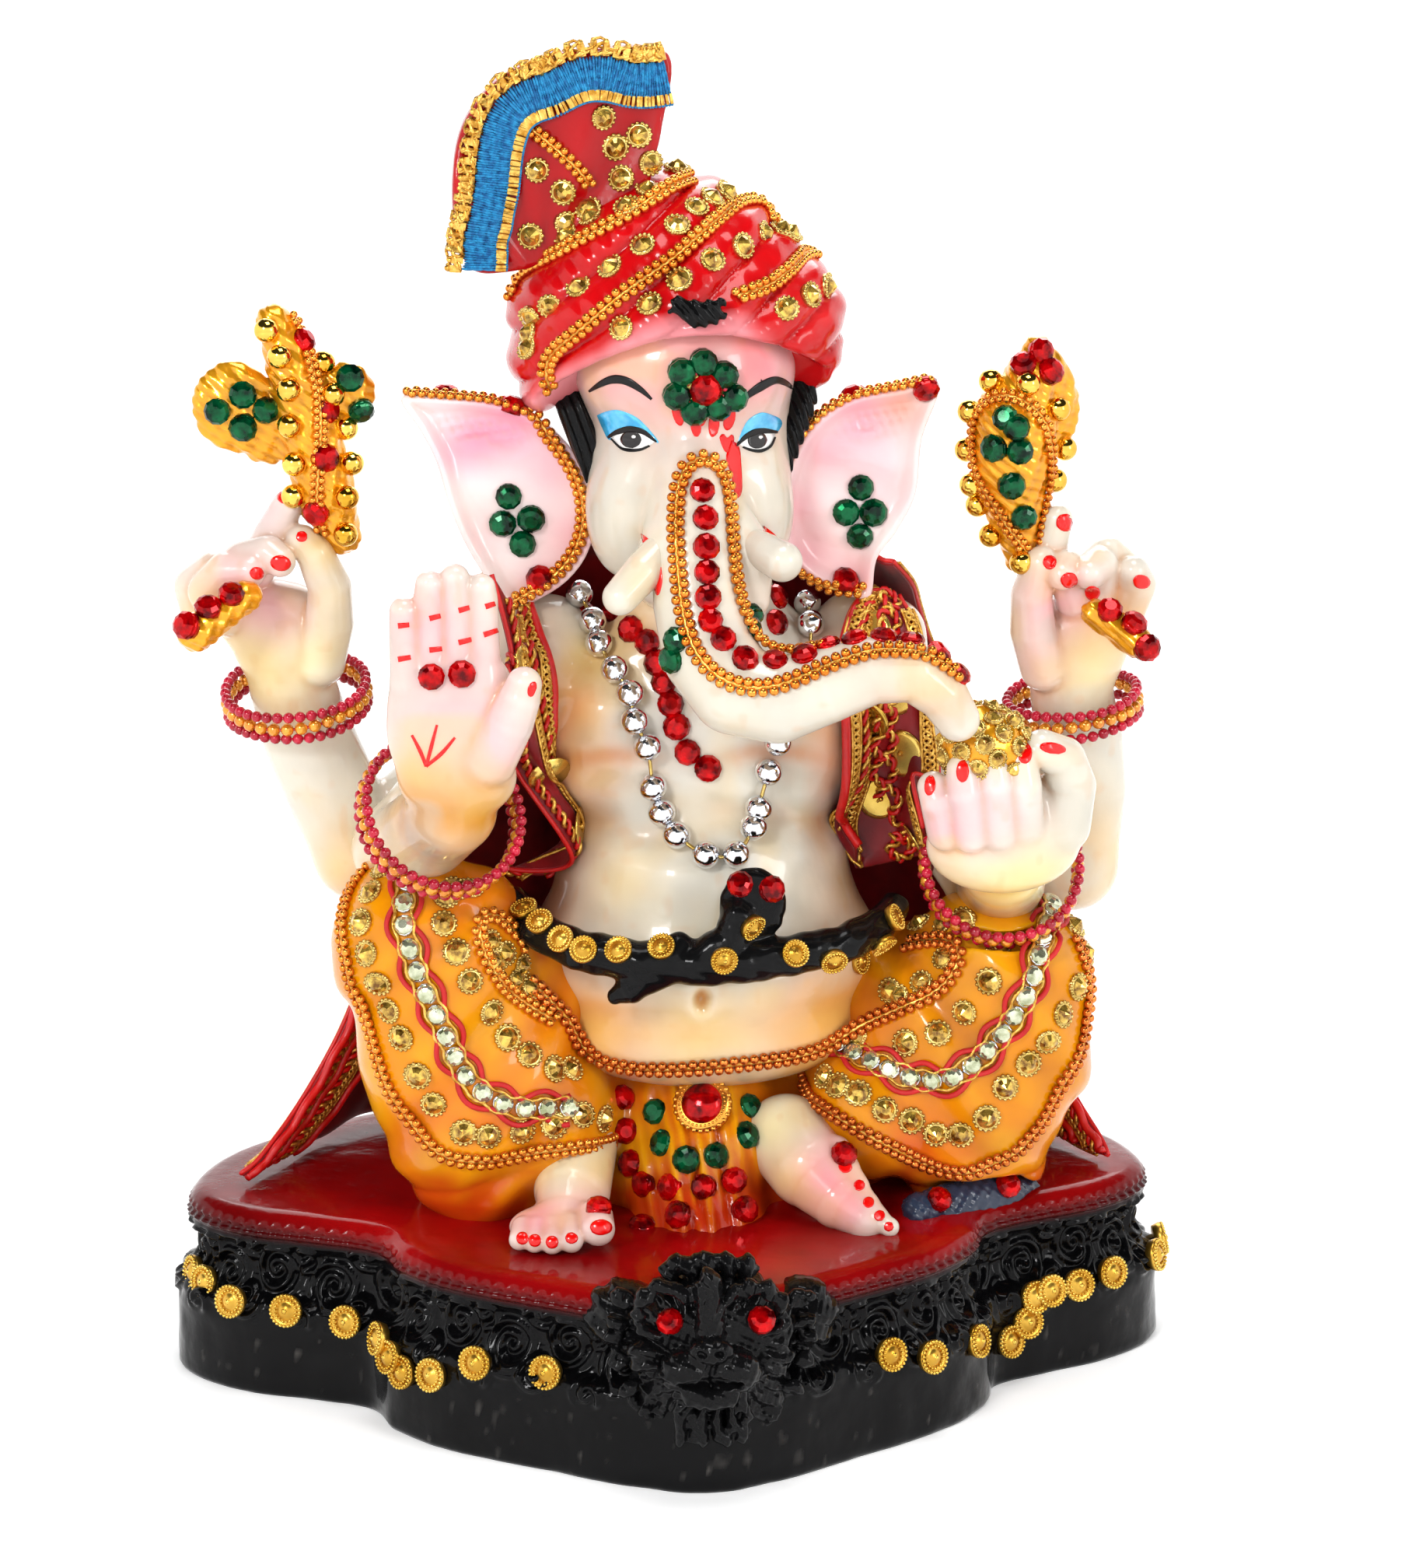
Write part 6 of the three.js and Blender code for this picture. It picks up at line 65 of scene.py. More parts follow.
SPOTS = json.loads(r'''{"head":[[21.8,0.0,220.5,6,[232,120,150],0.6],[-20.5,0.0,216.3,9,[40,30,30],0.5],[41.0,-44.0,162.2,7,[222,170,140],0.4],[2.3,-8.0,222.2,16,[228,90,110],0.55],[-11.2,-6.0,222.1,9,[230,110,125],0.5],[14.6,-6.0,222.5,9,[226,70,90],0.6],[51.4,-44.0,157.8,6,[206,150,90],0.5],[17.0,-30.0,174.1,8,[225,190,170],0.4]],"torso":[[-21.2,-2.0,149.3,7,[222,132,40],0.75],[-20.5,-3.0,136.0,8,[222,140,70],0.65],[-24.0,-5.0,123.8,8,[226,150,70],0.6],[-17.7,0.0,158.1,7,[232,196,96],0.6],[32.1,0.0,143.3,7,[222,150,60],0.5],[32.0,0.0,155.3,7,[214,120,60],0.5],[-12.5,-15.0,114.3,8,[232,196,96],0.35],[3.1,-25.0,80.1,14,[226,180,70],0.6],[-25.8,-15.0,85.6,12,[214,130,30],0.8],[35.7,-15.0,85.4,12,[214,130,30],0.8],[-19.3,-15.0,76.7,12,[214,130,30],0.8],[29.0,-15.0,75.2,12,[214,130,30],0.8],[-9.8,-5.0,167.5,8,[222,160,80],0.6],[1.7,-5.0,149.5,10,[206,200,190],0.5],[2.8,-10.0,127.9,9,[214,208,198],0.4],[41.4,-8.0,107.4,9,[226,150,80],0.5],[-30.1,-8.0,109.4,9,[206,120,50],0.6],[-1.0,-25.0,103.3,8,[240,226,190],0.5]],"front_arm_right":[[-46.1,-32.0,164.6,15,[232,120,150],0.42],[-53.9,-32.0,176.1,9,[232,120,150],0.4],[-52.1,-38.0,149.9,12,[236,150,165],0.4],[-39.4,-36.0,149.0,7,[236,160,180],0.45],[-58.3,-30.0,141.4,6,[232,196,96],0.35],[-49.4,-22.0,131.6,9,[206,140,30],0.9],[-42.1,-22.0,132.2,8,[206,140,30],0.9],[-56.6,-22.0,133.4,8,[206,140,30],0.9],[-61.0,5.0,113.5,8,[232,170,70],0.6],[-38.6,-16.0,127.2,8,[206,140,30],0.8]],"rear_arm_right":[[-84.5,5.0,168.5,8,[232,120,150],0.5],[-92.5,4.0,176.4,9,[232,120,150],0.4],[-84.0,6.0,190.0,6,[240,170,190],0.5],[-72.8,5.0,183.3,7,[216,170,60],0.7],[-101.0,8.0,163.1,8,[226,180,60],0.7],[-76.6,8.0,157.5,6,[236,220,150],0.5],[-86.5,10.0,152.2,9,[236,220,160],0.4],[-70.8,15.0,109.2,9,[232,180,90],0.5],[-88.1,10.0,157.3,7,[222,190,90],0.45]],"rear_arm_left":[[81.1,5.0,168.4,8,[232,120,150],0.5],[80.2,8.0,154.0,9,[236,170,180],0.55],[91.1,4.0,165.0,9,[232,120,150],0.35],[90.3,8.0,155.5,7,[232,196,96],0.5],[98.7,4.0,163.1,8,[220,160,50],0.7],[78.9,10.0,148.4,8,[226,180,150],0.4],[90.5,8.0,148.6,8,[236,220,150],0.5],[92.5,15.0,111.8,9,[226,180,100],0.5]],"front_arm_left":[[52.3,-40.0,133.0,8,[232,120,150],0.5],[59.6,-40.0,132.8,9,[240,180,195],0.5],[66.1,-40.0,130.9,8,[240,190,200],0.4],[68.0,-20.0,110.1,12,[236,206,110],0.7],[63.0,-10.0,100.5,11,[222,150,40],0.9],[74.6,-20.0,113.4,8,[230,210,120],0.6]],"foot_right":[[-32.4,-36.0,47.9,7,[232,120,150],0.75],[-20.8,-34.0,48.5,7,[236,140,160],0.5],[-15.3,-26.0,54.2,7,[232,196,96],0.6],[-29.7,-20.0,54.3,8,[240,222,150],0.6],[-35.8,-24.0,50.7,6,[232,196,96],0.5]],"foot_left":[[26.8,-28.0,50.0,8,[232,120,150],0.75],[33.2,-30.0,46.1,7,[236,120,140],0.7],[33.8,-18.0,55.0,6,[226,150,150],0.6],[19.4,-12.0,56.9,7,[240,222,150],0.6],[21.4,-24.0,48.7,6,[232,196,96],0.6]],"ear_right":[[-41.6,2.5,206.4,7,[232,120,150],0.75],[-33.4,2.5,208.7,8,[228,110,150],0.75],[-24.6,2.5,199.5,7,[236,140,170],0.5],[-20.6,2.5,184.5,7,[232,130,150],0.55],[-40.2,2.5,184.8,6,[232,150,160],0.3],[-27.3,2.5,173.7,6,[222,120,130],0.6],[-49.6,2.5,209.8,5,[244,210,215],0.6],[-44.9,2.5,203.1,5,[236,150,180],0.5]],"ear_left":[[40.2,2.5,208.3,8,[232,120,150],0.7],[32.0,2.5,201.8,7,[236,140,160],0.6],[25.5,2.5,190.2,6,[236,130,150],0.6],[28.8,2.5,180.1,6,[232,120,140],0.6],[43.6,2.5,198.2,7,[240,190,200],0.5],[48.4,2.5,211.4,5,[226,140,110],0.7],[38.8,2.5,174.9,6,[222,120,130],0.6],[47.0,2.5,191.5,6,[240,180,190],0.4]],"dhoti_legs":[[-52.9,-20.0,53.4,12,[196,66,20],0.75],[-43.0,-20.0,47.8,14,[196,66,16],0.7],[-59.1,-12.0,61.3,8,[206,96,20],0.5],[-29.6,-20.0,70.0,10,[214,120,20],0.5],[-14.3,-14.0,64.0,9,[188,70,16],0.8],[4.0,-15.0,67.2,12,[200,90,20],0.6],[3.5,-20.0,51.4,14,[200,96,16],0.7],[0.6,-24.0,40.7,14,[190,30,16],0.85],[13.1,-24.0,39.4,10,[190,30,16],0.85],[21.3,-10.0,59.7,9,[196,80,16],0.7],[48.8,-20.0,49.9,12,[190,60,20],0.8],[69.1,-10.0,38.6,14,[206,100,20],0.7],[-38.3,-6.0,109.1,10,[196,80,16],0.8],[-30.2,-8.0,99.1,9,[190,80,16],0.8],[-22.3,-12.0,84.5,9,[196,90,14],0.8],[41.7,-6.0,105.1,10,[206,90,20],0.7],[36.1,-12.0,82.7,9,[196,90,14],0.8],[51.3,-10.0,99.1,8,[206,110,20],0.7],[62.3,-15.0,98.5,9,[226,160,40],0.5],[29.4,-12.0,74.2,8,[200,100,16],0.7],[-52.0,-20.0,111.8,8,[226,120,40],0.4],[-36.4,-22.0,63.9,9,[222,110,30],0.5]]}''')
MISC = json.loads(r'''{"half":[[0,-75],[16.8,-69.5],[32.5,-60],[52,-47.5],[63.3,-35],[68,-23.5],[80,-17],[94,-11],[104.5,-2],[108.8,9],[106,24],[98,38],[85,50],[69,60.5],[50,68.5],[25,73.5],[0,75]],"earr":[[-56.7,214.6],[-47.8,214.6],[-36.5,213.1],[-26.7,208.8],[-19.4,200.4],[-16.2,190.3],[-17.9,181.2],[-22.9,174.6],[-30.4,170.2],[-34.5,169.2],[-39.4,175.7],[-44.2,184.2],[-47.3,192.6],[-49.6,200.9],[-52.8,207.6]],"earl":[[56.3,215.7],[47.2,214.7],[38.1,213.0],[30.7,208.6],[25.5,201.2],[23.1,191.3],[23.9,182.0],[28.4,175.5],[35.1,171.7],[41.8,169.8],[43.4,178.3],[47.5,184.1],[51.6,192.4],[52.8,204.1]],"fan":[[-41.4,241.6],[-44.9,248.0],[-45.6,260.8],[-43.1,271.9],[-36.2,280.5],[-26.6,285.1],[-13.9,287.0],[-0.9,285.3],[-2.5,270.6],[-4.8,259.5],[-1.0,257.1],[-17.4,249.3],[-27.0,243.0],[-35.0,241.2]],"rings":{"bracelet_rear_right":{"c":[-79.7,16.45,148.04],"ax":[-0.0902,-0.2407,0.9664],"ri":13.6,"ro":16.2,"h":6.6},"bracelet_rear_left":{"c":[88.72,16.9,142.08],"ax":[-0.1402,-0.1049,0.9845],"ri":12.8,"ro":15.3,"h":6.6},"bracelet_front_right":{"c":[-50.64,-19.38,130.44],"ax":[0.3071,-0.7511,0.5844],"ri":15.6,"ro":18.2,"h":6.6},"bracelet_front_left":{"c":[68.93,-11.3,113.87],"ax":[0.0049,-0.8462,0.5328],"ri":15.2,"ro":17.6,"h":6.6}},"shawl":{"shawl_front_right":[[[-39.2,-9.2,179.1],[-34.4,-4.7,169.1],[-32.8,0.7,169.6],[-31.2,3.6,170.3]],[[-35.3,-13.1,161.5],[-33.1,-8.7,162.2],[-30.8,-3.5,162.8],[-28.5,-2.1,163.9]],[[-36.3,-16.7,161.4],[-33.9,-12.4,162.0],[-31.4,-7.2,162.2],[-26.6,-4.0,153.3]],[[-34.5,-14.8,151.4],[-29.6,-10.7,140.7],[-27.4,-5.9,142.3],[-26.7,-4.9,144.1]],[[-35.4,-8.0,139.5],[-25.6,-4.5,131.8],[-26.2,-1.6,130.6],[-27.0,-1.2,131.6]],[[-22.6,-1.3,115.3],[-21.4,1.7,120.0],[-22.1,3.9,120.2],[-22.5,5.0,120.2]],[[-37.5,2.9,112.6],[-35.7,4.9,110.4],[-26.6,5.8,109.6],[-26.1,6.8,112.5]]],"shawl_front_left":[[[43.2,5.7,170.7],[44.2,5.7,170.6],[45.3,5.7,170.5],[46.4,5.8,170.2],[47.5,5.9,169.9],[48.6,6.0,169.5]],[[37.9,-0.0,165.4],[40.2,-0.5,165.5],[42.9,-0.7,165.4],[45.7,-0.5,165.0],[48.5,-0.1,164.3],[51.0,0.8,163.2]],[[35.1,-2.5,154.1],[37.5,-2.5,152.8],[41.2,-2.7,152.2],[45.7,-2.3,151.9],[49.8,-0.8,151.8],[52.9,1.5,151.7]],[[34.5,-7.2,147.6],[40.3,-2.6,146.0],[42.7,0.6,141.9],[45.5,0.1,141.9],[50.5,0.2,142.2],[54.8,0.9,141.7]],[[34.5,-7.3,131.9],[40.9,-0.6,131.9],[43.5,4.4,129.4],[46.7,3.0,131.0],[51.5,0.8,131.6],[56.3,-2.4,131.3]],[[35.0,1.4,121.6],[36.7,4.0,119.6],[48.4,6.2,120.4],[49.4,4.5,118.6],[52.3,-1.0,120.2],[50.0,-6.4,132.9]],[[38.1,1.0,115.0],[40.7,4.8,110.3],[41.1,6.1,109.7],[53.8,4.6,111.8],[55.0,-2.3,110.0],[52.1,-9.1,122.0]]],"shawl_back":[[[-38.0,4.0,177.0],[-35.5,5.7,177.8],[-31.6,8.6,178.8],[-26.4,13.9,179.2],[-19.9,21.1,179.1],[-12.4,26.4,178.9],[-3.8,29.7,178.3],[5.0,31.0,178.0],[14.0,29.7,178.3],[22.6,26.4,178.9],[29.1,21.1,179.1],[34.0,13.9,179.2],[38.6,8.6,178.8],[43.5,5.7,177.8],[47.0,4.0,177.0]],[[-42.1,12.1,170.6],[-39.0,15.5,171.4],[-34.3,20.3,172.5],[-29.0,24.5,173.1],[-22.8,28.6,173.5],[-15.0,31.7,173.7],[-5.1,33.6,173.6],[4.9,34.3,173.5],[14.4,33.6,173.6],[23.2,31.7,173.7],[30.6,28.6,173.5],[36.6,24.5,173.1],[42.3,20.3,172.5],[48.0,15.5,171.4],[52.0,12.1,170.6]],[[-45.1,20.6,163.5],[-41.1,23.7,163.8],[-35.2,27.8,164.1],[-28.5,30.9,164.3],[-20.9,33.5,164.5],[-12.6,35.4,164.6],[-3.6,36.6,164.6],[5.6,37.1,164.6],[14.7,36.6,164.6],[23.4,35.4,164.6],[30.9,33.5,164.5],[37.4,30.9,164.3],[43.7,27.8,164.1],[50.2,23.8,163.8],[54.9,20.7,163.5]],[[-46.3,27.6,155.2],[-42.0,29.6,155.2],[-35.6,32.2,155.1],[-28.2,34.3,155.0],[-19.6,36.0,155.0],[-10.9,37.3,155.0],[-2.1,38.1,155.0],[6.5,38.4,155.0],[15.0,38.1,155.0],[23.3,37.3,155.0],[31.2,36.0,155.0],[38.8,34.4,155.0],[45.9,32.2,155.1],[53.0,29.3,155.2],[58.0,27.1,155.2]],[[-48.2,32.2,143.2],[-44.0,34.6,143.5],[-37.2,36.9,143.3],[-29.3,37.3,143.2],[-20.1,38.3,143.2],[-11.0,39.1,143.2],[-1.8,39.6,143.2],[7.1,39.8,143.2],[15.2,39.6,143.2],[23.1,39.1,143.2],[32.1,38.3,143.2],[41.7,37.1,143.2],[50.1,37.0,143.3],[58.1,35.0,143.7],[62.9,31.8,143.4]],[[-54.1,36.5,126.3],[-48.1,37.4,126.0],[-40.1,39.6,126.0],[-31.1,41.2,126.0],[-20.7,42.0,126.0],[-10.8,42.7,126.0],[-1.7,43.2,126.0],[7.0,43.5,126.0],[14.9,43.3,126.0],[23.0,42.7,126.0],[33.4,41.8,126.0],[45.5,40.4,126.0],[55.5,38.6,126.0],[63.5,37.3,126.0],[69.3,36.6,126.3]],[[-59.4,34.2,106.1],[-52.6,37.1,106.1],[-42.9,40.9,106.1],[-32.6,43.8,106.1],[-21.1,46.3,106.1],[-10.7,47.8,106.1],[-1.7,48.4,106.1],[7.0,48.4,106.1],[15.5,48.4,106.1],[24.4,47.8,106.1],[36.0,46.2,106.1],[49.5,43.7,106.1],[61.0,40.8,106.1],[70.7,37.1,106.1],[77.3,34.2,106.1]],[[-64.1,29.8,87.8],[-57.3,34.2,87.8],[-47.5,40.2,87.8],[-36.5,45.2,87.8],[-23.9,50.0,87.8],[-12.5,53.2,87.8],[-2.9,54.6,87.8],[6.4,54.9,87.8],[15.5,54.6,87.8],[25.1,53.2,87.8],[37.7,50.0,87.8],[52.6,45.3,87.8],[64.9,40.2,87.8],[74.6,34.3,87.8],[81.1,29.9,87.8]],[[-71.1,24.9,70.6],[-64.3,31.7,70.6],[-54.3,40.7,70.6],[-42.2,48.0,70.6],[-27.8,54.4,70.6],[-15.2,58.6,70.6],[-5.0,60.3,70.6],[4.9,60.6,70.6],[14.7,60.3,70.6],[25.0,58.6,70.6],[37.9,54.4,70.6],[52.8,48.0,70.6],[65.6,40.6,70.6],[76.5,31.2,70.6],[83.9,24.0,70.6]],[[-80.5,18.7,55.7],[-73.6,27.9,55.7],[-63.2,40.0,55.7],[-49.6,49.4,55.7],[-33.0,57.2,55.7],[-18.6,62.3,55.7],[-7.2,64.1,55.7],[3.6,64.3,55.7],[14.5,64.1,55.7],[25.8,62.3,55.7],[39.6,57.3,55.7],[55.2,49.6,55.7],[68.8,39.7,55.7],[80.7,26.1,55.7],[88.9,15.6,55.7]],[[-89.5,11.9,45.5],[-82.5,23.3,45.5],[-71.5,38.1,45.5],[-56.6,49.1,45.5],[-37.9,58.1,45.5],[-21.8,63.9,45.5],[-9.2,66.1,45.5],[2.8,66.5,45.5],[14.9,66.1,45.5],[27.5,63.9,45.5],[43.0,58.2,45.5],[60.5,49.5,45.5],[75.2,37.6,45.5],[86.9,20.2,45.5],[94.8,6.7,45.5]],[[-94.0,9.0,42.6],[-86.3,22.3,42.6],[-74.6,39.5,42.6],[-59.0,51.3,42.6],[-39.6,59.9,42.6],[-23.1,65.5,42.6],[-10.2,67.7,42.6],[2.0,68.0,42.6],[14.3,67.7,42.6],[27.2,65.5,42.6],[43.2,60.0,42.6],[61.5,51.6,42.6],[76.5,39.0,42.6],[88.2,19.4,42.6],[96.0,4.0,42.6]]]},"navel":[3.8,-31.0,89.2],"crease":[[-18.4,-27.0,95.6],[3.3,-31.0,94.1],[26.7,-27.0,94.2]],"lace":[[-38.7,-4.0,242.2],[-38.0,-4.0,249.6],[-36.1,-4.0,257.5],[-35.1,-4.0,265.9],[-33.8,-4.0,271.0],[-32.0,-4.0,274.0],[-28.6,-4.0,276.0],[-25.1,-4.0,277.0],[-21.1,-4.0,279.0],[-17.2,-4.0,280.4],[-13.2,-4.0,280.1],[-9.2,-4.0,278.8],[-5.2,-4.0,278.7],[-1.2,-4.0,279.2]],"eyes":[[-9.8,-16.0,208.2],[16.2,-16.0,207.8]],"tuft":[[-2.0,-26.0,236.4],[2.9,-27.0,237.1],[8.1,-26.0,235.6]],"petal_c":[4.3,-18.0,219.8],"mouse_extra":[["t",[53.9,-20.0,40.7,3.3],[61.7,-15.8,40.4,4.4],[70.3,-10.5,39.8,4.6],[76.1,-6.5,38.5,2.9]],["e",50.3,-22.0,41.2,3.4,3.2,3.0,0,0,0],["t",[52.8,-23.0,40.3,1.6],[49.5,-25.0,40.0,1.1]],["t",[60.7,-20.0,39.6,1.7],[58.0,-22.5,39.2,1.2]]],"lion_extra":[["t",[-3.4,-77.0,43.8,1.7],[-6.9,-77.0,46.1,1.7],[-11.3,-77.0,46.0,1.7],[-14.2,-77.0,42.9,1.7]],["t",[-14.1,-76.0,42.5,1.2],[-14.4,-76.0,38.2,1.2],[-11.3,-76.0,35.7,1.2],[-7.2,-76.0,36.2,1.2]],["e",-4.7,-80.0,29.3,5.6,4.6,4.6,0,0,0],["e",-11.7,-74.0,30.5,4.6,3.4,4.2,0,0,0],["t",[-6.6,-80.0,24.7,1.1],[-6.0,-80.0,20.9,1.1]],["t",[-18.8,-69.0,41.3,1.25],[-18.2,-69.0,40.0,1.25],[-17.0,-69.0,39.4,1.25],[-15.9,-69.0,39.8,1.25],[-15.3,-69.0,40.7,1.25],[-15.5,-69.0,41.7,1.25],[-16.1,-69.0,42.3,1.25],[-16.9,-69.0,42.3,1.25]],["t",[-19.6,-69.0,33.3,1.25],[-18.4,-69.0,33.1,1.25],[-17.5,-69.0,33.8,1.25],[-17.3,-69.0,34.8,1.25],[-17.7,-69.0,35.7,1.25],[-18.4,-69.0,36.0,1.25],[-19.0,-69.0,35.8,1.25],[-19.3,-69.0,35.2,1.25]],["t",[-17.7,-69.0,26.5,1.25],[-17.0,-69.0,27.4,1.25],[-17.1,-69.0,28.4,1.25],[-17.7,-69.0,29.1,1.25],[-18.4,-69.0,29.2,1.25],[-18.9,-69.0,28.8,1.25],[-19.0,-69.0,28.2,1.25],[-18.8,-69.0,27.8,1.25]],["t",[-14.7,-72.0,22.2,1.25],[-15.0,-72.0,23.1,1.25],[-15.7,-72.0,23.5,1.25],[-16.4,-72.0,23.4,1.25],[-16.7,-72.0,22.9,1.25],[-16.6,-72.0,22.3,1.25],[-16.3,-72.0,22.1,1.25],[-16.0,-72.0,22.2,1.25]],["t",[-11.2,-72.0,17.8,1.25],[-11.9,-72.0,17.9,1.25],[-12.5,-72.0,17.6,1.25],[-12.6,-72.0,17.0,1.25],[-12.4,-72.0,16.6,1.25],[-12.1,-72.0,16.5,1.25],[-11.9,-72.0,16.7,1.25],[-11.9,-72.0,16.8,1.25]],["t",[4.1,-77.0,43.6,1.7],[7.6,-77.0,45.6,1.7],[12.0,-77.0,45.1,1.7],[14.9,-77.0,41.8,1.7]],["t",[15.0,-76.0,41.4,1.2],[15.3,-76.0,37.0,1.2],[12.2,-76.0,34.8,1.2],[8.0,-76.0,35.6,1.2]],["e",4.8,-80.0,28.9,5.6,4.6,4.6,0,0,0],["e",13.0,-74.0,29.6,4.6,3.4,4.2,0,0,0],["t",[6.7,-80.0,24.1,1.1],[6.1,-80.0,20.5,1.1]],["t",[21.1,-69.0,39.9,1.25],[20.5,-69.0,38.6,1.25],[19.3,-69.0,38.1,1.25],[18.2,-69.0,38.5,1.25],[17.6,-69.0,39.5,1.25],[17.8,-69.0,40.5,1.25],[18.4,-69.0,41.0,1.25],[19.2,-69.0,40.9,1.25]],["t",[22.0,-69.0,31.7,1.25],[20.7,-69.0,31.7,1.25],[19.8,-69.0,32.4,1.25],[19.6,-69.0,33.4,1.25],[20.0,-69.0,34.3,1.25],[20.7,-69.0,34.5,1.25],[21.4,-69.0,34.3,1.25],[21.6,-69.0,33.7,1.25]],["t",[20.0,-69.0,25.1,1.25],[19.3,-69.0,26.0,1.25],[19.4,-69.0,27.0,1.25],[20.0,-69.0,27.7,1.25],[20.7,-69.0,27.7,1.25],[21.2,-69.0,27.2,1.25],[21.3,-69.0,26.7,1.25],[21.1,-69.0,26.3,1.25]],["t",[16.4,-72.0,21.0,1.25],[16.7,-72.0,21.9,1.25],[17.4,-72.0,22.2,1.25],[18.1,-72.0,22.0,1.25],[18.4,-72.0,21.5,1.25],[18.4,-72.0,21.0,1.25],[18.0,-72.0,20.8,1.25],[17.8,-72.0,20.9,1.25]],["t",[12.9,-72.0,16.8,1.25],[13.6,-72.0,16.9,1.25],[14.2,-72.0,16.5,1.25],[14.3,-72.0,16.0,1.25],[14.1,-72.0,15.5,1.25],[13.8,-72.0,15.5,1.25],[13.6,-72.0,15.6,1.25],[13.6,-72.0,15.8,1.25]],["t",[0.2,-78.0,47.4,2.9],[0.2,-78.0,40.4,2.9],[0.2,-78.0,35.0,2.9]],["e",-0.1,-82.0,34.0,4.6,3.0,2.7,0,0,0],["e",-6.6,-70.0,47.7,2.6,2.6,2.6,0,0,0],["e",-2.8,-70.0,48.0,2.6,2.6,2.6,0,0,0],["e",1.0,-70.0,48.4,2.6,2.6,2.6,0,0,0],["e",4.8,-70.0,47.8,2.6,2.6,2.6,0,0,0],["e",8.6,-70.0,47.1,2.6,2.6,2.6,0,0,0],["t",[-6.7,-76.0,20.3,1.3],[-6.2,-76.0,15.9,1.3],[-5.6,-76.0,12.8,1.3]],["t",[-3.9,-76.0,20.2,1.3],[-3.5,-76.0,15.8,1.3],[-3.2,-76.0,12.7,1.3]],["t",[-1.0,-76.0,20.1,1.3],[-0.8,-76.0,15.7,1.3],[-0.8,-76.0,12.6,1.3]],["t",[1.9,-76.0,20.0,1.3],[1.9,-76.0,15.6,1.3],[1.6,-76.0,12.5,1.3]],["t",[4.7,-76.0,19.9,1.3],[4.6,-76.0,15.5,1.3],[3.9,-76.0,12.4,1.3]],["t",[7.6,-76.0,19.8,1.3],[7.3,-76.0,15.4,1.3],[6.3,-76.0,12.3,1.3]],["t",[-3.8,-81.0,24.0,2.2],[-0.0,-81.0,23.1,2.2],[3.7,-81.0,23.7,2.2]]],"lion_carve":[["e",-0.3,-84.0,27.1,7.0,4.2,1.5,0,0,0],["e",-2.2,-85.0,34.2,1.0,1.8,0.9,0,0,0],["e",1.5,-85.0,34.1,1.0,1.8,0.9,0,0,0]],"hair_right":[["t",[-23.8,4.0,217.0,1.7],[-22.5,1.0,211.3,1.7],[-20.4,-1.0,205.0,1.53],[-18.5,-2.0,200.2,1.02],[-17.9,-2.0,197.2,0.595]],["t",[-22.2,4.0,217.0,1.9],[-20.8,1.0,211.2,1.9],[-18.7,-1.0,205.0,1.71],[-16.9,-2.0,200.2,1.14],[-16.3,-2.0,197.2,0.6649999999999999]],["t",[-20.4,4.0,216.9,1.6],[-19.0,1.0,211.2,1.6],[-16.9,-1.0,204.9,1.4400000000000002],[-15.1,-2.0,200.2,0.96],[-14.5,-2.0,197.2,0.5599999999999999]]],"hair_left":[["t",[26.7,4.0,218.1,1.5],[25.7,1.0,212.1,1.5],[23.5,-1.0,206.5,1.35],[21.8,-2.0,201.1,0.8999999999999999],[20.7,-2.0,197.5,0.5249999999999999]],["t",[28.2,4.0,218.1,1.8],[27.2,1.0,212.1,1.8],[25.0,-1.0,206.5,1.62],[23.3,-2.0,201.1,1.08],[22.1,-2.0,197.5,0.63]],["t",[29.5,4.0,218.1,1.5],[28.5,1.0,212.0,1.5],[26.3,-1.0,206.5,1.35],[24.6,-2.0,201.1,0.8999999999999999],[23.5,-2.0,197.5,0.5249999999999999]]],"hair_tuft":[["t",[-1.9,-25.0,238.6,0.7],[2.8,-25.0,236.6,1.5],[7.9,-25.0,238.0,0.7]],["t",[-0.7,-25.0,237.5,0.7],[2.8,-25.0,235.8,1.5],[6.9,-25.0,236.7,0.7]],["t",[-2.6,-25.0,236.4,0.7],[2.8,-25.0,235.0,1.5],[8.4,-25.0,235.4,0.7]],["t",[-0.0,-25.0,235.2,0.7],[2.8,-25.0,234.2,1.5],[6.5,-25.0,234.2,0.7]]]}''')

def lin(c):
    c = np.array(c, float) / 255.0
    return np.where(c <= 0.04045, c / 12.92, ((c + 0.055) / 1.055) ** 2.4)

# ------------------------------------------------------------------ signed distance tools
def rotm(rx, ry, rz):
    a, b, c = [math.radians(v) for v in (rx, ry, rz)]
    X = np.array([[1,0,0],[0,math.cos(a),-math.sin(a)],[0,math.sin(a),math.cos(a)]])
    Y = np.array([[math.cos(b),0,math.sin(b)],[0,1,0],[-math.sin(b),0,math.cos(b)]])
    Z = np.array([[math.cos(c),-math.sin(c),0],[math.sin(c),math.cos(c),0],[0,0,1]])
    return X @ Y @ Z
def smin(a, b, k):
    if k <= 0: return np.minimum(a, b)
    h = np.clip(0.5 + 0.5*(b-a)/k, 0, 1)
    return b + (a-b)*h - k*h*(1-h)
def smax(a, b, k): return -smin(-a, -b, k)
def prim_box(q):
    if q[0] == "e":
        c = np.array(q[1:4]); R = rotm(*q[7:10]); r = np.array(q[4:7])
        ext = np.sqrt(((R*r)**2).sum(1)); return c-ext, c+ext
    P = np.array([s[:3] for s in q[1:]]); r = np.array([s[3] for s in q[1:]])[:, None]
    return (P-r).min(0), (P+r).max(0)
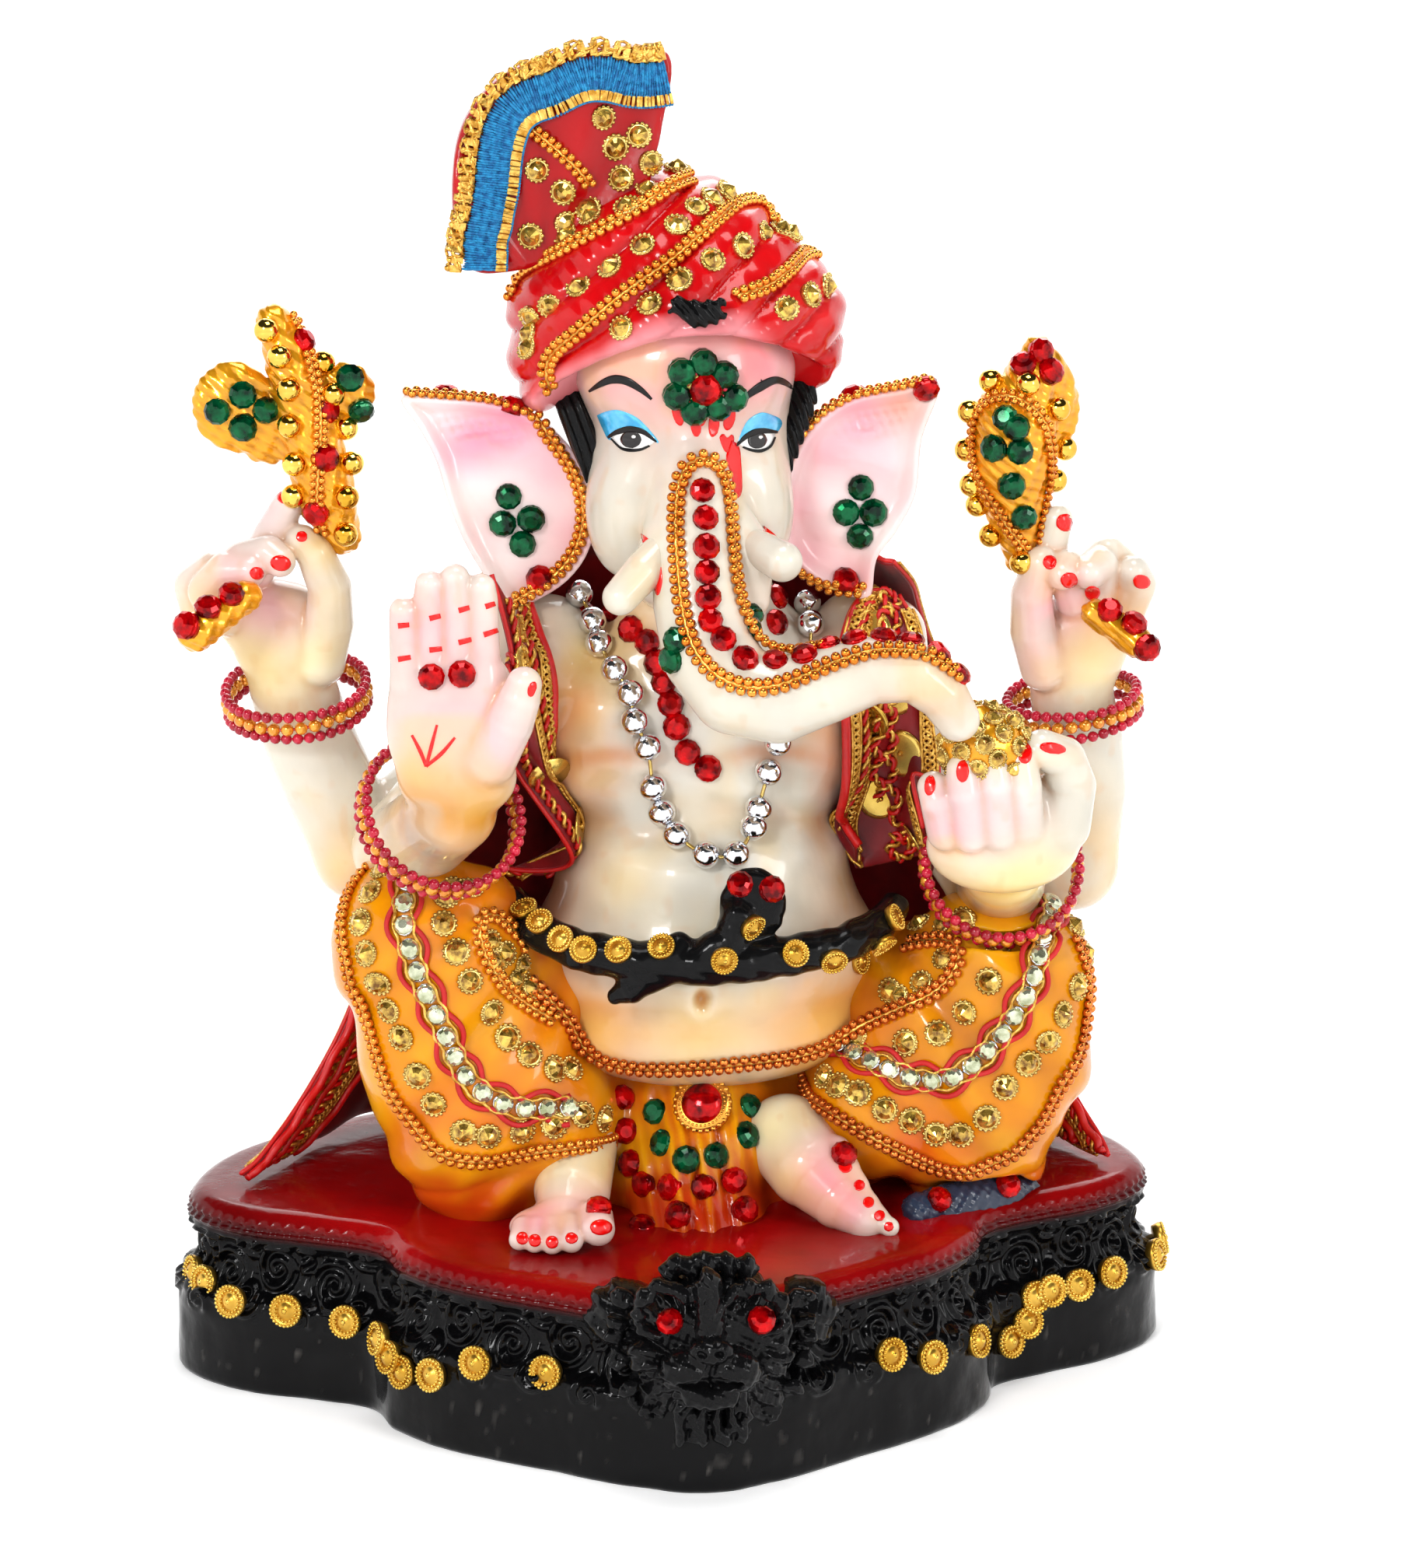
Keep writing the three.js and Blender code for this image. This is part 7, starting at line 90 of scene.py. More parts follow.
def sd_prim(q, X, Y, Z):
    if q[0] == "e":
        R = rotm(*q[7:10]); r = np.array(q[4:7])
        d = [X-q[1], Y-q[2], Z-q[3]]
        l = [R[0,i]*d[0]+R[1,i]*d[1]+R[2,i]*d[2] for i in range(3)]
        k0 = np.sqrt(sum((l[i]/r[i])**2 for i in range(3)))
        k1 = np.sqrt(sum((l[i]/r[i]**2)**2 for i in range(3)))
        return k0*(k0-1)/np.maximum(k1, 1e-6)
    out = None
    for a, b in zip(q[1:-1], q[2:]):
        pa, pb = np.array(a[:3]), np.array(b[:3]); ba = pb-pa; L = float(ba@ba) + 1e-9
        h = np.clip(((X-pa[0])*ba[0]+(Y-pa[1])*ba[1]+(Z-pa[2])*ba[2])/L, 0, 1)
        d = np.sqrt((X-pa[0]-ba[0]*h)**2+(Y-pa[1]-ba[1]*h)**2+(Z-pa[2]-ba[2]*h)**2) - (a[3]+(b[3]-a[3])*h)
        out = d if out is None else np.minimum(out, d)
    return out
FAR = 9.0
class Grid:
    def __init__(self, lo, hi, vox):
        self.vox = vox
        self.i0 = np.floor(np.array(lo)/vox).astype(int)
        self.n = np.ceil(np.array(hi)/vox).astype(int) - self.i0 + 1
    def axes(self, s):
        return [((np.arange(s[k].start, s[k].stop)+self.i0[k])*self.vox).astype(np.float32) for k in range(3)]
    def full(self): return tuple(slice(0, int(n)) for n in self.n)
    def mesh(self): return np.meshgrid(*self.axes(self.full()), indexing="ij", sparse=True)
    def sub(self, lo, hi):
        a = np.maximum(np.floor(np.array(lo)/self.vox).astype(int)-self.i0, 0)
        b = np.minimum(np.ceil(np.array(hi)/self.vox).astype(int)-self.i0+1, self.n)
        return None if (b <= a).any() else tuple(slice(int(i), int(j)) for i, j in zip(a, b))
def prim_size(q): return max(q[4:7]) if q[0] == "e" else max(s[3] for s in q[1:])
def add_prims(g, f, prims, k, kf=None, sign=1):
    for q in prims:
        kk = k if (kf is None or prim_size(q) > 6.3) else kf
        lo, hi = prim_box(q); pad = max(kk, 1)+4; s = g.sub(lo-pad, hi+pad)
        if s is None: continue
        X, Y, Z = np.meshgrid(*g.axes(s), indexing="ij", sparse=True)
        d = sd_prim(q, X, Y, Z).astype(np.float32)
        f[s] = smin(f[s], d, kk) if sign > 0 else smax(f[s], -d, kk)
    return f
def box_of(prims, m=3.0):
    b = [prim_box(q) for q in prims]
    return np.min([x[0] for x in b], 0)-m, np.max([x[1] for x in b], 0)+m
def mesh_of(g, f):
    grid = vdb.FloatGrid(FAR); grid.copyFromArray(np.ascontiguousarray(f, np.float32))
    pts, quads = grid.convertToQuads(isovalue=0.0)
    V = (np.asarray(pts, np.float64) + g.i0)*g.vox; Q = np.asarray(quads).astype(np.int32); c = V.mean(0)
    vol = np.einsum("ij,ij->i", V[Q[:, 0]]-c, np.cross(V[Q[:, 1]]-c, V[Q[:, 2]]-c)).sum()+np.einsum("ij,ij->i", V[Q[:, 0]]-c, np.cross(V[Q[:, 2]]-c, V[Q[:, 3]]-c)).sum()
    return V, (Q if vol > 0 else Q[:, ::-1].copy())
def biggest(pts, quads):
    # keep the largest connected shell and drop loose crumbs
    n = len(pts); lab = np.arange(n)
    e = np.concatenate([quads[:, [0,1]], quads[:, [1,2]], quads[:, [2,3]], quads[:, [3,0]]])
    while True:
        m = np.minimum(lab[e[:,0]], lab[e[:,1]]); new = lab.copy()
        np.minimum.at(new, e[:,0], m); np.minimum.at(new, e[:,1], m)
        new = new[new]
        if (new == lab).all(): break
        lab = new
    u, c = np.unique(lab[quads[:,0]], return_counts=True)
    keep = set(u[c > max(60, 0.02*c.max())].tolist())
    q = quads[np.isin(lab[quads[:,0]], list(keep))]
    idx = np.unique(q); mp = np.full(n, -1); mp[idx] = np.arange(len(idx))
    return pts[idx], mp[q].astype(np.int32)
def edges_of(F): return np.unique(np.sort(np.concatenate([F[:, [i, (i+1) % F.shape[1]]] for i in range(F.shape[1])]), axis=1), axis=0)
def relax(pts, F, it=2, lam=0.5, mu=-0.52):
    E = edges_of(F); deg = np.bincount(E.ravel(), minlength=len(pts)).astype(float)[:, None]; deg[deg == 0] = 1
    p = pts.copy()
    for k in range(it*2):
        s = np.zeros_like(p)
        for j in range(3): s[:, j] = np.bincount(E[:,0], p[E[:,1], j], len(p)) + np.bincount(E[:,1], p[E[:,0], j], len(p))
        p += (lam if k % 2 == 0 else mu)*(s/deg - p)
    return p
def normals(pts, F):
    a, b, c = pts[F[:,0]], pts[F[:,1]], pts[F[:,2]]
    d = pts[F[:,3]] if F.shape[1] == 4 else c
    n = np.cross(c-a, d-b) if F.shape[1] == 4 else np.cross(b-a, c-a)
    v = np.zeros_like(pts)
    for i in range(F.shape[1]):
        for j in range(3): v[:, j] += np.bincount(F[:,i], n[:,j], len(pts))
    return v/np.maximum(np.linalg.norm(v, axis=1, keepdims=True), 1e-9)
def cavity(pts, F, it=14):
    E = edges_of(F); deg = np.bincount(E.ravel(), minlength=len(pts)).astype(float)[:, None]; deg[deg == 0] = 1
    p = pts.copy()
    for k in range(it):
        s = np.zeros_like(p)
        for j in range(3): s[:, j] = np.bincount(E[:,0], p[E[:,1], j], len(p)) + np.bincount(E[:,1], p[E[:,0], j], len(p))
        p = 0.5*p + 0.5*s/deg
    return ((p-pts)*normals(pts, F)).sum(1)      # > 0 in hollows, < 0 on crests, mm
def vnoise(P, scale, seed=0):
    # smooth value noise, deterministic
    q = P/scale; i = np.floor(q).astype(np.int64); f = q-i; f = f*f*(3-2*f)
    def h(ix, iy, iz):
        n = (ix*374761393 + iy*668265263 + iz*2147483647 + seed*1274126177) & 0xffffffff
        n = ((n ^ (n >> 13))*1274126177) & 0xffffffff
        return ((n ^ (n >> 16)) & 0xffff)/65535.0
    r = 0
    for a in (0,1):
        for b in (0,1):
            for c in (0,1):
                w = (f[...,0] if a else 1-f[...,0])*(f[...,1] if b else 1-f[...,1])*(f[...,2] if c else 1-f[...,2])
                r = r + w*h(i[...,0]+a, i[...,1]+b, i[...,2]+c)
    return r

# ------------------------------------------------------------------ materials
def new_mat(name):
    m = bpy.data.materials.new(name); m.use_nodes = True; t = m.node_tree; b = t.nodes["Principled BSDF"]
    return m, t, b
def setv(b, **kw):
    for k, v in kw.items():
        k = k.replace("_", " ")
        if k in b.inputs: b.inputs[k].default_value = v
def noise(t, scale, detail=3.0, rough=0.55, vec=None):
    n = t.nodes.new("ShaderNodeTexNoise"); n.inputs["Scale"].default_value = scale; n.inputs["Detail"].default_value = detail; n.inputs["Roughness"].default_value = rough
    c = t.nodes.new("ShaderNodeTexCoord"); t.links.new(c.outputs["Object"], n.inputs["Vector"]); return n
def bump(t, b, src, strength, dist, chain=None):
    n = t.nodes.new("ShaderNodeBump"); n.inputs["Strength"].default_value = strength; n.inputs["Distance"].default_value = dist
    t.links.new(src, n.inputs["Height"])
    if chain is not None: t.links.new(chain.outputs["Normal"], n.inputs["Normal"])
    t.links.new(n.outputs["Normal"], b.inputs["Normal"]); return n
def lacquer(name, rough=0.2, coat=0.7, coat_rough=0.05, sss=0.0, sss_col=(1, .75, .6), bumps=((60, 0.25, 0.0006), (420, 0.12, 0.00015)), spec=0.5, vary=0.05, metallic=0.0):
    m, t, b = new_mat(name)
    a = t.nodes.new("ShaderNodeAttribute"); a.attribute_name = "paint"
    n = noise(t, 35.0, 4.0); mp = t.nodes.new("ShaderNodeMapRange"); mp.inputs["From Min"].default_value = .3; mp.inputs["From Max"].default_value = .7
    mp.inputs["To Min"].default_value = 1-vary; mp.inputs["To Max"].default_value = 1+vary; t.links.new(n.outputs["Fac"], mp.inputs["Value"])
    mx = t.nodes.new("ShaderNodeMix"); mx.data_type = "RGBA"; mx.blend_type = "MULTIPLY"; mx.inputs["Factor"].default_value = 1.0
    cb = t.nodes.new("ShaderNodeCombineColor")
    for s in ("Red", "Green", "Blue"): t.links.new(mp.outputs["Result"], cb.inputs[s])
    t.links.new(a.outputs["Color"], mx.inputs["A"]); t.links.new(cb.outputs["Color"], mx.inputs["B"]); t.links.new(mx.outputs["Result"], b.inputs["Base Color"])
    r = t.nodes.new("ShaderNodeMapRange"); r.inputs["To Min"].default_value = rough*0.8; r.inputs["To Max"].default_value = rough*1.35
    nr = noise(t, 90.0, 3.0); t.links.new(nr.outputs["Fac"], r.inputs["Value"]); t.links.new(r.outputs["Result"], b.inputs["Roughness"])
    setv(b, Coat_Weight=coat, Coat_Roughness=coat_rough, Metallic=metallic)
    b.inputs["Specular IOR Level"].default_value = spec
    if sss > 0:
        b.inputs["Subsurface Weight"].default_value = sss; b.inputs["Subsurface Radius"].default_value = sss_col; b.inputs["Subsurface Scale"].default_value = 0.003
    prev = None
    for sc, st, ds in bumps:
        nn = noise(t, sc, 3.0); prev = bump(t, b, nn.outputs["Fac"], st, ds, prev)
    return m
def solid_mat(name, col, rough, metallic=0.0, coat=0.0, bumps=((400, 0.15, 0.0001),), vary=0.12, spec=0.5, vscale=220.0, col2=None):
    m, t, b = new_mat(name)
    n = noise(t, vscale, 3.0); cr = t.nodes.new("ShaderNodeValToRGB")
    c = np.array(col[:3]); c2 = np.array(col2[:3]) if col2 is not None else np.clip(c*(1+vary), 0, 1); c1 = c if col2 is not None else c*(1-vary)
    cr.color_ramp.elements[0].position = .35; cr.color_ramp.elements[0].color = (*c1, 1); cr.color_ramp.elements[1].position = .65; cr.color_ramp.elements[1].color = (*c2, 1)
    t.links.new(n.outputs["Fac"], cr.inputs["Fac"]); t.links.new(cr.outputs["Color"], b.inputs["Base Color"])
    r = t.nodes.new("ShaderNodeMapRange"); r.inputs["To Min"].default_value = rough*0.75; r.inputs["To Max"].default_value = min(1, rough*1.3)
    nr = noise(t, 150.0, 2.0); t.links.new(nr.outputs["Fac"], r.inputs["Value"]); t.links.new(r.outputs["Result"], b.inputs["Roughness"])
    setv(b, Metallic=metallic, Coat_Weight=coat, Coat_Roughness=0.04); b.inputs["Specular IOR Level"].default_value = spec
    prev = None
    for sc, st, ds in bumps:
        nn = noise(t, sc, 2.0); prev = bump(t, b, nn.outputs["Fac"], st, ds, prev)
    return m

MT = {}
MT["skin"] = lacquer("skin_resin", rough=0.20, coat=0.45, coat_rough=0.04, sss=0.10, vary=0.05, spec=0.3, bumps=((75, 0.42, 0.0010), (260, 0.16, 0.0003)))
MT["dhoti"] = lacquer("amber_resin", rough=0.2, coat=0.35, coat_rough=0.04, vary=0.14, spec=0.16, bumps=((60, 0.35, 0.0010), (260, 0.12, 0.0003)))
MT["black"] = lacquer("black_resin", rough=0.2, coat=0.6, coat_rough=0.06, vary=0.3, spec=0.05, bumps=((110, 0.6, 0.0009), (380, 0.35, 0.0003)))
MT["black"].node_tree.nodes["Principled BSDF"].inputs["Coat IOR"].default_value = 1.24
MT["turban"] = lacquer("turban_resin", rough=0.2, coat=0.3, coat_rough=0.04, vary=0.12, spec=0.14, bumps=((90, 0.4, 0.0008), (350, 0.2, 0.0002)))
MT["slate"] = lacquer("slate_resin", rough=0.25, coat=0.5, vary=0.2, spec=0.15, bumps=((160, 0.5, 0.0008),))
MT["goldpaint"] = lacquer("gold_paint", rough=0.24, coat=0.6, metallic=0.6, vary=0.2, spec=0.3, bumps=((130, 0.5, 0.0008), (500, 0.3, 0.0002)))
MT["plated"] = solid_mat("plated_gold", lin((212, 160, 48)), 0.1, 1.0, col2=lin((248, 214, 104)), vscale=90, bumps=())
MT["chain"] = solid_mat("chain_gold", lin((208, 124, 40)), 0.2, 0.9, col2=lin((240, 164, 70)), vscale=60)
MT["chainc"] = solid_mat("chain_copper", lin((186, 96, 36)), 0.2, 0.9, col2=lin((224, 134, 62)), vscale=60)
MT["chain2"] = solid_mat("chain_gold", lin((214, 140, 44)), 0.2, 0.95, col2=lin((240, 176, 80)), vscale=60)
MT["rim"] = solid_mat("stone_rim_gold", lin((176, 146, 74)), 0.25, 0.95, col2=lin((222, 196, 120)))
# the noise ramps each stone's colour from dark to bright across its facets: painted glints on the cut stones
MT["champ"] = solid_mat("champagne_stone", lin((112, 70, 8)), 0.08, 0.75, coat=0.6, col2=lin((246, 204, 90)), vscale=560, bumps=(), spec=0.3)
MT["ruby"] = solid_mat("ruby_stone", lin((84, 0, 4)), 0.12, 0.5, coat=0.25, col2=lin((214, 2, 8)), vscale=300, bumps=(), spec=0.12)
MT["emerald"] = solid_mat("emerald_stone", lin((0, 24, 14)), 0.1, 0.5, coat=0.3, col2=lin((0, 96, 54)), vscale=330, bumps=(), spec=0.12)
MT["silver"] = solid_mat("silver_plate", (0.74, 0.75, 0.78), 0.1, 1.0, vary=0.03, bumps=())
MT["sequin_d"] = solid_mat("sequin_gold_deep", lin((178, 130, 38)), 0.3, 0.95, col2=lin((222, 178, 78)), vscale=120)
MT["sequin"] = solid_mat("sequin_gold", lin((206, 162, 52)), 0.22, 0.95, col2=lin((240, 206, 104)), vscale=120)
MT["brass_disc"] = solid_mat("brass_disc", lin((190, 150, 50)), 0.22, 0.9, col2=lin((238, 206, 110)), vscale=90)
MT["redbead"] = solid_mat("crimson_seed", lin((146, 4, 30)), 0.22, 0.1, coat=0.4, col2=lin((196, 18, 54)), vscale=180, spec=0.35)
MT["goldbead"] = solid_mat("amber_seed", lin((206, 120, 20)), 0.18, 0.55, coat=0.8, col2=lin((244, 166, 44)), vscale=180)
MT["thread_red"] = solid_mat("red_thread", lin((186, 14, 18)), 0.6, 0.0, bumps=((1400, 0.6, 0.0002),))
MT["thread_gold"] = solid_mat("gold_thread", lin((186, 130, 40)), 0.3, 0.85, col2=lin((240, 196, 100)), vscale=700, bumps=((1500, 0.8, 0.0002),))
MT["crystal"] = solid_mat("clear_stone", lin((150, 156, 112)), 0.06, 0.8, coat=1.0, col2=lin((232, 236, 208)), vscale=330, bumps=())
MT["blue_yarn"] = solid_mat("blue_yarn", lin((4, 84, 140)), 0.8, 0.0, col2=lin((30, 138, 190)), vscale=900, bumps=((1300, 0.9, 0.0005),))
MT["satin"] = solid_mat("maroon_satin", lin((88, 0, 8)), 0.36, 0.0, col2=lin((140, 6, 16)), vscale=60, bumps=((1800, 0.35, 0.0001),), spec=0.3)
MT["satin"].node_tree.nodes["Principled BSDF"].inputs["Sheen Weight"].default_value = 0.08
MT["piping"] = solid_mat("red_piping", lin((196, 10, 12)), 0.4, 0.0, bumps=((900, 0.5, 0.0002),))
MT["paint_red"] = solid_mat("nail_red", lin((222, 6, 4)), 0.2, 0.0, coat=0.4, vary=0.06, spec=0.3)
MT["paint_black"] = solid_mat("brow_black", lin((10, 8, 8)), 0.3, 0.0, coat=0.2, vary=0.05, spec=0.2)
MT["paint_blue"] = solid_mat("lid_blue", lin((52, 164, 222)), 0.2, 0.0, coat=0.6, col2=lin((96, 200, 240)), vscale=300)
MT["paint_white"] = solid_mat("eye_white", lin((236, 234, 230)), 0.1, 0.0, coat=0.9, vary=0.02)
MT["paint_iris"] = solid_mat("iris_brown", lin((14, 6, 5)), 0.15, 0.0, coat=0.5, vary=0.3, vscale=900, spec=0.3)
MT["paint_gold"] = solid_mat("bangle_gold", lin((196, 128, 24)), 0.3, 0.6, coat=0.4, bumps=((500, 0.8, 0.0004),))

# ------------------------------------------------------------------ object makers
def make(name, pts, F, mat, body="figure", smooth=True, replaces=(), paint=None):
    pts = (np.asarray(pts, float)+OFF)*0.001; F = np.asarray(F, np.int32); k = F.shape[1]
    me = bpy.data.meshes.new(name); me.vertices.add(len(pts)); me.vertices.foreach_set("co", pts.astype(np.float32).ravel())
    me.loops.add(F.size); me.loops.foreach_set("vertex_index", F.ravel())
    me.polygons.add(len(F)); me.polygons.foreach_set("loop_start", np.arange(0, F.size, k, dtype=np.int32)); 
    me.update(calc_edges=True)
    me.polygons.foreach_set("use_smooth", np.full(len(F), bool(smooth)))
    me.validate(clean_customdata=False)
    if paint is not None:
        at = me.color_attributes.new("paint", "FLOAT_COLOR", "POINT"); c = np.ones((len(pts), 4), np.float32); c[:, :3] = np.clip(paint, 0, 1); at.data.foreach_set("color", c.ravel())
    o = bpy.data.objects.new(name, me); bpy.context.scene.collection.objects.link(o)
    for m in (mat if isinstance(mat, (list, tuple)) else [mat]): me.materials.append(m)
    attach(o, body)
    if replaces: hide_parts(*replaces)
    return o
def set_mats(o, idx): o.data.polygons.foreach_set("material_index", np.asarray(idx, np.int32)); o.data.update()
class Soup:
    """Collects transformed copies of small triangle templates into one mesh with several materials."""
    def __init__(self): self.V, self.F, self.M, self.S, self.n = [], [], [], [], 0
    def add(self, tmpl, pos, R, scale=1.0, mat=0):
        V, F, sm = tmpl; pos = np.atleast_2d(pos); R = np.asarray(R).reshape(-1, 3, 3); sc = np.broadcast_to(np.atleast_1d(scale), (len(pos),))
        P = np.einsum("nij,vj->nvi", R, V)*sc[:, None, None] + pos[:, None, :]
        k = len(V); f = F[None] + (np.arange(len(pos))*k)[:, None, None] + self.n
        self.V.append(P.reshape(-1, 3)); self.F.append(f.reshape(-1, 3)); self.M.append(np.full(len(pos)*len(F), mat)); self.S.append(np.full(len(pos)*len(F), sm)); self.n += k*len(pos)
    def raw(self, V, F, mat=0, smooth=True):
        F = np.asarray(F); F = F if F.shape[1] == 3 else np.concatenate([F[:, [0,1,2]], F[:, [0,2,3]]])
        self.V.append(np.asarray(V, float)); self.F.append(F+self.n); self.M.append(np.full(len(F), mat)); self.S.append(np.full(len(F), smooth)); self.n += len(V)
    def build(self, name, mats, slot, body="figure", replaces=()):
        o = make(name, np.concatenate(self.V), np.concatenate(self.F), mats, body, True, replaces)
        if len(o.data.polygons) == sum(len(f) for f in self.F):
            set_mats(o, np.concatenate(self.M)); o.data.polygons.foreach_set("use_smooth", np.concatenate(self.S).astype(bool)); o.data.update()
        return o
def ico(level):
    import bmesh
    bm = bmesh.new(); bmesh.ops.create_icosphere(bm, subdivisions=level, radius=1.0)
    bm.verts.ensure_lookup_table(); V = np.array([v.co for v in bm.verts]); F = np.array([[v.index for v in f.verts] for f in bm.faces]); bm.free()
    return V, F, True
ICO1, ICO2, ICO3 = ico(1), ico(2), ico(3)
def lathe(profile, seg, smooth=True):
    """closed solid of revolution about +Z from (r, z) pairs, first and last on the axis"""
    V = []; F = []; rows = []
    for r, z in profile:
        if r < 1e-6: rows.append([len(V)]); V.append((0, 0, z))
        else: rows.append(list(range(len(V), len(V)+seg))); V += [(r*math.cos(2*math.pi*i/seg), r*math.sin(2*math.pi*i/seg), z) for i in range(seg)]
    for a, b in zip(rows[:-1], rows[1:]):
        for i in range(seg):
            j = (i+1) % seg
            if len(a) == 1 and len(b) > 1: F.append((a[0], b[j], b[i]))
            elif len(b) == 1 and len(a) > 1: F.append((a[i], a[j], b[0]))
            elif len(a) > 1: F += [(a[i], a[j], b[j]), (a[i], b[j], b[i])]
    V = np.array(V, float); F = np.array(F)
    if (np.einsum("ij,ij->i", V[F[:,0]], np.cross(V[F[:,1]], V[F[:,2]])).sum() < 0): F = F[:, ::-1]
    return V, F, smooth
def merge(*ts):
    V = []; F = []; n = 0
    for v, f, s in ts: V.append(v); F.append(f+n); n += len(v)
    return np.concatenate(V), np.concatenate(F), ts[0][2]
def moved(t, p, s=1.0): return t[0]*s+np.array(p), t[1], t[2]
# cut stones, unit girdle radius, base at z=0
GEM = lathe([(0, 0), (1.0, 0), (1.0, 0.2), (0.78, 0.5), (0.46, 0.66), (0, 0.66)], 10, False)
CONE = lathe([(0, 0), (1.0, 0), (1.0, 0.15), (0.55, 0.55), (0, 0.85)], 12, False)
DOT = ICO1
def frames(N, T):
    N = N/np.linalg.norm(N, axis=1, keepdims=True); T = T-N*(T*N).sum(1, keepdims=True); T = T/np.maximum(np.linalg.norm(T, axis=1, keepdims=True), 1e-9)
    return np.stack([T, np.cross(N, T), N], axis=2)        # columns: along, across, out
def any_tangent(N):
    N = np.atleast_2d(N); ref = np.where(np.abs(N[:, 2:3]) > 0.9, [[1.0, 0, 0]], [[0, 0, 1.0]]); return np.cross(ref, N)

# ------------------------------------------------------------------ painted castings
SURF, TREES = {}, {}
def tree(*names):
    key = tuple(sorted(names))
    if key not in TREES:
        V = []; F = []; n = 0
        for k in key: q = SURF[k][1]; q = q if q.shape[1] == 3 else np.concatenate([q[:, [0,1,2]], q[:, [0,2,3]]]); V.append(SURF[k][0]); F.append(q+n); n += len(SURF[k][0])
        V = np.concatenate(V); F = np.concatenate(F)
        TREES[key] = BVHTree.FromPolygons(V.tolist(), F.tolist())
    return TREES[key]
def cast(names, P, maxd=12.0):
    """pushes points along the line of sight onto the named surfaces: positions and outward normals"""
    T = tree(*names); o = Vector(EYE); pts = []; nrm = []
    for p in np.atleast_2d(P):
        d = Vector(p-EYE).normalized(); hit = T.ray_cast(o, d)
        if hit[0] is None or (hit[0]-Vector(p)).length > maxd*2.2:
            hit = T.find_nearest(Vector(p))
        pts.append(hit[0][:]); nrm.append(hit[1][:])
    return np.array(pts), np.array(nrm)
def snap(names, P):
    T = tree(*names); a = [T.find_nearest(Vector(p)) for p in P]; return np.array([x[0][:] for x in a]), np.array([x[1][:] for x in a])
def spots(P, base, key, N=None):
    """soft colour washes, laid on along the viewing direction over the faces turned to it"""
    c = np.tile(np.asarray(base, float), (len(P), 1)); vd = P-EYE; vd /= np.linalg.norm(vd, axis=1, keepdims=True)
    face = 1.0 if N is None else np.clip(-(N*vd).sum(1)*3+0.35, 0, 1)
    for x, y, z, r, col, s in SPOTS.get(key, []):
        q = np.array([x, y, z]); v = q-EYE; v /= np.linalg.norm(v); e = P-q; dp = e@v; d2 = (e*e).sum(1)-dp*dp
        w = s*np.exp(-d2/(r*r)-(dp/24.0)**4)*face; c = c*(1-w[:, None]) + lin(col)*w[:, None]
    return c
def mix(c, col, w): w = np.clip(w, 0, 1)[:, None]; return c*(1-w)+np.asarray(col)*w
IVORY = lin((210, 203, 186))
def casting(name, vox, k, kf, mat, carve=(), kc=1.0, disp=None, color=None, extra=(), smooth_it=1, cut=None, replaces=None, margin=4.0):
    prims = CASTINGS.get(name, [])+list(extra)
    lo, hi = box_of(prims, margin); g = Grid(lo, hi, vox); f = np.full(tuple(g.n), FAR, np.float32)
    add_prims(g, f, prims, k, kf)
    for q in carve: add_prims(g, f, [q], kc, None, -1)
    if disp is not None:
        X, Y, Z = g.mesh(); band = np.abs(f) < 5
        d = np.broadcast_to(disp(X, Y, Z), f.shape); f = np.where(band, f+d, f).astype(np.float32)
    if cut is not None: f = cut(g, f)
    pts, F = mesh_of(g, f); pts, F = biggest(pts, F)
    if smooth_it: pts = relax(pts, F, smooth_it)
    SURF[name] = (pts, F)
    N = normals(pts, F); cav = cavity(pts, F)
    col = color(pts, N, cav) if color else spots(pts, IVORY, name, N)
    o = make(name+"_cast", pts, F, MT[mat], paint=col, replaces=(name,) if replaces is None else replaces)
    log(name, len(F)); return o

def skin_color(key, base=IVORY, amber=0.5):
    def f(P, N, cav):
        c = spots(P, base, key, N)
        # hollows are mixed towards amber: partly the real amber tint in the creases, partly painted shade
        c = mix(c, lin((196, 122, 36)), amber*np.clip(cav*2.8, 0, 0.95))
        # crests are lightened towards near white: a painted highlight
        c = mix(c, lin((246, 244, 238)), np.clip(-cav*1.2, 0, 0.5))
        n = vnoise(P, 9.0, 3); n2 = vnoise(P, 4.0, 8)
        c = mix(c, lin((226, 190, 112)), 0.30*np.clip((n-0.56)*4, 0, 1)); c = mix(c, lin((188, 186, 178)), 0.34*np.clip((0.40-n)*5, 0, 1)); c = mix(c, lin((214, 150, 84)), 0.16*np.clip((vnoise(P, 2.6, 21)-0.72)*6, 0, 1))
        return np.clip(c*(0.95+0.08*n2[:, None]), 0, 1)
    return f

# ------------------------------------------------------------------ camera, lights, floor
scn = bpy.context.scene
cam_d = bpy.data.cameras.new("camera"); cam_d.sensor_fit = "VERTICAL"; cam_d.sensor_height = 36; cam_d.sensor_width = 36; cam_d.lens = 5921/2016*36; cam_d.clip_start = 0.01
cam = bpy.data.objects.new("camera", cam_d); scn.collection.objects.link(cam); cam.location = Vector((EYE+OFF)*0.001)
cam.rotation_euler = (math.pi/2-math.radians(14.7), 0, math.radians(-5.5)); scn.camera = cam
scn.view_settings.view_transform = "Standard"; scn.view_settings.look = "None"
w = bpy.data.worlds.new("studio"); scn.world = w; w.use_nodes = True
w.node_tree.nodes["Background"].inputs["Color"].default_value = (1, 1, 1, 1); w.node_tree.nodes["Background"].inputs["Strength"].default_value = 0.04
def area(name, loc, size, power, target=(0, 0, 0.13)):
    d = bpy.data.lights.new(name, "AREA"); d.shape = "RECTANGLE"; d.size, d.size_y = size; d.energy = power
    o = bpy.data.objects.new(name, d); scn.collection.objects.link(o); o.location = loc
    o.rotation_euler = (Vector(target)-Vector(loc)).to_track_quat("-Z", "Y").to_euler()
area("key", (-0.50, -0.80, 0.70), (0.2, 0.2), 4.9)
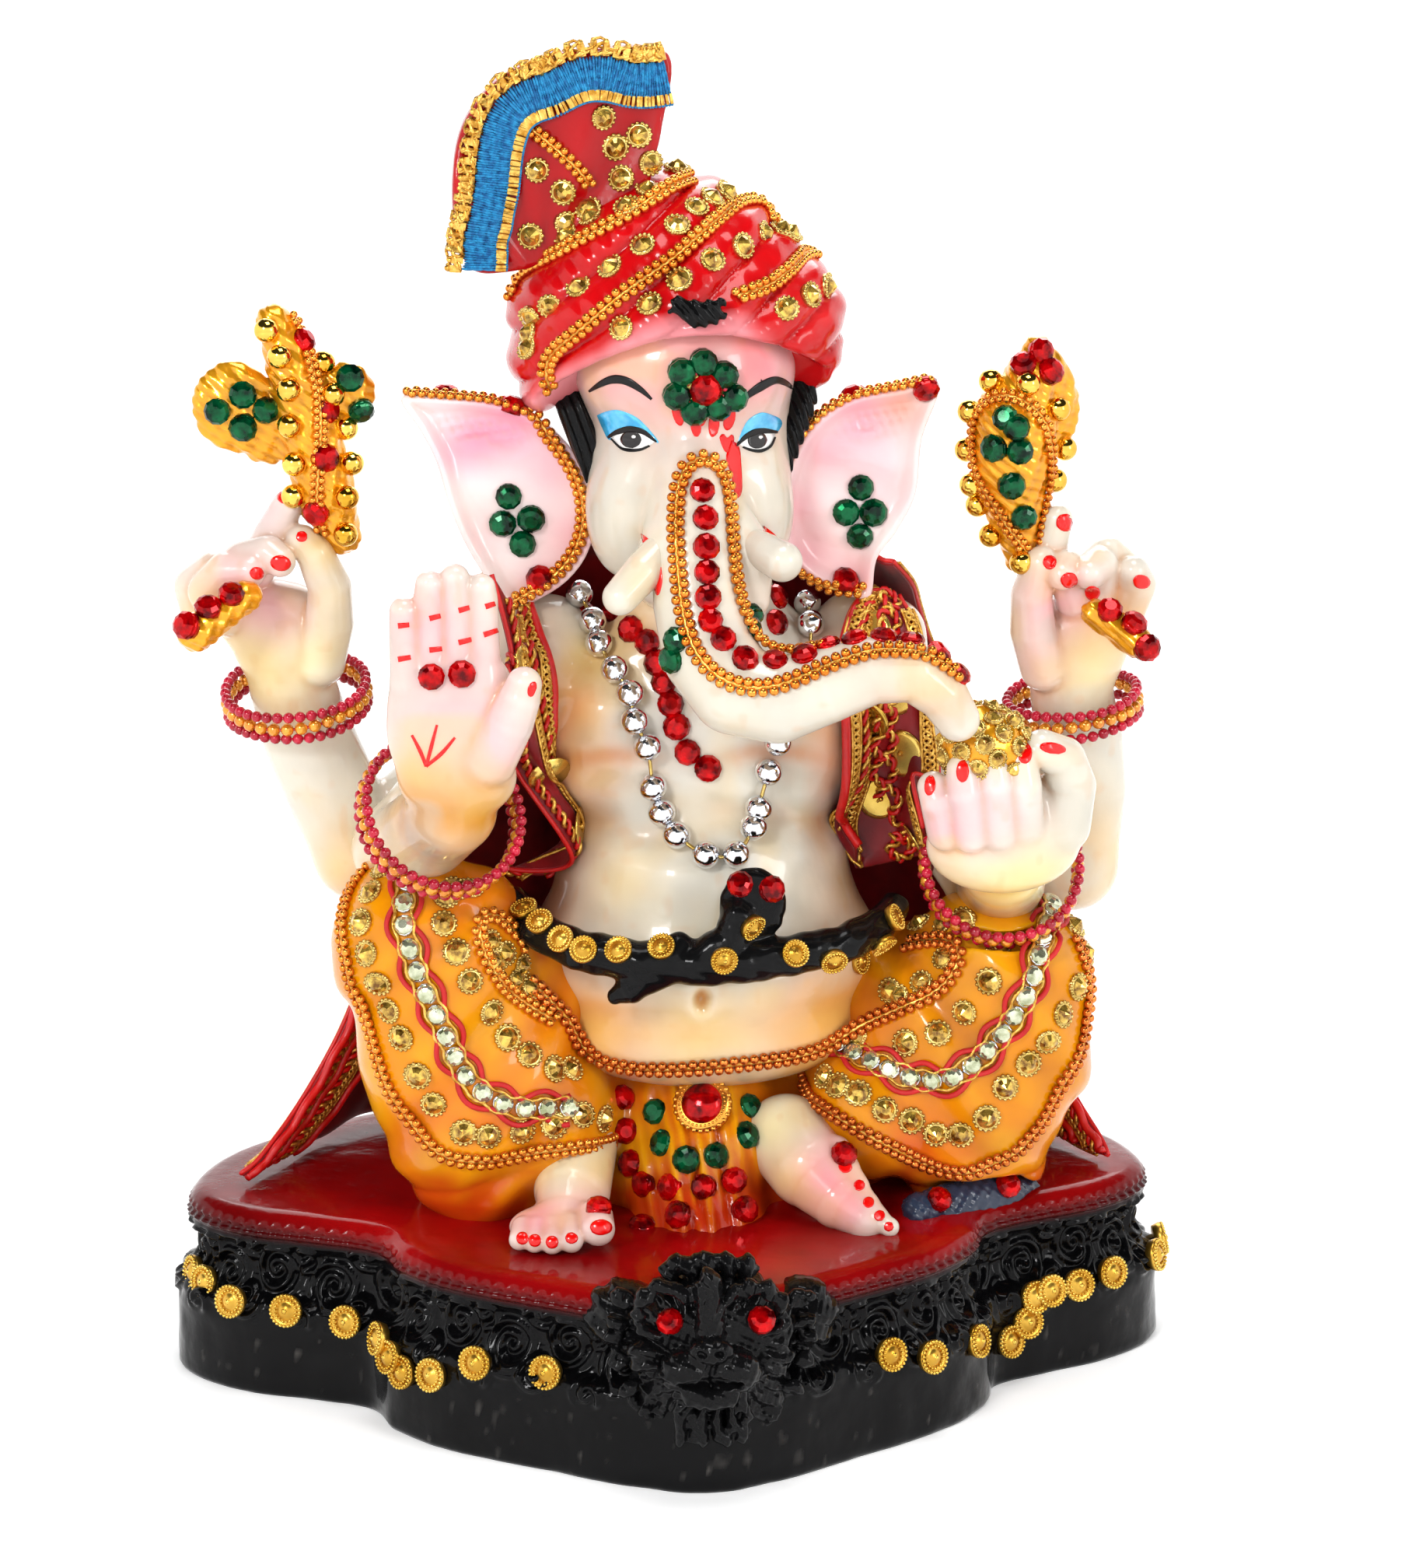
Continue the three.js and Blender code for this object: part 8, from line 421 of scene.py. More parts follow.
area("fill", (0.70, -0.70, 0.45), (0.22, 0.36), 2.1)
area("top", (0.05, -0.1, 0.95), (0.34, 0.34), 3.0)
area("rear", (0.1, 0.75, 0.75), (0.7, 0.5), 4.5)
# floor that sweeps up into a far backdrop on every side
rr = [0.0, 0.3, 0.6, 1.0, 1.5, 2.2, 3.0, 3.4, 3.6, 3.7]; zz_ = [0, 0, 0, 0, 0, 0, 0.1, 0.5, 1.2, 2.6]; ns = 64
fv = [(0, 0, 0)]+[(r*math.cos(2*math.pi*i/ns), r*math.sin(2*math.pi*i/ns), z) for r, z in zip(rr[1:], zz_[1:]) for i in range(ns)]
ff = [(0, 1+i, 1+(i+1) % ns) for i in range(ns)]+[(1+k*ns+i, 1+(k+1)*ns+i, 1+(k+1)*ns+(i+1) % ns, 1+k*ns+(i+1) % ns) for k in range(len(rr)-2) for i in range(ns)]
fl = bpy.data.meshes.new("floor"); fl.from_pydata(fv, [], ff); fo = bpy.data.objects.new("floor", fl); scn.collection.objects.link(fo)
fl.polygons.foreach_set("use_smooth", [True]*len(fl.polygons))
fm, ft, fb = new_mat("floor_paper"); nn = noise(ft, 8.0); cr = ft.nodes.new("ShaderNodeValToRGB")
cr.color_ramp.elements[0].color = (.90, .90, .90, 1); cr.color_ramp.elements[1].color = (.93, .93, .93, 1); ft.links.new(nn.outputs["Fac"], cr.inputs["Fac"]); ft.links.new(cr.outputs["Color"], fb.inputs["Base Color"]); fb.inputs["Roughness"].default_value = 0.95
fb.inputs["Emission Color"].default_value = (1, 1, 1, 1)
tc = ft.nodes.new("ShaderNodeTexCoord"); vl = ft.nodes.new("ShaderNodeVectorMath"); vl.operation = "LENGTH"; ft.links.new(tc.outputs["Object"], vl.inputs[0])
me_ = ft.nodes.new("ShaderNodeMapRange"); me_.inputs["From Min"].default_value = 0.35; me_.inputs["From Max"].default_value = 1.5; me_.inputs["To Min"].default_value = 0.28; me_.inputs["To Max"].default_value = 0.74
ft.links.new(vl.outputs["Value"], me_.inputs["Value"]); ft.links.new(me_.outputs["Result"], fb.inputs["Emission Strength"])
fl.materials.append(fm)

# ------------------------------------------------------------------ castings
RINGS = MISC["rings"]
def ring_axes(r):
    ax = np.array(r["ax"], float); ax /= np.linalg.norm(ax); u = np.cross(ax, [0, 0, 1.0]); u /= np.linalg.norm(u); return ax, u, np.cross(ax, u)
def ring_cut(g, f, gap=0.45):
    for r in RINGS.values():
        c = np.array(r["c"]); ax, u, v = ring_axes(r); m = r["ro"]+5; s = g.sub(c-m, c+m)
        if s is None: continue
        X, Y, Z = np.meshgrid(*g.axes(s), indexing="ij", sparse=True); x, y, z = X-c[0], Y-c[1], Z-c[2]
        h = x*ax[0]+y*ax[1]+z*ax[2]; rho = np.sqrt(np.maximum(x*x+y*y+z*z-h*h, 0))
        d = np.maximum(np.abs(rho-(r["ri"]+r["ro"])/2)-(r["ro"]-r["ri"])/2, np.abs(h)-r["h"]/2)
        f[s] = np.maximum(f[s], -(d-gap)).astype(np.float32)
    return f
G2 = lambda x, s: np.exp(-(x/s)**2)

nv = MISC["navel"]; cr1 = MISC["crease"]
def torso_disp(X, Y, Z):
    front = np.clip((-Y-4)/10, 0, 1); zc = cr1[1][2]+((X-cr1[1][0])/26.0)**2*1.6
    d = 0.8*G2(Z-zc, 1.1)*front*G2(X-cr1[1][0], 30)                                   # belly roll line
    d = d + 3.4*np.exp(-(((X-nv[0])/1.7)**2+((Z-nv[2])/2.4)**2))*front                # navel
    d = d - 0.35*np.exp(-(((X-nv[0])/3.4)**2+((Z-nv[2]-0.6)/4.2)**2))*front
    d = d + 2.0*G2(X-3, 3.6)*np.clip((Z-134)/8, 0, 1)*np.clip((168-Z)/8, 0, 1)*front  # breastbone
    side = np.abs(X-3)
    d = d - 0.9*np.exp(-((side-17)/8.0)**2-((Z-150)/7.5)**2)*front                    # soft chest
    d = d + 2.0*G2(Z-(139.5-0.012*(side-16)**2), 1.9)*G2(side-17, 12)*front - 1.1*G2(Z-171, 3.0)*G2(side-20, 12)*front           # fold under it
    d = d - 0.45*np.sin(X*0.33+Z*0.21)*np.sin(Z*0.37-X*0.17)*np.clip((Z-104)/12, 0, 1)
    return d
def torso_color(P, N, cav):
    c = skin_color("torso", IVORY, 0.75)(P, N, cav); sd = np.abs(P[:, 0]-3); fr = np.clip(-N[:, 1]*2, 0, 1); n = vnoise(P, 5.0, 41)
    # orange-brown along the fold under the chest on the front faces: painted shade in the fold, partly the real orange
    # tint
    c = mix(c, lin((206, 116, 40)), 0.55*G2(P[:, 2]-(139.3-0.012*(sd-16)**2), 2.6)*G2(sd-19, 11)*fr)
    # orange towards the chest sides: partly the real orange patina, partly painted side shade
    c = mix(c, lin((214, 120, 50)), 0.6*np.clip((sd-23)/6, 0, 1)*G2(P[:, 2]-140, 22)*(0.4+0.9*n)*(P[:, 1] < 12))
    # grey down the breastbone groove on the front: painted shade
    c = mix(c, lin((190, 186, 178)), 0.5*G2(P[:, 0]-3, 8)*G2(P[:, 2]-136, 14)*fr)
    c = mix(c, lin((226, 178, 86)), 0.5*np.clip((96-P[:, 2])/14, 0, 1)*(0.35+0.65*np.clip((sd-14)/12, 0, 1))*fr)
    return c
casting("torso", 0.6, 5.0, None, "skin", disp=torso_disp, color=torso_color, cut=ring_cut)

def head_disp(X, Y, Z):
    d = 0
    for q in MISC["eyes"]: d = d + 0.9*np.exp(-((X-q[0])**2/42+(Z-q[2])**2/20)) * (Y < 0)
    return d
casting("head", 0.5, 4.0, 2.0, "skin", disp=head_disp, color=skin_color("head", IVORY, 0.25), extra=[["e", 2.2, -0.5, 221.0, 23.0, 19.2, 17.5, 0, 0, 0]])
for n in ("tusk_right", "tusk_left"): casting(n, 0.35, 1.0, None, "skin", color=skin_color(n, IVORY, 0.3))
for n in ("front_arm_right", "front_arm_left", "rear_arm_right", "rear_arm_left"): casting(n, 0.5, 3.0, 1.1, "skin", color=skin_color(n, IVORY, 0.55), cut=ring_cut)
for n in ("foot_right", "foot_left"): casting(n, 0.4, 2.2, 0.9, "skin", color=skin_color(n, IVORY, 0.5))

def dhoti_disp(X, Y, Z):
    # soft cloth folds running down and round the knees
    side = np.where(X < 2, -1.0, 1.0); a = (X-side*20)*0.55*side+(Z-60)*0.42
    d = 0.75*np.sin(a*0.40+0.4*np.sin(Z*0.09)+0.6*side)*np.clip((Z-44)/10, 0, 1)+0.30*np.sin(a*0.85+1.7+0.8*np.sin(Z*.13))
    ap = np.clip(1-np.abs(X-1.5)/17, 0, 1)*np.clip((-Y-6)/8, 0, 1)*np.clip((82-Z)/8, 0, 1)
    d = d+ap*(0.9*np.sin(X*0.95+0.5*np.sin(Z*0.25))+0.4*np.sin(X*2.1+Z*0.3))-1.1*ap*np.clip((49-Z)/5, 0, 1)
    return d + 0.22*np.sin(X*0.7+1.3*np.sin(Z*0.2))*np.clip((56-Z)/10, 0, 1)
def dhoti_color(P, N, cav):
    c = spots(P, lin((216, 132, 0)), "dhoti_legs", N); n = vnoise(P, 8.0, 5)
    # crests are mixed to bright yellow, a painted highlight; hollows to dark orange-brown, painted shade, partly the
    # real orange-red tint of the creases
    c = mix(c, lin((236, 170, 0)), np.clip(-cav*2.2, 0, 0.75)); c = mix(c, lin((150, 52, 2)), np.clip(cav*2.3, 0, 0.9))
    c = mix(c, lin((190, 44, 8)), np.clip((49-P[:, 2])/7, 0, 0.8)); c = mix(c, lin((236, 186, 20)), 0.35*np.clip((vnoise(P, 14.0, 31)-0.55)*4, 0, 1)); return c*(0.86+0.2*n[:, None])
mc_ = [["t"]+[[p[0], p[1]-s_, p[2]+0.12*s_, p[3]+1.0] for p in MISC["mouse_extra"][0][1:]] for s_ in (0, 5, 10, 15)]
casting("dhoti_legs", 0.65, 6.0, None, "dhoti", disp=dhoti_disp, color=dhoti_color, carve=mc_, kc=1.5, cut=lambda g, f: ring_cut(g, f, 1.1))

def turban_disp(X, Y, Z):
    a = Z*0.74-X*0.62; ph = a/8.6
    return -1.9*np.abs(np.sin(math.pi*ph+0.25*np.sin(Y*0.12)))**0.7+1.1+0.2*np.sin(X*1.1+Z*0.9)*np.abs(np.sin(math.pi*ph))
def turban_color(P, N, cav):
    n = vnoise(P, 6.0, 9); c = np.tile(lin((184, 6, 12)), (len(P), 1))
    # hollows darkened: painted shade; crests lightened: painted highlight
    c = mix(c, lin((128, 4, 10)), np.clip(cav*1.4, 0, 0.7)); c = mix(c, lin((216, 30, 36)), np.clip(-cav*1.0, 0, 0.4)*n)
    arch = 230.5-((P[:, 0]-4.4)/9.6)**2*1.28; rim = np.clip((arch+5.0-P[:, 2]+4.0*(n-0.5))/4.5, 0, 1)*np.clip((8-P[:, 1])/12, 0, 1)*np.clip((20-P[:, 0])/8, 0, 1); c = mix(c, lin((226, 150, 156)), 0.8*rim)
    # a painted highlight: lighter red on the right side of the turban
    turban_painted_highlight = np.exp(-((P[:, 0]-25)**2+(P[:, 2]-231)**2)/90)*(P[:, 1] < 5); c = mix(c, lin((232, 70, 70)), 0.45*turban_painted_highlight*n)
    return c
def turban_cut(g, f):
    X, Y, Z = g.mesh(); arch = 230.5-((X-4.4)/9.6)**2*1.28-np.clip(Y+6, 0, 30)*0.9
    d = (arch-Z)+0.0*Y                                      # > 0 below the arch
    return np.where(Y < 14, smax(f, d*0.9, 2.5), f).astype(np.float32)
casting("turban", 0.55, 4.0, None, "turban", disp=turban_disp, color=turban_color, cut=turban_cut)

# plates cut to an outline: ears and turban fan
def poly_sd(poly, X, Z):
    P = np.array(poly, float); d = np.full(X.shape, 1e9); inside = np.zeros(X.shape, bool)
    for a, b in zip(P, np.roll(P, -1, 0)):
        e = b-a; w0, w1 = X-a[0], Z-a[1]; t = np.clip((w0*e[0]+w1*e[1])/(e@e), 0, 1); d = np.minimum(d, (w0-e[0]*t)**2+(w1-e[1]*t)**2)
        c = (a[1] <= Z) != (b[1] <= Z); xx = a[0]+(Z-a[1])/np.where(b[1] == a[1], 1e-9, b[1]-a[1])*e[0]; inside ^= c & (X < xx)
    return np.where(inside, -1, 1)*np.sqrt(d)
def smooth_poly(P, k=6):
    P = np.array(P, float); n = len(P); out = []
    for i in range(n):
        p0, p1, p2, p3 = P[i-1], P[i], P[(i+1) % n], P[(i+2) % n]
        for t in np.linspace(0, 1, k, endpoint=False): out.append(.5*((2*p1)+(-p0+p2)*t+(2*p0-5*p1+4*p2-p3)*t*t+(-p0+3*p1-3*p2+p3)*t**3))
    return np.array(out)
def plate(name, poly, vox, back, front_of, half, mat, color):
    P = smooth_poly(poly); lo = [P[:, 0].min()-4, back[0], P[:, 1].min()-4]; hi = [P[:, 0].max()+4, back[1], P[:, 1].max()+4]
    g = Grid(lo, hi, vox); ax = g.axes(g.full()); XX, ZZ = np.meshgrid(ax[0], ax[2], indexing="ij"); sd = poly_sd(P, XX, ZZ)
    mid, th = front_of(XX, ZZ, sd); Y = ax[1][None, :, None]
    dy = np.abs(Y-mid[:, None, :])-th[:, None, :]; dx = np.broadcast_to(sd[:, None, :], dy.shape)
    r = 1.0; f = smax(dy+0*dx, dx+0*dy, 1.6)
    pts, F = mesh_of(g, f.astype(np.float32)); pts, F = biggest(pts, F); pts = relax(pts, F, 1); SURF[name] = (pts, F); N = normals(pts, F)
    o = make(name+"_cast", pts, F, MT[mat], paint=color(pts, N, cavity(pts, F)), replaces=(name,)); log(name, len(F)); return o
def ear_shape(XX, ZZ, sd):
    e = np.clip(-sd, 0, 14); dish = 1.9*np.exp(-(e/2.4)**2)+0.55*np.sin(ZZ*0.42+XX*0.12)*np.clip(e/6, 0, 1)*0.6
    front = 4.0-dish*1.5+0.45*np.sin(ZZ*2.1+XX*1.3)*np.sin(XX*1.7-ZZ*.6)*np.clip((ZZ-203)/6, 0, 1)*np.clip((e-3)/3, 0, 1)+0.3*np.sin(ZZ*1.3+2*np.sin(XX*.5))*np.clip((e-5)/4, 0, 1)*np.clip((ZZ-200)/8, 0, 1)
    back = 8.6-1.2*np.exp(-(e/3.0)**2)*1.2; return (front+back)/2, (back-front)/2
for n, k in (("ear_right", "earr"), ("ear_left", "earl")):
    def col(P, N, cav, n=n):
        # hollows darkened to pinkish brown: painted shade
        c = spots(P, lin((238, 224, 220)), n, N); back = np.clip((N[:, 1]-0.2)*2, 0, 1); c = mix(c, lin((236, 214, 204)), 0.7*back); c = mix(c, lin((206, 150, 130)), np.clip(cav*1.4, 0, .6)); return c
    plate(n, MISC[k], 0.5, (-2, 14), ear_shape, 3, "skin", col)
FANC = np.array([-27.0, 238.0])
def fan_shape(XX, ZZ, sd):
    a = np.arctan2(ZZ-FANC[1], XX-FANC[0]); r = np.hypot(XX-FANC[0], ZZ-FANC[1]); pl = np.sin(a*13.0)*np.clip(r/30, 0, 1)*1.1
    lean = 0.0*r; valley = 1.8*np.exp(-((a-1.83)/0.12)**2)*np.clip(r/20, 0, 1)
    front = -3.4+pl+valley+lean; back = 3.2+pl*0.8+valley*.5; return (front+back)/2, (back-front)/2
def fan_col(P, N, cav):
    # hollows darkened: painted shade; crests lightened: painted highlight
    n = vnoise(P, 5.0, 4); c = np.tile(lin((160, 4, 10)), (len(P), 1)); c = mix(c, lin((96, 0, 4)), np.clip(cav*1.5, 0, .8)); return mix(c, lin((196, 20, 24)), np.clip(-cav*1.2, 0, .5)*n)
plate("turban_fan", MISC["fan"], 0.55, (-9, 9), fan_shape, 3, "turban", fan_col)

# black, darker still in the hollows: painted shade
BLK = lambda P, N, cav: np.clip(np.tile(lin((8, 8, 9)), (len(P), 1))*(1-np.clip(cav, 0, .5))[:, None]+0.0015, 0, 1)
casting("snake_belt", 0.4, 1.5, None, "black", color=BLK, disp=lambda X, Y, Z: 0.22*np.sin(X*0.9+0.5*Z+np.sin(Z*.7))*np.sin(Z*0.8-X*.3))
# gold paint, dark brown in the hollows: painted shade
GOLDC = lambda P, N, cav: mix(np.tile(lin((232, 158, 20)), (len(P), 1)), lin((130, 62, 4)), np.clip(cav*2.4, 0, .85))
for n in ("axe", "mace", "axe_handle", "mace_handle"): casting(n, 0.4, 2.0, None, "goldpaint", color=GOLDC, disp=lambda X, Y, Z: 0.3*np.sin(X*1.5+Z*.9)*np.sin(Z*1.4-Y))
casting("modak", 0.4, 2.5, None, "goldpaint", color=GOLDC, disp=lambda X, Y, Z: 0.25*np.sin(np.arctan2(Y+33, X-67)*9))
# slate, darker in the hollows: painted shade
SL = lambda P, N, cav: mix(np.tile(lin((40, 50, 70)), (len(P), 1)), lin((18, 22, 30)), np.clip(cav*2, 0, .8))
def mx(a, b, y):
    d = np.array([a, b]); return None
casting("mouse", 0.4, 2.0, None, "slate", color=SL, extra=[q for q in MISC["mouse_extra"]], disp=lambda X, Y, Z: 0.2*np.sin(X*2.6+Z)*np.sin(Z*2.2+Y))

for q_ in ("hair_right", "hair_left"):
    casting(q_, 0.35, 1.0, None, "black", color=BLK, extra=MISC[q_], disp=lambda X, Y, Z: 0.35*np.sin(X*3.0+Z*0.8+Y), replaces=())
casting("hair_tuft", 0.3, 1.2, None, "black", color=BLK, extra=MISC["hair_tuft"], disp=lambda X, Y, Z: 0.3*np.sin(X*2.4+Z*2.0), replaces=())
# ------------------------------------------------------------------ plinth
def outline(n):
    P = np.array(MISC["half"]+[[-x, y] for x, y in MISC["half"][-2:0:-1]], float); m = len(P); out = []
    for i in range(m):
        p0, p1, p2, p3 = P[i-1], P[i], P[(i+1) % m], P[(i+2) % m]
        for t in np.linspace(0, 1, 24, endpoint=False): out.append(.5*((2*p1)+(-p0+p2)*t+(2*p0-5*p1+4*p2-p3)*t*t+(-p0+3*p1-3*p2+p3)*t**3))
    Q = np.array(out); d = np.r_[0, np.cumsum(np.linalg.norm(np.diff(np.vstack([Q, Q[:1]]), axis=0), axis=1))]; t = np.linspace(0, d[-1], n, endpoint=False)
    Q2 = np.vstack([Q, Q[:1]]); return np.stack([np.interp(t, d, Q2[:, k]) for k in (0, 1)], 1), t, d[-1]
NB = 1040
OUT, TB, LB = outline(NB)
if (OUT[:, 0]*np.roll(OUT[:, 1], -1)-np.roll(OUT[:, 0], -1)*OUT[:, 1]).sum() < 0: OUT = OUT[::-1]
TAN = np.roll(OUT, -3, 0)-np.roll(OUT, 3, 0); TAN /= np.linalg.norm(TAN, axis=1, keepdims=True); NOR = np.stack([TAN[:, 1], -TAN[:, 0]], 1)
for _ in range(6): NOR = (np.roll(NOR, 1, 0)+np.roll(NOR, -1, 0)+NOR*2)/4
NOR /= np.linalg.norm(NOR, axis=1, keepdims=True)
LEV = [(0, 0.6), (1.2, 0), (12, 0.3), (19.0, 0.2), (20.5, 1.0), (22, 3.6), (26, 6.0), (30, 5.8), (31.2, 5.6), (32, 4.2), (33.4, 3.2), (34.2, 3.8), (35.4, 2.6), (36.2, 3.6), (37.4, 3.2), (38.6, 3.9), (39.4, 4.8), (40, 6.5)]
def prof(z): a = np.array(LEV); return np.interp(z, a[:, 0], a[:, 1])
ZL = np.r_[0, 0.6, np.linspace(1.2, 13, 10), np.linspace(13.4, 34, 46), np.linspace(34.4, 40, 16)]
S_ = TB[None, :]+0*ZL[:, None]; Z_ = ZL[:, None]+0*TB[None, :]
def scroll(S, Z, z0, pitch, rad, sgn):
    i = np.floor(S/pitch); cx = (i+0.5)*pitch; x = (S-cx)*np.where(i % 2 == 0, 1, -1)*sgn; y = Z-z0-np.where(i % 2 == 0, 1.2, -1.2)
    r = np.hypot(x, y); a = np.arctan2(y, x); return (0.5+0.5*np.cos(a+r*2*math.pi/2.9))*np.clip((rad-r)/1.2, 0, 1)
n_sc = round(LB/13.2); pit = LB/n_sc
h1 = scroll(S_, Z_, 26.0, pit, 6.4, 1); h2 = scroll(S_+pit/2, Z_, 31.2, pit, 4.2, -1); h3 = scroll(S_+pit*0.5, Z_, 19.6, pit, 4.6, -1)
P3_ = np.stack([OUT[None, :, 0]+0*Z_, OUT[None, :, 1]+0*Z_, Z_], -1)
n1 = vnoise(P3_, 2.2, 1); n2 = vnoise(P3_, 6.0, 2)
bandm = np.clip((Z_-15.5)/2, 0, 1)*np.clip((34.0-Z_)/1.4, 0, 1)
relief = bandm*(1.5*np.maximum(np.maximum(h1, h2), h3)-0.4)+bandm*0.5*(n1-0.5)+0.5*(n2-0.5)*np.clip((16-Z_)/4, 0, 1)+0.12*(n1-.5)
flute = 0.22*np.sin(S_*1.9)*np.clip((Z_-34.5)/1, 0, 1)*np.clip((38.5-Z_)/1, 0, 1)
inset = prof(Z_)-relief-flute; inset = np.maximum(inset, -0.6)
ring = np.stack([OUT[None, :, 0]-NOR[None, :, 0]*inset, OUT[None, :, 1]-NOR[None, :, 1]*inset, Z_], -1)
rows = [ring[i] for i in range(len(ZL))]
top0 = rows[-1].copy(); ctr = np.array([0, 0, 40.0])
for k, s in enumerate((0.97, 0.93, 0.87, 0.8, 0.7, 0.58, 0.45, 0.3, 0.15)):
    q = ctr+(top0-ctr)*s; q[:, 2] = 40.0+0.35*(vnoise(q, 12.0, 7)-0.5); rows.append(q)
bot = []; b0 = rows[0]
for s in (0.9, 0.6, 0.3): q = b0*s; q[:, 2] = 0; bot.append(q)
V = np.concatenate(bot[::-1]+rows); nr = len(bot)+len(rows); I = np.arange(NB); J = (I+1) % NB; F = []
for k in range(nr-1): F.append(np.stack([k*NB+I, k*NB+J, (k+1)*NB+J, (k+1)*NB+I], 1))
F = np.concatenate(F); V = np.vstack([V, [[0, 0, 0], [0, 0, 40]]])
cap = np.concatenate([np.stack([J, I, np.full(NB, nr*NB)], 1), np.stack([(nr-1)*NB+I, (nr-1)*NB+J, np.full(NB, nr*NB+1)], 1)])
cap4 = np.concatenate([F[:, [0, 1, 2]], F[:, [0, 2, 3]], cap])
Nn = normals(V, cap4)
def base_col(P, N):
    n = vnoise(P, 5.0, 11); n2 = vnoise(P, 1.7, 12); n3 = vnoise(P, 22.0, 13); c = np.tile(lin((5, 5, 6)), (len(P), 1))
    e = np.interp(P[:, 2], [0, 33.5, 36.5, 39, 40], [0, 0, 0.35, 0.8, 1.0]); th = np.arctan2(P[:, 1]+8, P[:, 0]); front = np.clip((-P[:, 1]+8)/26, 0, 1)
    j = (np.hypot(P[:, 0]/112.0, (P[:, 1]+0)/75.0)); edge = np.clip((j-0.74)/0.2, 0, 1)*(1-0.85*front*np.clip((78-np.abs(P[:, 0]))/14, 0, 1))
    red = mix(np.tile(lin((118, 3, 6)), (len(P), 1)), lin((162, 8, 10)), n3); red = mix(red, lin((56, 4, 6)), 0.55*edge*np.clip(0.6+n, 0, 1))
    c = c*(1-e[:, None])+red*e[:, None]
    c = mix(c, lin((104, 100, 96)), 0.6*np.clip((n2-0.80)*4, 0, 1)*(P[:, 2] < 15)*np.clip(n*1.3-.2, 0, 1)); return c
make("base_plinth_cast", V, cap4, MT["black"], paint=base_col(V, Nn), replaces=("base_plinth",)); SURF["base"] = (V, cap4); log("plinth", len(cap4))
def lion_disp(X, Y, Z):
    th = np.arctan2(Z-31.0, X-1.3); r = np.hypot(X-1.3, Z-31.0)
    return 0.5*np.sin(th*26+1.4*np.sin(r*0.55))*np.clip((r-9)/3, 0, 1)+0.18*np.sin(X*2.9+Z*1.1)*np.sin(Z*2.6-X)
casting("lion_mask", 0.42, 2.2, 0.9, "black", color=BLK, disp=lion_disp, extra=MISC["lion_extra"], carve=MISC["lion_carve"], kc=0.8, replaces=())

# ------------------------------------------------------------------ paths on surfaces
def crom(P, step):
    P = np.asarray(P, float); n = len(P); out = []
    for i in range(n-1):
        p0, p1, p2, p3 = P[max(i-1, 0)], P[i], P[i+1], P[min(i+2, n-1)]
        m = max(2, int(np.linalg.norm(p2-p1)/step)+1)
        for t in np.linspace(0, 1, m, endpoint=False): out.append(.5*((2*p1)+(-p0+p2)*t+(2*p0-5*p1+4*p2-p3)*t*t+(-p0+3*p1-3*p2+p3)*t**3))
    out.append(P[-1]); return np.array(out)
def even(P, pitch):
    d = np.r_[0, np.cumsum(np.linalg.norm(np.diff(P[:, :3], axis=0), axis=1))]; n = max(2, int(round(d[-1]/pitch))+1); t = np.linspace(0, d[-1], n)
    return np.stack([np.interp(t, d, P[:, k]) for k in range(P.shape[1])], 1)
def sm(A, it=3):
    A = A.copy()
    for _ in range(it): B = A.copy(); B[1:-1] = (A[:-2]+2*A[1:-1]+A[2:])/4; A = B
    return A
def lay(P, names, lift, pitch=1.0, smooth=5, it=2):
    """a path laid on surfaces: even points, outward normals and tangents"""
    Q = even(crom(P, 0.8), pitch)
    for _ in range(it):
        S0, N0 = snap(names, Q); N0 = sm(N0, smooth); N0 /= np.linalg.norm(N0, axis=1, keepdims=True); Q = sm(S0, smooth)
        S1, _n = snap(names, Q); gap = ((Q-S1)*N0).sum(1); Q = Q+N0*np.maximum(-gap, 0)[:, None]
    Q = even(Q, pitch); S0, N0 = snap(names, Q); N0 = sm(N0, smooth); N0 /= np.linalg.norm(N0, axis=1, keepdims=True)
    T = np.gradient(Q, axis=0); T /= np.maximum(np.linalg.norm(T, axis=1, keepdims=True), 1e-9); N0 = N0-T*(N0*T).sum(1, keepdims=True); N0 /= np.maximum(np.linalg.norm(N0, axis=1, keepdims=True), 1e-9)
    return Q+N0*lift, N0, T
def tube(path, r, seg=6, up=None):
    P = np.asarray(path, float); n = len(P); T = np.gradient(P, axis=0); T /= np.maximum(np.linalg.norm(T, axis=1, keepdims=True), 1e-9)
    u = np.cross(T[0], [0, 0, 1.0] if abs(T[0][2]) < .9 else [1.0, 0, 0]); u /= np.linalg.norm(u); U_ = []
    for i in range(n): u = u-T[i]*(u@T[i]); u /= max(np.linalg.norm(u), 1e-9); U_.append(u)
    U_ = np.array(U_); W = np.cross(T, U_); a = np.arange(seg)/seg*2*math.pi; R = np.broadcast_to(np.asarray(r, float), (n,))
    V = (P[:, None]+(U_[:, None]*np.cos(a)[None, :, None]+W[:, None]*np.sin(a)[None, :, None])*R[:, None, None]).reshape(-1, 3)
    F = []
    for i in range(n-1):
        for j in range(seg): k = (j+1) % seg; F.append((i*seg+j, i*seg+k, (i+1)*seg+k, (i+1)*seg+j))
    F = np.array(F); F = np.concatenate([F[:, [0, 1, 2]], F[:, [0, 2, 3]]]); V = np.vstack([V, P[:1], P[-1:]])
    c = [(n*seg, (j+1) % seg, j) for j in range(seg)]+[(n*seg+1, (n-1)*seg+j, (n-1)*seg+(j+1) % seg) for j in range(seg)]
    return V, np.concatenate([F, np.array(c)])
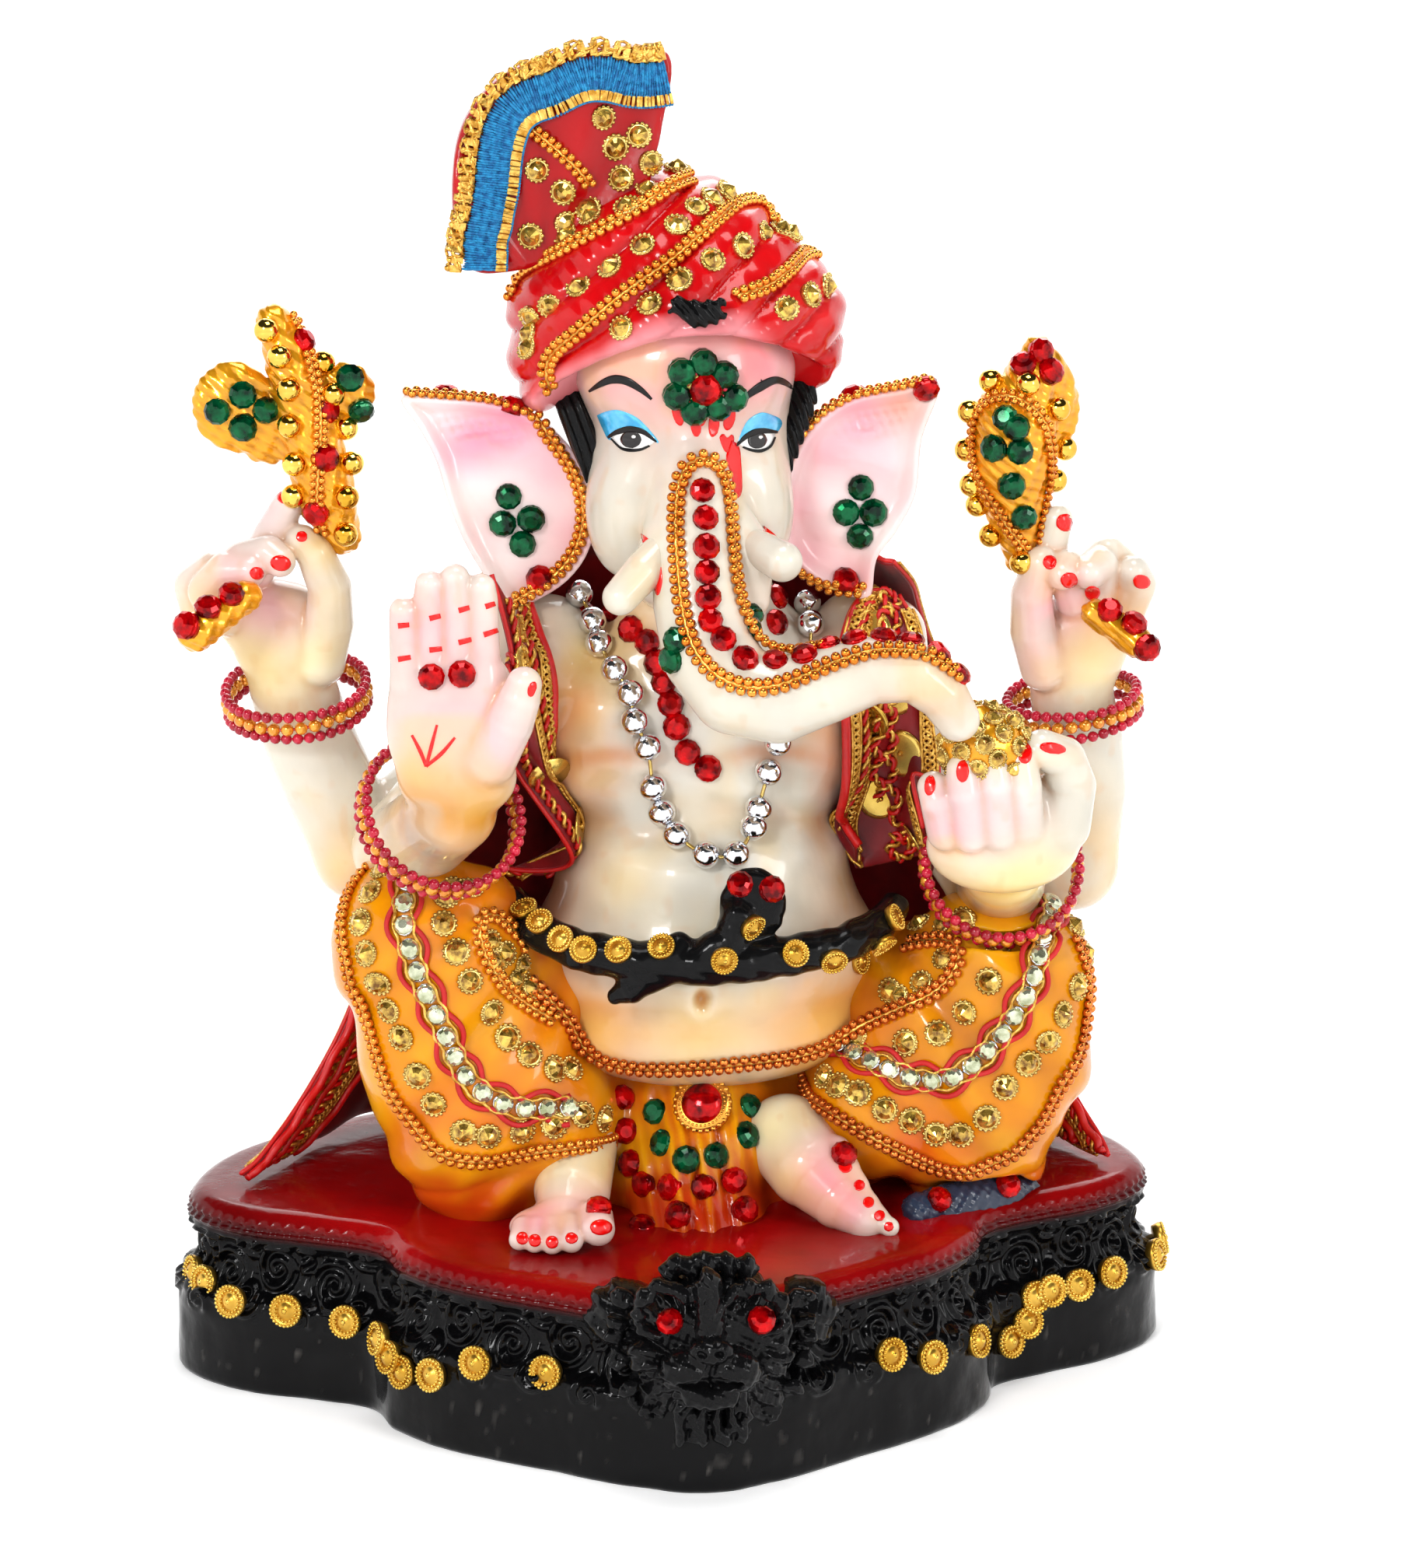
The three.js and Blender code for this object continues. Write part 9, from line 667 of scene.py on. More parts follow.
def groups(k):
    if k.startswith("trunk_"): return ("head",)
    if k.startswith("fan_"): return ("turban_fan", "turban")
    if k.startswith("turban_fan"): return ("turban_fan", "turban")
    if k.startswith("turban"): return ("turban",)
    if k.startswith("ear_right"): return ("ear_right",)
    if k.startswith("ear_left"): return ("ear_left",)
    if k.startswith("dhoti"): return ("dhoti_legs",)
    if k.startswith("waist"): return ("dhoti_legs", "torso")
    if k in ("silver_beads", "chest_reds", "chest_reds_left"): return ("torso", "head")
    if k.startswith("belt"): return ("snake_belt", "torso")
    if k.startswith("flower"): return ("head", "turban")
    if k.startswith("axe_h"): return ("axe_handle",)
    if k.startswith("axe"): return ("axe",)
    if k.startswith("mace_h"): return ("mace_handle",)
    if k.startswith("mace"): return ("mace",)
    if k.startswith("apron") or k == "medallion": return ("dhoti_legs", "base")
    if k.startswith("foot"): return ("foot_right", "foot_left")
    if k.startswith("mouse"): return ("mouse",)
    if k.startswith("palm"): return ("front_arm_right",)
    if k.startswith("lion"): return ("lion_mask",)
    if k.startswith("base"): return ("base",)
    return ("torso",)

# ball chain: a double row of beads on a flat thread
def ball_chain(key, P, names, r=0.80, node=None, mat="chain", shift=0.0):
    Q, N, T = lay(P, names, r*0.75, pitch=r*2.02); B = np.cross(N, T); s = Soup(); k = len(Q); wob = 0.10*np.sin(np.arange(k)*1.7)
    R = frames(N, T)
    s.add(ICO2, Q+B*(r*1.02)+N*wob[:, None], R, r, 0); Q2 = (Q[:-1]+Q[1:])/2; B2 = B[:-1]; s.add(ICO2, Q2-B2*(r*1.02), R[:-1], r, 0)
    V, F = tube(Q-N*r*0.25, r*0.55, 5); s.raw(V, F, 1)
    return s.build(key+"_beads", [MT[mat], MT["thread_gold"]], "ball_chain", replaces=(node,) if node else ())
for k in ("turban_chain_upper", "turban_chain_middle", "turban_chain_short", "ear_right_chain", "ear_left_chain", "trunk_chain", "waist_chain", "dhoti_right_chain", "dhoti_left_chain", "dhoti_right_loop_chain"):
    ball_chain(k, LINES[k], groups(k), (1.0 if "dhoti" in k else 1.05 if k in ("waist_chain", "trunk_chain") else 0.98), node=k, mat="chainc" if ("waist" in k or "left_chain" in k and "dhoti" in k) else "chain")
ball_chain("fan_chain", LINES["fan_chain"], ("turban_fan", "turban"), 0.85); ball_chain("axe_chain", LINES["axe_chain"], ("axe",), 0.85); ball_chain("mace_chain", LINES["mace_chain"], ("mace",), 0.85)
log("chains")

# stones
def gold_stone(s, pos, R, r):
    """flat-back stone in a rope-edge cup: mats 0 = gold, 1 = champagne"""
    s.add(lathe([(0, -0.5), (1.0, -0.45), (1.02, 0.1), (0.8, 0.16), (0, 0.1)], 16, True), pos, R, r*0.93, 0)
    m = 15; r = np.broadcast_to(np.asarray(r, float), (len(pos),)); r9 = (r*0.9)[:, None]
    for i in range(m):
        a = 2*math.pi*i/m; s.add(ICO1, pos+np.einsum("nij,j->ni", R, np.array([math.cos(a), math.sin(a), 0.06]))*r9, R, r*0.165, 0)
    s.add(CONE, pos+R[:, :, 2]*(r9*0.09), R, r*0.72, 1)
def stones(name, keys, kind, r, node=None, slot=None, lift=0.25):
    s = Soup()
    for key in keys:
        P = np.array(LINES[key]); pos, nrm = cast(groups(key), P); N = nrm.copy()
        rs = r*(0.96+0.08*((np.arange(len(P))*7) % 5)/4)
        if len(P) > 1 and key not in ("flower_greens",):
            T = np.gradient(P, axis=0)
        else: T = any_tangent(N)
        T = np.where(np.linalg.norm(np.cross(T, N), axis=1, keepdims=True) < 1e-3, any_tangent(N), T); R = frames(N, T); p = pos+R[:, :, 2]*lift
        if kind == "gold": gold_stone(s, p, R, rs)
        else: s.add(lathe([(0, -0.5), (1.0, -0.5), (1.0, 0.12), (0, 0.12)], 14, True), p, R, rs*0.97, 0); s.add(GEM, p+R[:, :, 2]*0.05, R, rs, 1)
    mats = [MT["rim"], MT["champ"]] if kind == "gold" else [MT["ruby" if kind == "ruby" else "emerald"]]*2
    return s.build(name, mats, slot or {"gold": "gold_stone", "ruby": "ruby_stone", "emerald": "emerald_stone"}[kind], replaces=(node,) if node else ())
stones("trunk_stones", ["trunk_stones"], "ruby", 2.75, "trunk_stone_row"); stones("chest_rubies", ["chest_reds", "chest_reds_left"], "ruby", 2.9, "chest_stone_row")
stones("turban_upper_stones", ["turban_upper_stones"], "gold", 2.75, "turban_upper_stone_row"); stones("turban_lower_stones", ["turban_lower_stones"], "gold", 2.75, "turban_lower_stone_row")
stones("turban_other_stones", ["turban_fan_stones", "turban_side_stones"], "gold", 2.75)
for a, b in (("dhoti_right_outer_stones", "dhoti_right_outer_stone_row"), ("dhoti_right_inner_stones", "dhoti_right_inner_stone_row"), ("dhoti_left_outer_stones", "dhoti_left_outer_stone_row"), ("dhoti_left_inner_stones", "dhoti_left_inner_stone_row")): stones(a, [a], "gold", 2.95, b)
stones("dhoti_loop_stones", ["dhoti_right_loop_stones", "dhoti_left_loop_stones"], "gold", 2.7)
stones("apron_emeralds", ["apron_greens"], "emerald", 3.0); stones("apron_rubies", ["apron_reds"], "ruby", 2.95)
stones("other_rubies", ["belt_rubies", "foot_rubies", "mouse_rubies", "ear_right_reds", "ear_left_reds", "palm_reds", "axe_reds", "axe_handle_reds", "mace_reds", "mace_handle_reds", "lion_eyes"], "ruby", 2.9)
stones("other_emeralds", ["ear_right_greens", "ear_left_greens", "trunk_greens", "axe_greens", "mace_greens"], "emerald", 2.95)
# forehead flower
s = Soup(); P = np.array(LINES["flower_greens"]); pos, nrm = cast(("head", "turban"), P); Nf = nrm.mean(0); Nf /= np.linalg.norm(Nf); pc, _x = cast(("head", "turban"), np.array(LINES["flower_red"]))
N = np.tile(Nf, (len(P), 1)); R = frames(N, any_tangent(N)); pl = pos-Nf*((pos-pos.mean(0))@Nf)[:, None]+Nf*1.0
s.add(GEM, pl, R, 3.0, 1); s.add(lathe([(0, -.9), (1, -.9), (1, .05), (0, .05)], 14, True), pl, R, 2.9, 1)
R1 = frames(Nf[None], any_tangent(Nf[None])); c0 = pl.mean(0)[None]+Nf*0.3; s.add(lathe([(0, -.9), (1, -.9), (1, .1), (0, .1)], 20, True), c0, R1, 4.6, 0); s.add(GEM, c0+Nf*0.3, R1, 3.4, 2)
for i in range(18): a = 2*math.pi*i/18; s.add(ICO2, c0+(R1[0] @ np.array([math.cos(a)*4.1, math.sin(a)*4.1, .35]))[None], R1, .55, 3)
s.build("forehead_flower_stones", [MT["rim"], MT["emerald"], MT["ruby"], MT["redbead"]], "emerald_stone", replaces=("forehead_flower",))
# medallion
s = Soup(); pm, nm = cast(("dhoti_legs",), np.array(LINES["medallion"])); nm = nm*0.5+np.array([[0.02, -0.8, 0.55]]); nm /= np.linalg.norm(nm); Rm = frames(nm, np.array([[1.0, 0, 0]]))
s.add(lathe([(0, -.25), (1, -.25), (1.0, .1), (.8, .16), (0, .16)], 40, True), pm+nm*.6, Rm, 6.2, 0)
for i in range(26): a = 2*math.pi*i/26; s.add(ICO2, pm+nm*.9+(Rm[0] @ np.array([math.cos(a)*5.9, math.sin(a)*5.9, 0]))[None], Rm, .62, 0)
for i in range(34): a = 2*math.pi*i/34; s.add(ICO1, pm+nm*1.5+(Rm[0] @ np.array([math.cos(a)*4.9, math.sin(a)*4.9, 0]))[None], Rm, .36, 0)
s.add(lathe([(0, 0), (1, 0), (.97, .14), (.85, .28), (.6, .4), (.3, .46), (0, .48)], 32, True), pm+nm*1.3, Rm, 4.5, 1)
s.build("medallion_cast", [MT["chain2"], MT["ruby"]], "gold_paint", replaces=("medallion",))
# sequins of belt and plinth
SEQ = lathe([(0, -.5), (.9, -.5), (1.03, -.05), (.98, .08), (.84, .10), (.78, .06), (.52, .06), (.44, .14), (.22, .26), (0, .29)], 32, True)
def sequins(name, keys, r, node, names, up=None):
    s = Soup()
    for key in keys:
        P = np.array(LINES[key]); pos, nrm = cast(names, P)
        if up is not None:
            Hn = nrm.copy(); 
            for i in range(len(P)):
                q = P[i]; j = np.argmin((OUT[:, 0]-q[0])**2+(OUT[:, 1]-q[1])**2); Hn[i] = [NOR[j, 0], NOR[j, 1], up]
            nrm = Hn/np.linalg.norm(Hn, axis=1, keepdims=True)
        R = frames(nrm, any_tangent(nrm)); p = pos+R[:, :, 2]*(1.5 if up is not None else 0.75); s.add(SEQ, p, R, r, 1); s.add(ICO1, p+R[:, :, 2]*r*.2, R, r*.2, 0)
        for m, rr, br in ((24, .92, .12), (18, .66, .09)):
            for i in range(m): a = 2*math.pi*i/m; s.add(ICO1, p+np.einsum("nij,j->ni", R, np.array([math.cos(a)*rr, math.sin(a)*rr, .12])*r), R, r*br, 0)
    return s.build(name, [MT["sequin"], MT["sequin_d"]], "gold_sequin", replaces=(node,))
sequins("belt_sequins", ["belt_sequins"], 2.9, "belt_stone_row", ("snake_belt", "torso")); sequins("base_sequins_right", ["base_sequins_right"], 3.6, "base_sequin_row_right", ("base",), 0.20); sequins("base_sequins_left", ["base_sequins_left"], 3.6, "base_sequin_row_left", ("base",), 0.20)
# silver bead necklace
s = Soup(); P = np.array(LINES["silver_beads"]); pos, nrm = cast(("torso",), P); A, B_ = pos[:15]+nrm[:15]*2.7, pos[15:]+nrm[15:]*2.7
for q in (A, B_): s.add(ICO3, q, np.tile(np.eye(3), (len(q), 1, 1)), 3.0, 0); V, F = tube(crom(q, 1.0), .45, 5); s.raw(V, F, 1)
s.build("silver_beads", [MT["silver"], MT["rim"]], "silver_bead", replaces=("silver_bead_necklace",))
# plated balls on axe and mace
s = Soup()
for key in ("axe_balls", "mace_balls"):
    P = np.array(LINES[key]); pos, nrm = cast(groups(key), P); s.add(ICO3, pos+nrm*1.2, np.tile(np.eye(3), (len(P), 1, 1)), 2.6, 0)
s.build("attribute_balls", [MT["plated"]], "ball_chain")
log("stones")
# crystal laces
def crystal_lace(key):
    Q, N, T = lay(LINES[key], ("dhoti_legs",), 0.5, pitch=1.0); s = Soup(); B = np.cross(N, T); d = np.arange(len(Q))*1.0
    E = even(np.hstack([Q, N]), 4.9); Nn_ = E[:, 3:]/np.linalg.norm(E[:, 3:], axis=1, keepdims=True); Te = np.gradient(E[:, :3], axis=0); R = frames(Nn_, Te)
    s.add(lathe([(0, -.4), (1, -.4), (1, .15), (.86, .25), (0, .2)], 14, True), E[:, :3], R, 2.3, 0); s.add(GEM, E[:, :3]+Nn_*.25, R, 2.1, 1)
    for off in (-1, 1):
        w_ = 1.5+2.3*np.abs(np.sin(d*math.pi/9.8+math.pi/2*(off > 0))); V, F = tube(sm(Q+B*(off*w_)[:, None]+N*.2, 1), .62, 6); s.raw(V, F, 2)
        w_ = 1.3+1.2*np.abs(np.cos(d*math.pi/4.9)); V, F = tube(sm(Q+B*(off*w_)[:, None]+N*.5, 1), .38, 5); s.raw(V, F, 3)
    return s.build(key, [MT["silver"], MT["crystal"], MT["thread_red"], MT["thread_gold"]], "crystal_trim", replaces=(key,))
for k in ("dhoti_right_crystal_lace", "dhoti_left_crystal_lace"): crystal_lace(k)
# stones on the sweet
s = Soup(); q = CASTINGS["modak"][0]; c = np.array(q[1:4]); pts = []
for i in range(46):
    z = 1-2*(i+.5)/46; a = i*2.399963; d = np.array([math.sqrt(1-z*z)*math.cos(a), math.sqrt(1-z*z)*math.sin(a), z]); pts.append(c+d*14)
pos, nrm = snap(("modak",), np.array(pts)); gold_stone(s, pos+nrm*.2, frames(nrm, any_tangent(nrm)), np.full(len(pos), 2.15)); s.build("modak_stones", [MT["rim"], MT["champ"]], "gold_stone")

# fan lace: blue yarn band, gold stripe, gold ruffle
s = Soup(); L0 = np.array(MISC["lace"]); Q, N, T = lay(L0, ("turban_fan",), 0.9, pitch=0.62, smooth=3); N = np.tile([[0, -1.0, 0]], (len(Q), 1))+0.35*N; N /= np.linalg.norm(N, axis=1, keepdims=True); B = np.cross(N, T)
Bs = B if (B[len(B)//2][2] > 0) else -B
if Bs[0][0] > 0: Bs = -Bs
side = np.sign((Bs*(Q-np.array([FANC[0]+14, -4, 250]))).sum(1)); Bs = Bs*np.where(side == 0, 1, side)[:, None]
ones = np.arange(len(Q)); Q = Q+Bs*1.5; jit = 0.5+0.5*np.sin(ones*12.9898)*np.cos(ones*4.1)
Qf = even(np.hstack([Q, N, T, Bs]), 0.5); q, n_, t_, b_ = Qf[:, :3], Qf[:, 3:6], Qf[:, 6:9], Qf[:, 9:12]; kf = np.arange(len(q)); jf = 0.5+0.5*np.sin(kf*12.9898)
def frame_of(n_, t_, b_, sx, sy, sz): return np.stack([t_*sx, b_*sy, n_*sz], axis=2)
for off, w_, ph_ in ((-1.7, 1.5, 0), (0.4, 1.6, 1), (2.4, 1.5, 2)):
    s.add(ICO2, q+b_*(off+0.25*np.sin(kf*1.3+ph_))[:, None]+n_*(.25*np.sin(kf*2.1+ph_))[:, None]+n_*.5, frame_of(n_, t_, b_, .34, w_, .62), 1.0, 0)
V, F = tube(q+b_*.4-n_*.2, 0.6, 6); s.raw(V, F, 0)
BAR = (np.array([[x, y, z] for x in (-.26, .26) for y in (-.95, .95) for z in (-.3, .35)]), np.array([(0,1,3),(0,3,2),(4,6,7),(4,7,5),(0,4,5),(0,5,1),(2,3,7),(2,7,6),(0,2,6),(0,6,4),(1,5,7),(1,7,3)]), False)
e2 = even(Qf, 0.72); m_ = len(e2); w2 = np.sin(np.arange(m_)*2.4)*0.35
c2, s2 = np.cos(w2), np.sin(w2); R2 = np.stack([e2[:, 6:9]*c2[:, None]+e2[:, 3:6]*s2[:, None], e2[:, 9:12], -e2[:, 6:9]*s2[:, None]+e2[:, 3:6]*c2[:, None]], axis=2)
s.add(BAR, e2[:, :3]-e2[:, 9:12]*4.1+e2[:, 3:6]*.45, R2, 1.12, 1)
for off in (-5.3, -2.95): s.add(ICO1, q+b_*off+n_*.3, frame_of(n_, t_, b_, .4, .42, .5), 1.0, 0)
# ruffle: looped gold thread over the outer edge, with flat bright scales
lp = kf*0.5*2*math.pi/3.6
for k_, (o_, a_, r_) in enumerate(((4.6, 1.0, .5), (5.6, 1.5, .42), (6.4, 1.3, .36), (5.2, 1.2, .34))):
    V, F = tube(q+b_*(o_+a_*0.8*np.sin(lp+k_*1.3))[:, None]+n_*(a_*0.8*np.cos(lp*1.0+k_*1.7)+.3)[:, None]+t_*(0.8*np.sin(lp*2+k_))[:, None], r_, 6); s.raw(V, F, 1)
e3 = even(Qf, 1.7); w3 = np.sin(np.arange(len(e3))*1.9)*.5; c3, s3 = np.cos(w3), np.sin(w3)
R3 = np.stack([e3[:, 6:9]*c3[:, None]+e3[:, 3:6]*s3[:, None], e3[:, 9:12], -e3[:, 6:9]*s3[:, None]+e3[:, 3:6]*c3[:, None]], axis=2)
s.add(BAR, e3[:, :3]+e3[:, 9:12]*5.2+e3[:, 3:6]*.9, R3*np.array([2.2, 1.0, .7])[None, None, :], 1.3, 1)
s.add(ICO2, e3[:, :3]+e3[:, 9:12]*6.6+e3[:, 3:6]*.2, R3*np.array([.75, .9, .75])[None, None, :], 1.0, 1)
s.build("fan_lace_trim", [MT["blue_yarn"], MT["thread_gold"]], "lace_trim", replaces=("fan_lace",)); log("lace")

# ------------------------------------------------------------------ bracelets
for n, r in RINGS.items():
    s = Soup(); c = np.array(r["c"]); ax, u, v = ring_axes(r); rm = (r["ri"]+r["ro"])/2
    for h, br, mt, rad in ((-2.45, 1.22, 0, rm+.15), (0.0, 1.45, 1, rm+.1), (2.45, 1.22, 0, rm+.15)):
        m = int(2*math.pi*rad/(br*1.98)); a = np.arange(m)*2*math.pi/m+h; wv = 0.22*np.sin(a*3+h)
        P = c+(np.cos(a)[:, None]*u+np.sin(a)[:, None]*v)*rad+ax*(h+wv)[:, None]; s.add(ICO2, P, np.tile(np.eye(3), (m, 1, 1)), br, mt)
        a2 = np.linspace(0, 2*math.pi, 49); V, F = tube(c+(np.cos(a2)[:, None]*u+np.sin(a2)[:, None]*v)*rad+ax*(h+0.22*np.sin(a2*3+h))[:, None], .35, 5); s.raw(V, F, 0)
    s.build(n+"_beads", [MT["redbead"], MT["goldbead"]], "seed_bead", body=n, replaces=(n,))

# ------------------------------------------------------------------ paint on the castings
def patch_grid(rows, names, lift, depth=0.35):
    """rows x cols points cast on a surface, returned as a lifted layer and a sunken layer"""
    R_, C_ = rows.shape[:2]; pos, nrm = cast(names, rows.reshape(-1, 3), 14); return pos+nrm*lift, pos-nrm*depth
def closed_from(top, bot, F, border):
    n = len(top); V = np.vstack([top, bot]); G = [F, F[:, ::-1]+n]; b = np.array(border); b2 = np.roll(b, -1); G.append(np.stack([b, b+n, b2+n], 1)); G.append(np.stack([b, b2+n, b2], 1)); return V, np.concatenate(G)
PAINT = {}
for kind, mt, pts, names, size, lift in DECALS:
    P = np.array(pts, float); s = PAINT.setdefault(mt, Soup()); names = tuple(names)
    if kind == "poly":
        c = P.mean(0); B = even(crom(np.vstack([P, P[:1]]), .5), .45)[:-1] if len(P) < 17 else P; m = len(B); rings_ = [c+(B-c)*k for k in (.25, .5, .75, 1.0)]; A = np.vstack([c[None]]+rings_)
        F = [(0, 1+i, 1+(i+1) % m) for i in range(m)]
        for k in range(3):
            for i in range(m): a, b = 1+k*m+i, 1+k*m+(i+1) % m; F += [(a, a+m, b+m), (a, b+m, b)]
        border = [1+3*m+i for i in range(m)]
    else:
        Q = even(np.hstack([crom(P, .4)]), .4); n_ = len(Q); sz = np.interp(np.linspace(0, 1, n_), np.linspace(0, 1, len(size)), size)*0.16/2
        T = np.gradient(Q, axis=0); T /= np.maximum(np.linalg.norm(T, axis=1, keepdims=True), 1e-9); V_ = Q-EYE; V_ /= np.linalg.norm(V_, axis=1, keepdims=True); B = np.cross(T, V_)
        K = 5 if max(size) < 14 else 9; A = np.concatenate([Q+B*(sz*k)[:, None] for k in np.linspace(-1, 1, K)]); F = []
        for k in range(K-1):
            for i in range(n_-1): a = k*n_+i; b = a+n_; F += [(a, a+1, b+1), (a, b+1, b)]
        border = list(range(n_))+[k*n_+n_-1 for k in range(1, K)]+[(K-1)*n_+i for i in range(n_-2, -1, -1)]+[k*n_ for k in range(K-2, 0, -1)]
    F = np.array(F); pos, nrm = cast(names, A, 14); top = pos+nrm*lift
    fn = np.cross(top[F[:, 1]]-top[F[:, 0]], top[F[:, 2]]-top[F[:, 0]]).sum(0)
    if fn@nrm.mean(0) < 0: F = F[:, ::-1]; border = border[::-1]
    V, G = closed_from(top, pos-nrm*.35, F, border); s.raw(V, G, 0)
SLOT = {"paint_red": "ruby_stone", "paint_black": "black_resin", "paint_blue": "lace_trim", "paint_white": "skin_resin", "paint_iris": "black_resin"}
for mt, s in PAINT.items(): s.build(mt+"_marks", [MT[mt]], SLOT[mt])
log("paint")

# ------------------------------------------------------------------ shawl
def bic(G, nv, nu):
    G = np.array(G, float)
    def cr_(A, t):
        n = len(A); i = np.clip(np.floor(t).astype(int), 0, n-2); f = (t-i).reshape(-1, 1, 1); p0, p1, p2, p3 = A[np.clip(i-1, 0, n-1)], A[i], A[i+1], A[np.clip(i+2, 0, n-1)]
        return .5*((2*p1)+(-p0+p2)*f+(2*p0-5*p1+4*p2-p3)*f*f+(-p0+3*p1-3*p2+p3)*f**3)
    X = cr_(G, np.linspace(0, len(G)-1, nv)); return np.swapaxes(cr_(np.swapaxes(X, 0, 1), np.linspace(0, G.shape[1]-1, nu)), 0, 1)
def grid_n(P, flip):
    a = np.gradient(P, axis=0); b = np.gradient(P, axis=1); n = np.cross(a, b); n /= np.maximum(np.linalg.norm(n, axis=2, keepdims=True), 1e-9); return -n if flip else n
def cloth(name, P, N, th, mat, node, rests, flat=None):
    nv_, nu_ = P.shape[:2]; n = nv_*nu_; top = (P+N*th/2).reshape(-1, 3); bot = (P-N*th/2).reshape(-1, 3); I, J = np.meshgrid(np.arange(nv_-1), np.arange(nu_-1), indexing="ij"); a = (I*nu_+J).ravel()
    F = np.stack([a, a+nu_, a+nu_+1, a+1], 1); fn = np.cross(top[F[:, 1]]-top[F[:, 0]], top[F[:, 2]]-top[F[:, 0]]).sum(0)
    if (fn*N.reshape(-1, 3).mean(0)).sum() < 0: F = F[:, ::-1]
    bd = list(range(nu_))+[i*nu_+nu_-1 for i in range(1, nv_)]+[(nv_-1)*nu_+j for j in range(nu_-2, -1, -1)]+[i*nu_ for i in range(nv_-2, 0, -1)]
    q0 = set(map(tuple, np.concatenate([F[:, [0, 1]], F[:, [1, 2]], F[:, [2, 3]], F[:, [3, 0]]]).tolist()))
    if (bd[0], bd[1]) not in q0: bd = bd[::-1]
    b = np.array(bd); b2 = np.roll(b, -1); V = np.vstack([top, bot]); G = np.concatenate([F, F[:, ::-1]+n, np.stack([b2, b, b+n, b2+n], 1)])
    o = make(name, V, G, mat, replaces=(node,))
    ar = 0.5*np.linalg.norm(np.cross(P[1:, 1:]-P[:-1, :-1], P[1:, :-1]-P[:-1, 1:]), axis=2).sum()*1e-6
    wid = np.linalg.norm(np.diff(P, axis=1), axis=2).sum(1).max()*1e-3; ln = np.linalg.norm(np.diff(P, axis=0), axis=2).sum(0).max()*1e-3
    log("cloth", name, "area %.5f width %.4f length %.4f" % (ar, wid, ln)); return o, ar, wid, ln
def rope(s, path, N, mats=(0, 1), amp=.75, r=.5, pitch=4.2):
    Q = even(np.hstack([path, N]), .55); N_ = Q[:, 3:]/np.linalg.norm(Q[:, 3:], axis=1, keepdims=True); Q = Q[:, :3]; T = np.gradient(Q, axis=0); T /= np.linalg.norm(T, axis=1, keepdims=True); B = np.cross(N_, T); d = np.arange(len(Q))*.55
    for i, m in enumerate(mats): ph_ = d*2*math.pi/pitch+i*2*math.pi/len(mats); V, F = tube(Q+B*(amp*np.cos(ph_))[:, None]+N_*(amp*.55*np.sin(ph_)+amp*.5)[:, None], r, 6); s.raw(V, F, m)
def braid(s, path, N, w, mat=0):
    """flat plaited trim: three strands crossing plus a cord along each edge"""
    Q = even(np.hstack([path, N]), .6); N_ = Q[:, 3:]/np.linalg.norm(Q[:, 3:], axis=1, keepdims=True); Q = Q[:, :3]; T = np.gradient(Q, axis=0); T /= np.linalg.norm(T, axis=1, keepdims=True); B = np.cross(N_, T); d = np.arange(len(Q))*.6
    for i in range(3): ph_ = d*2*math.pi/4.4+i*2*math.pi/3; V, F = tube(Q+B*(w*.42*np.sin(ph_))[:, None]+N_*(.35+.3*np.cos(2*ph_))[:, None], .42, 5); s.raw(V, F, mat)
    for sg in (-1, 1): V, F = tube(Q+B*(sg*w*.62)+N_*.25, .36, 5); s.raw(V, F, mat)
def pick(P, N, v0, u0, v1, u1, n=40):
    """straight run in grid coordinates (0..1)"""
    t = np.linspace(0, 1, n); v = (v0+(v1-v0)*t)*(P.shape[0]-1); u_ = (u0+(u1-u0)*t)*(P.shape[1]-1)
    i, j = np.clip(v.astype(int), 0, P.shape[0]-2), np.clip(u_.astype(int), 0, P.shape[1]-2); a, b = (v-i)[:, None], (u_-j)[:, None]
    f = lambda A: A[i, j]*(1-a)*(1-b)+A[i+1, j]*a*(1-b)+A[i, j+1]*(1-a)*b+A[i+1, j+1]*a*b
    n_ = f(N); return f(P), n_/np.linalg.norm(n_, axis=1, keepdims=True)
DISC = lathe([(0, -.05), (1, -.05), (1.0, .03), (.8, .06), (.16, .03), (0, .03)], 28, True)
LIGHT_SIDE = lambda P, N: N
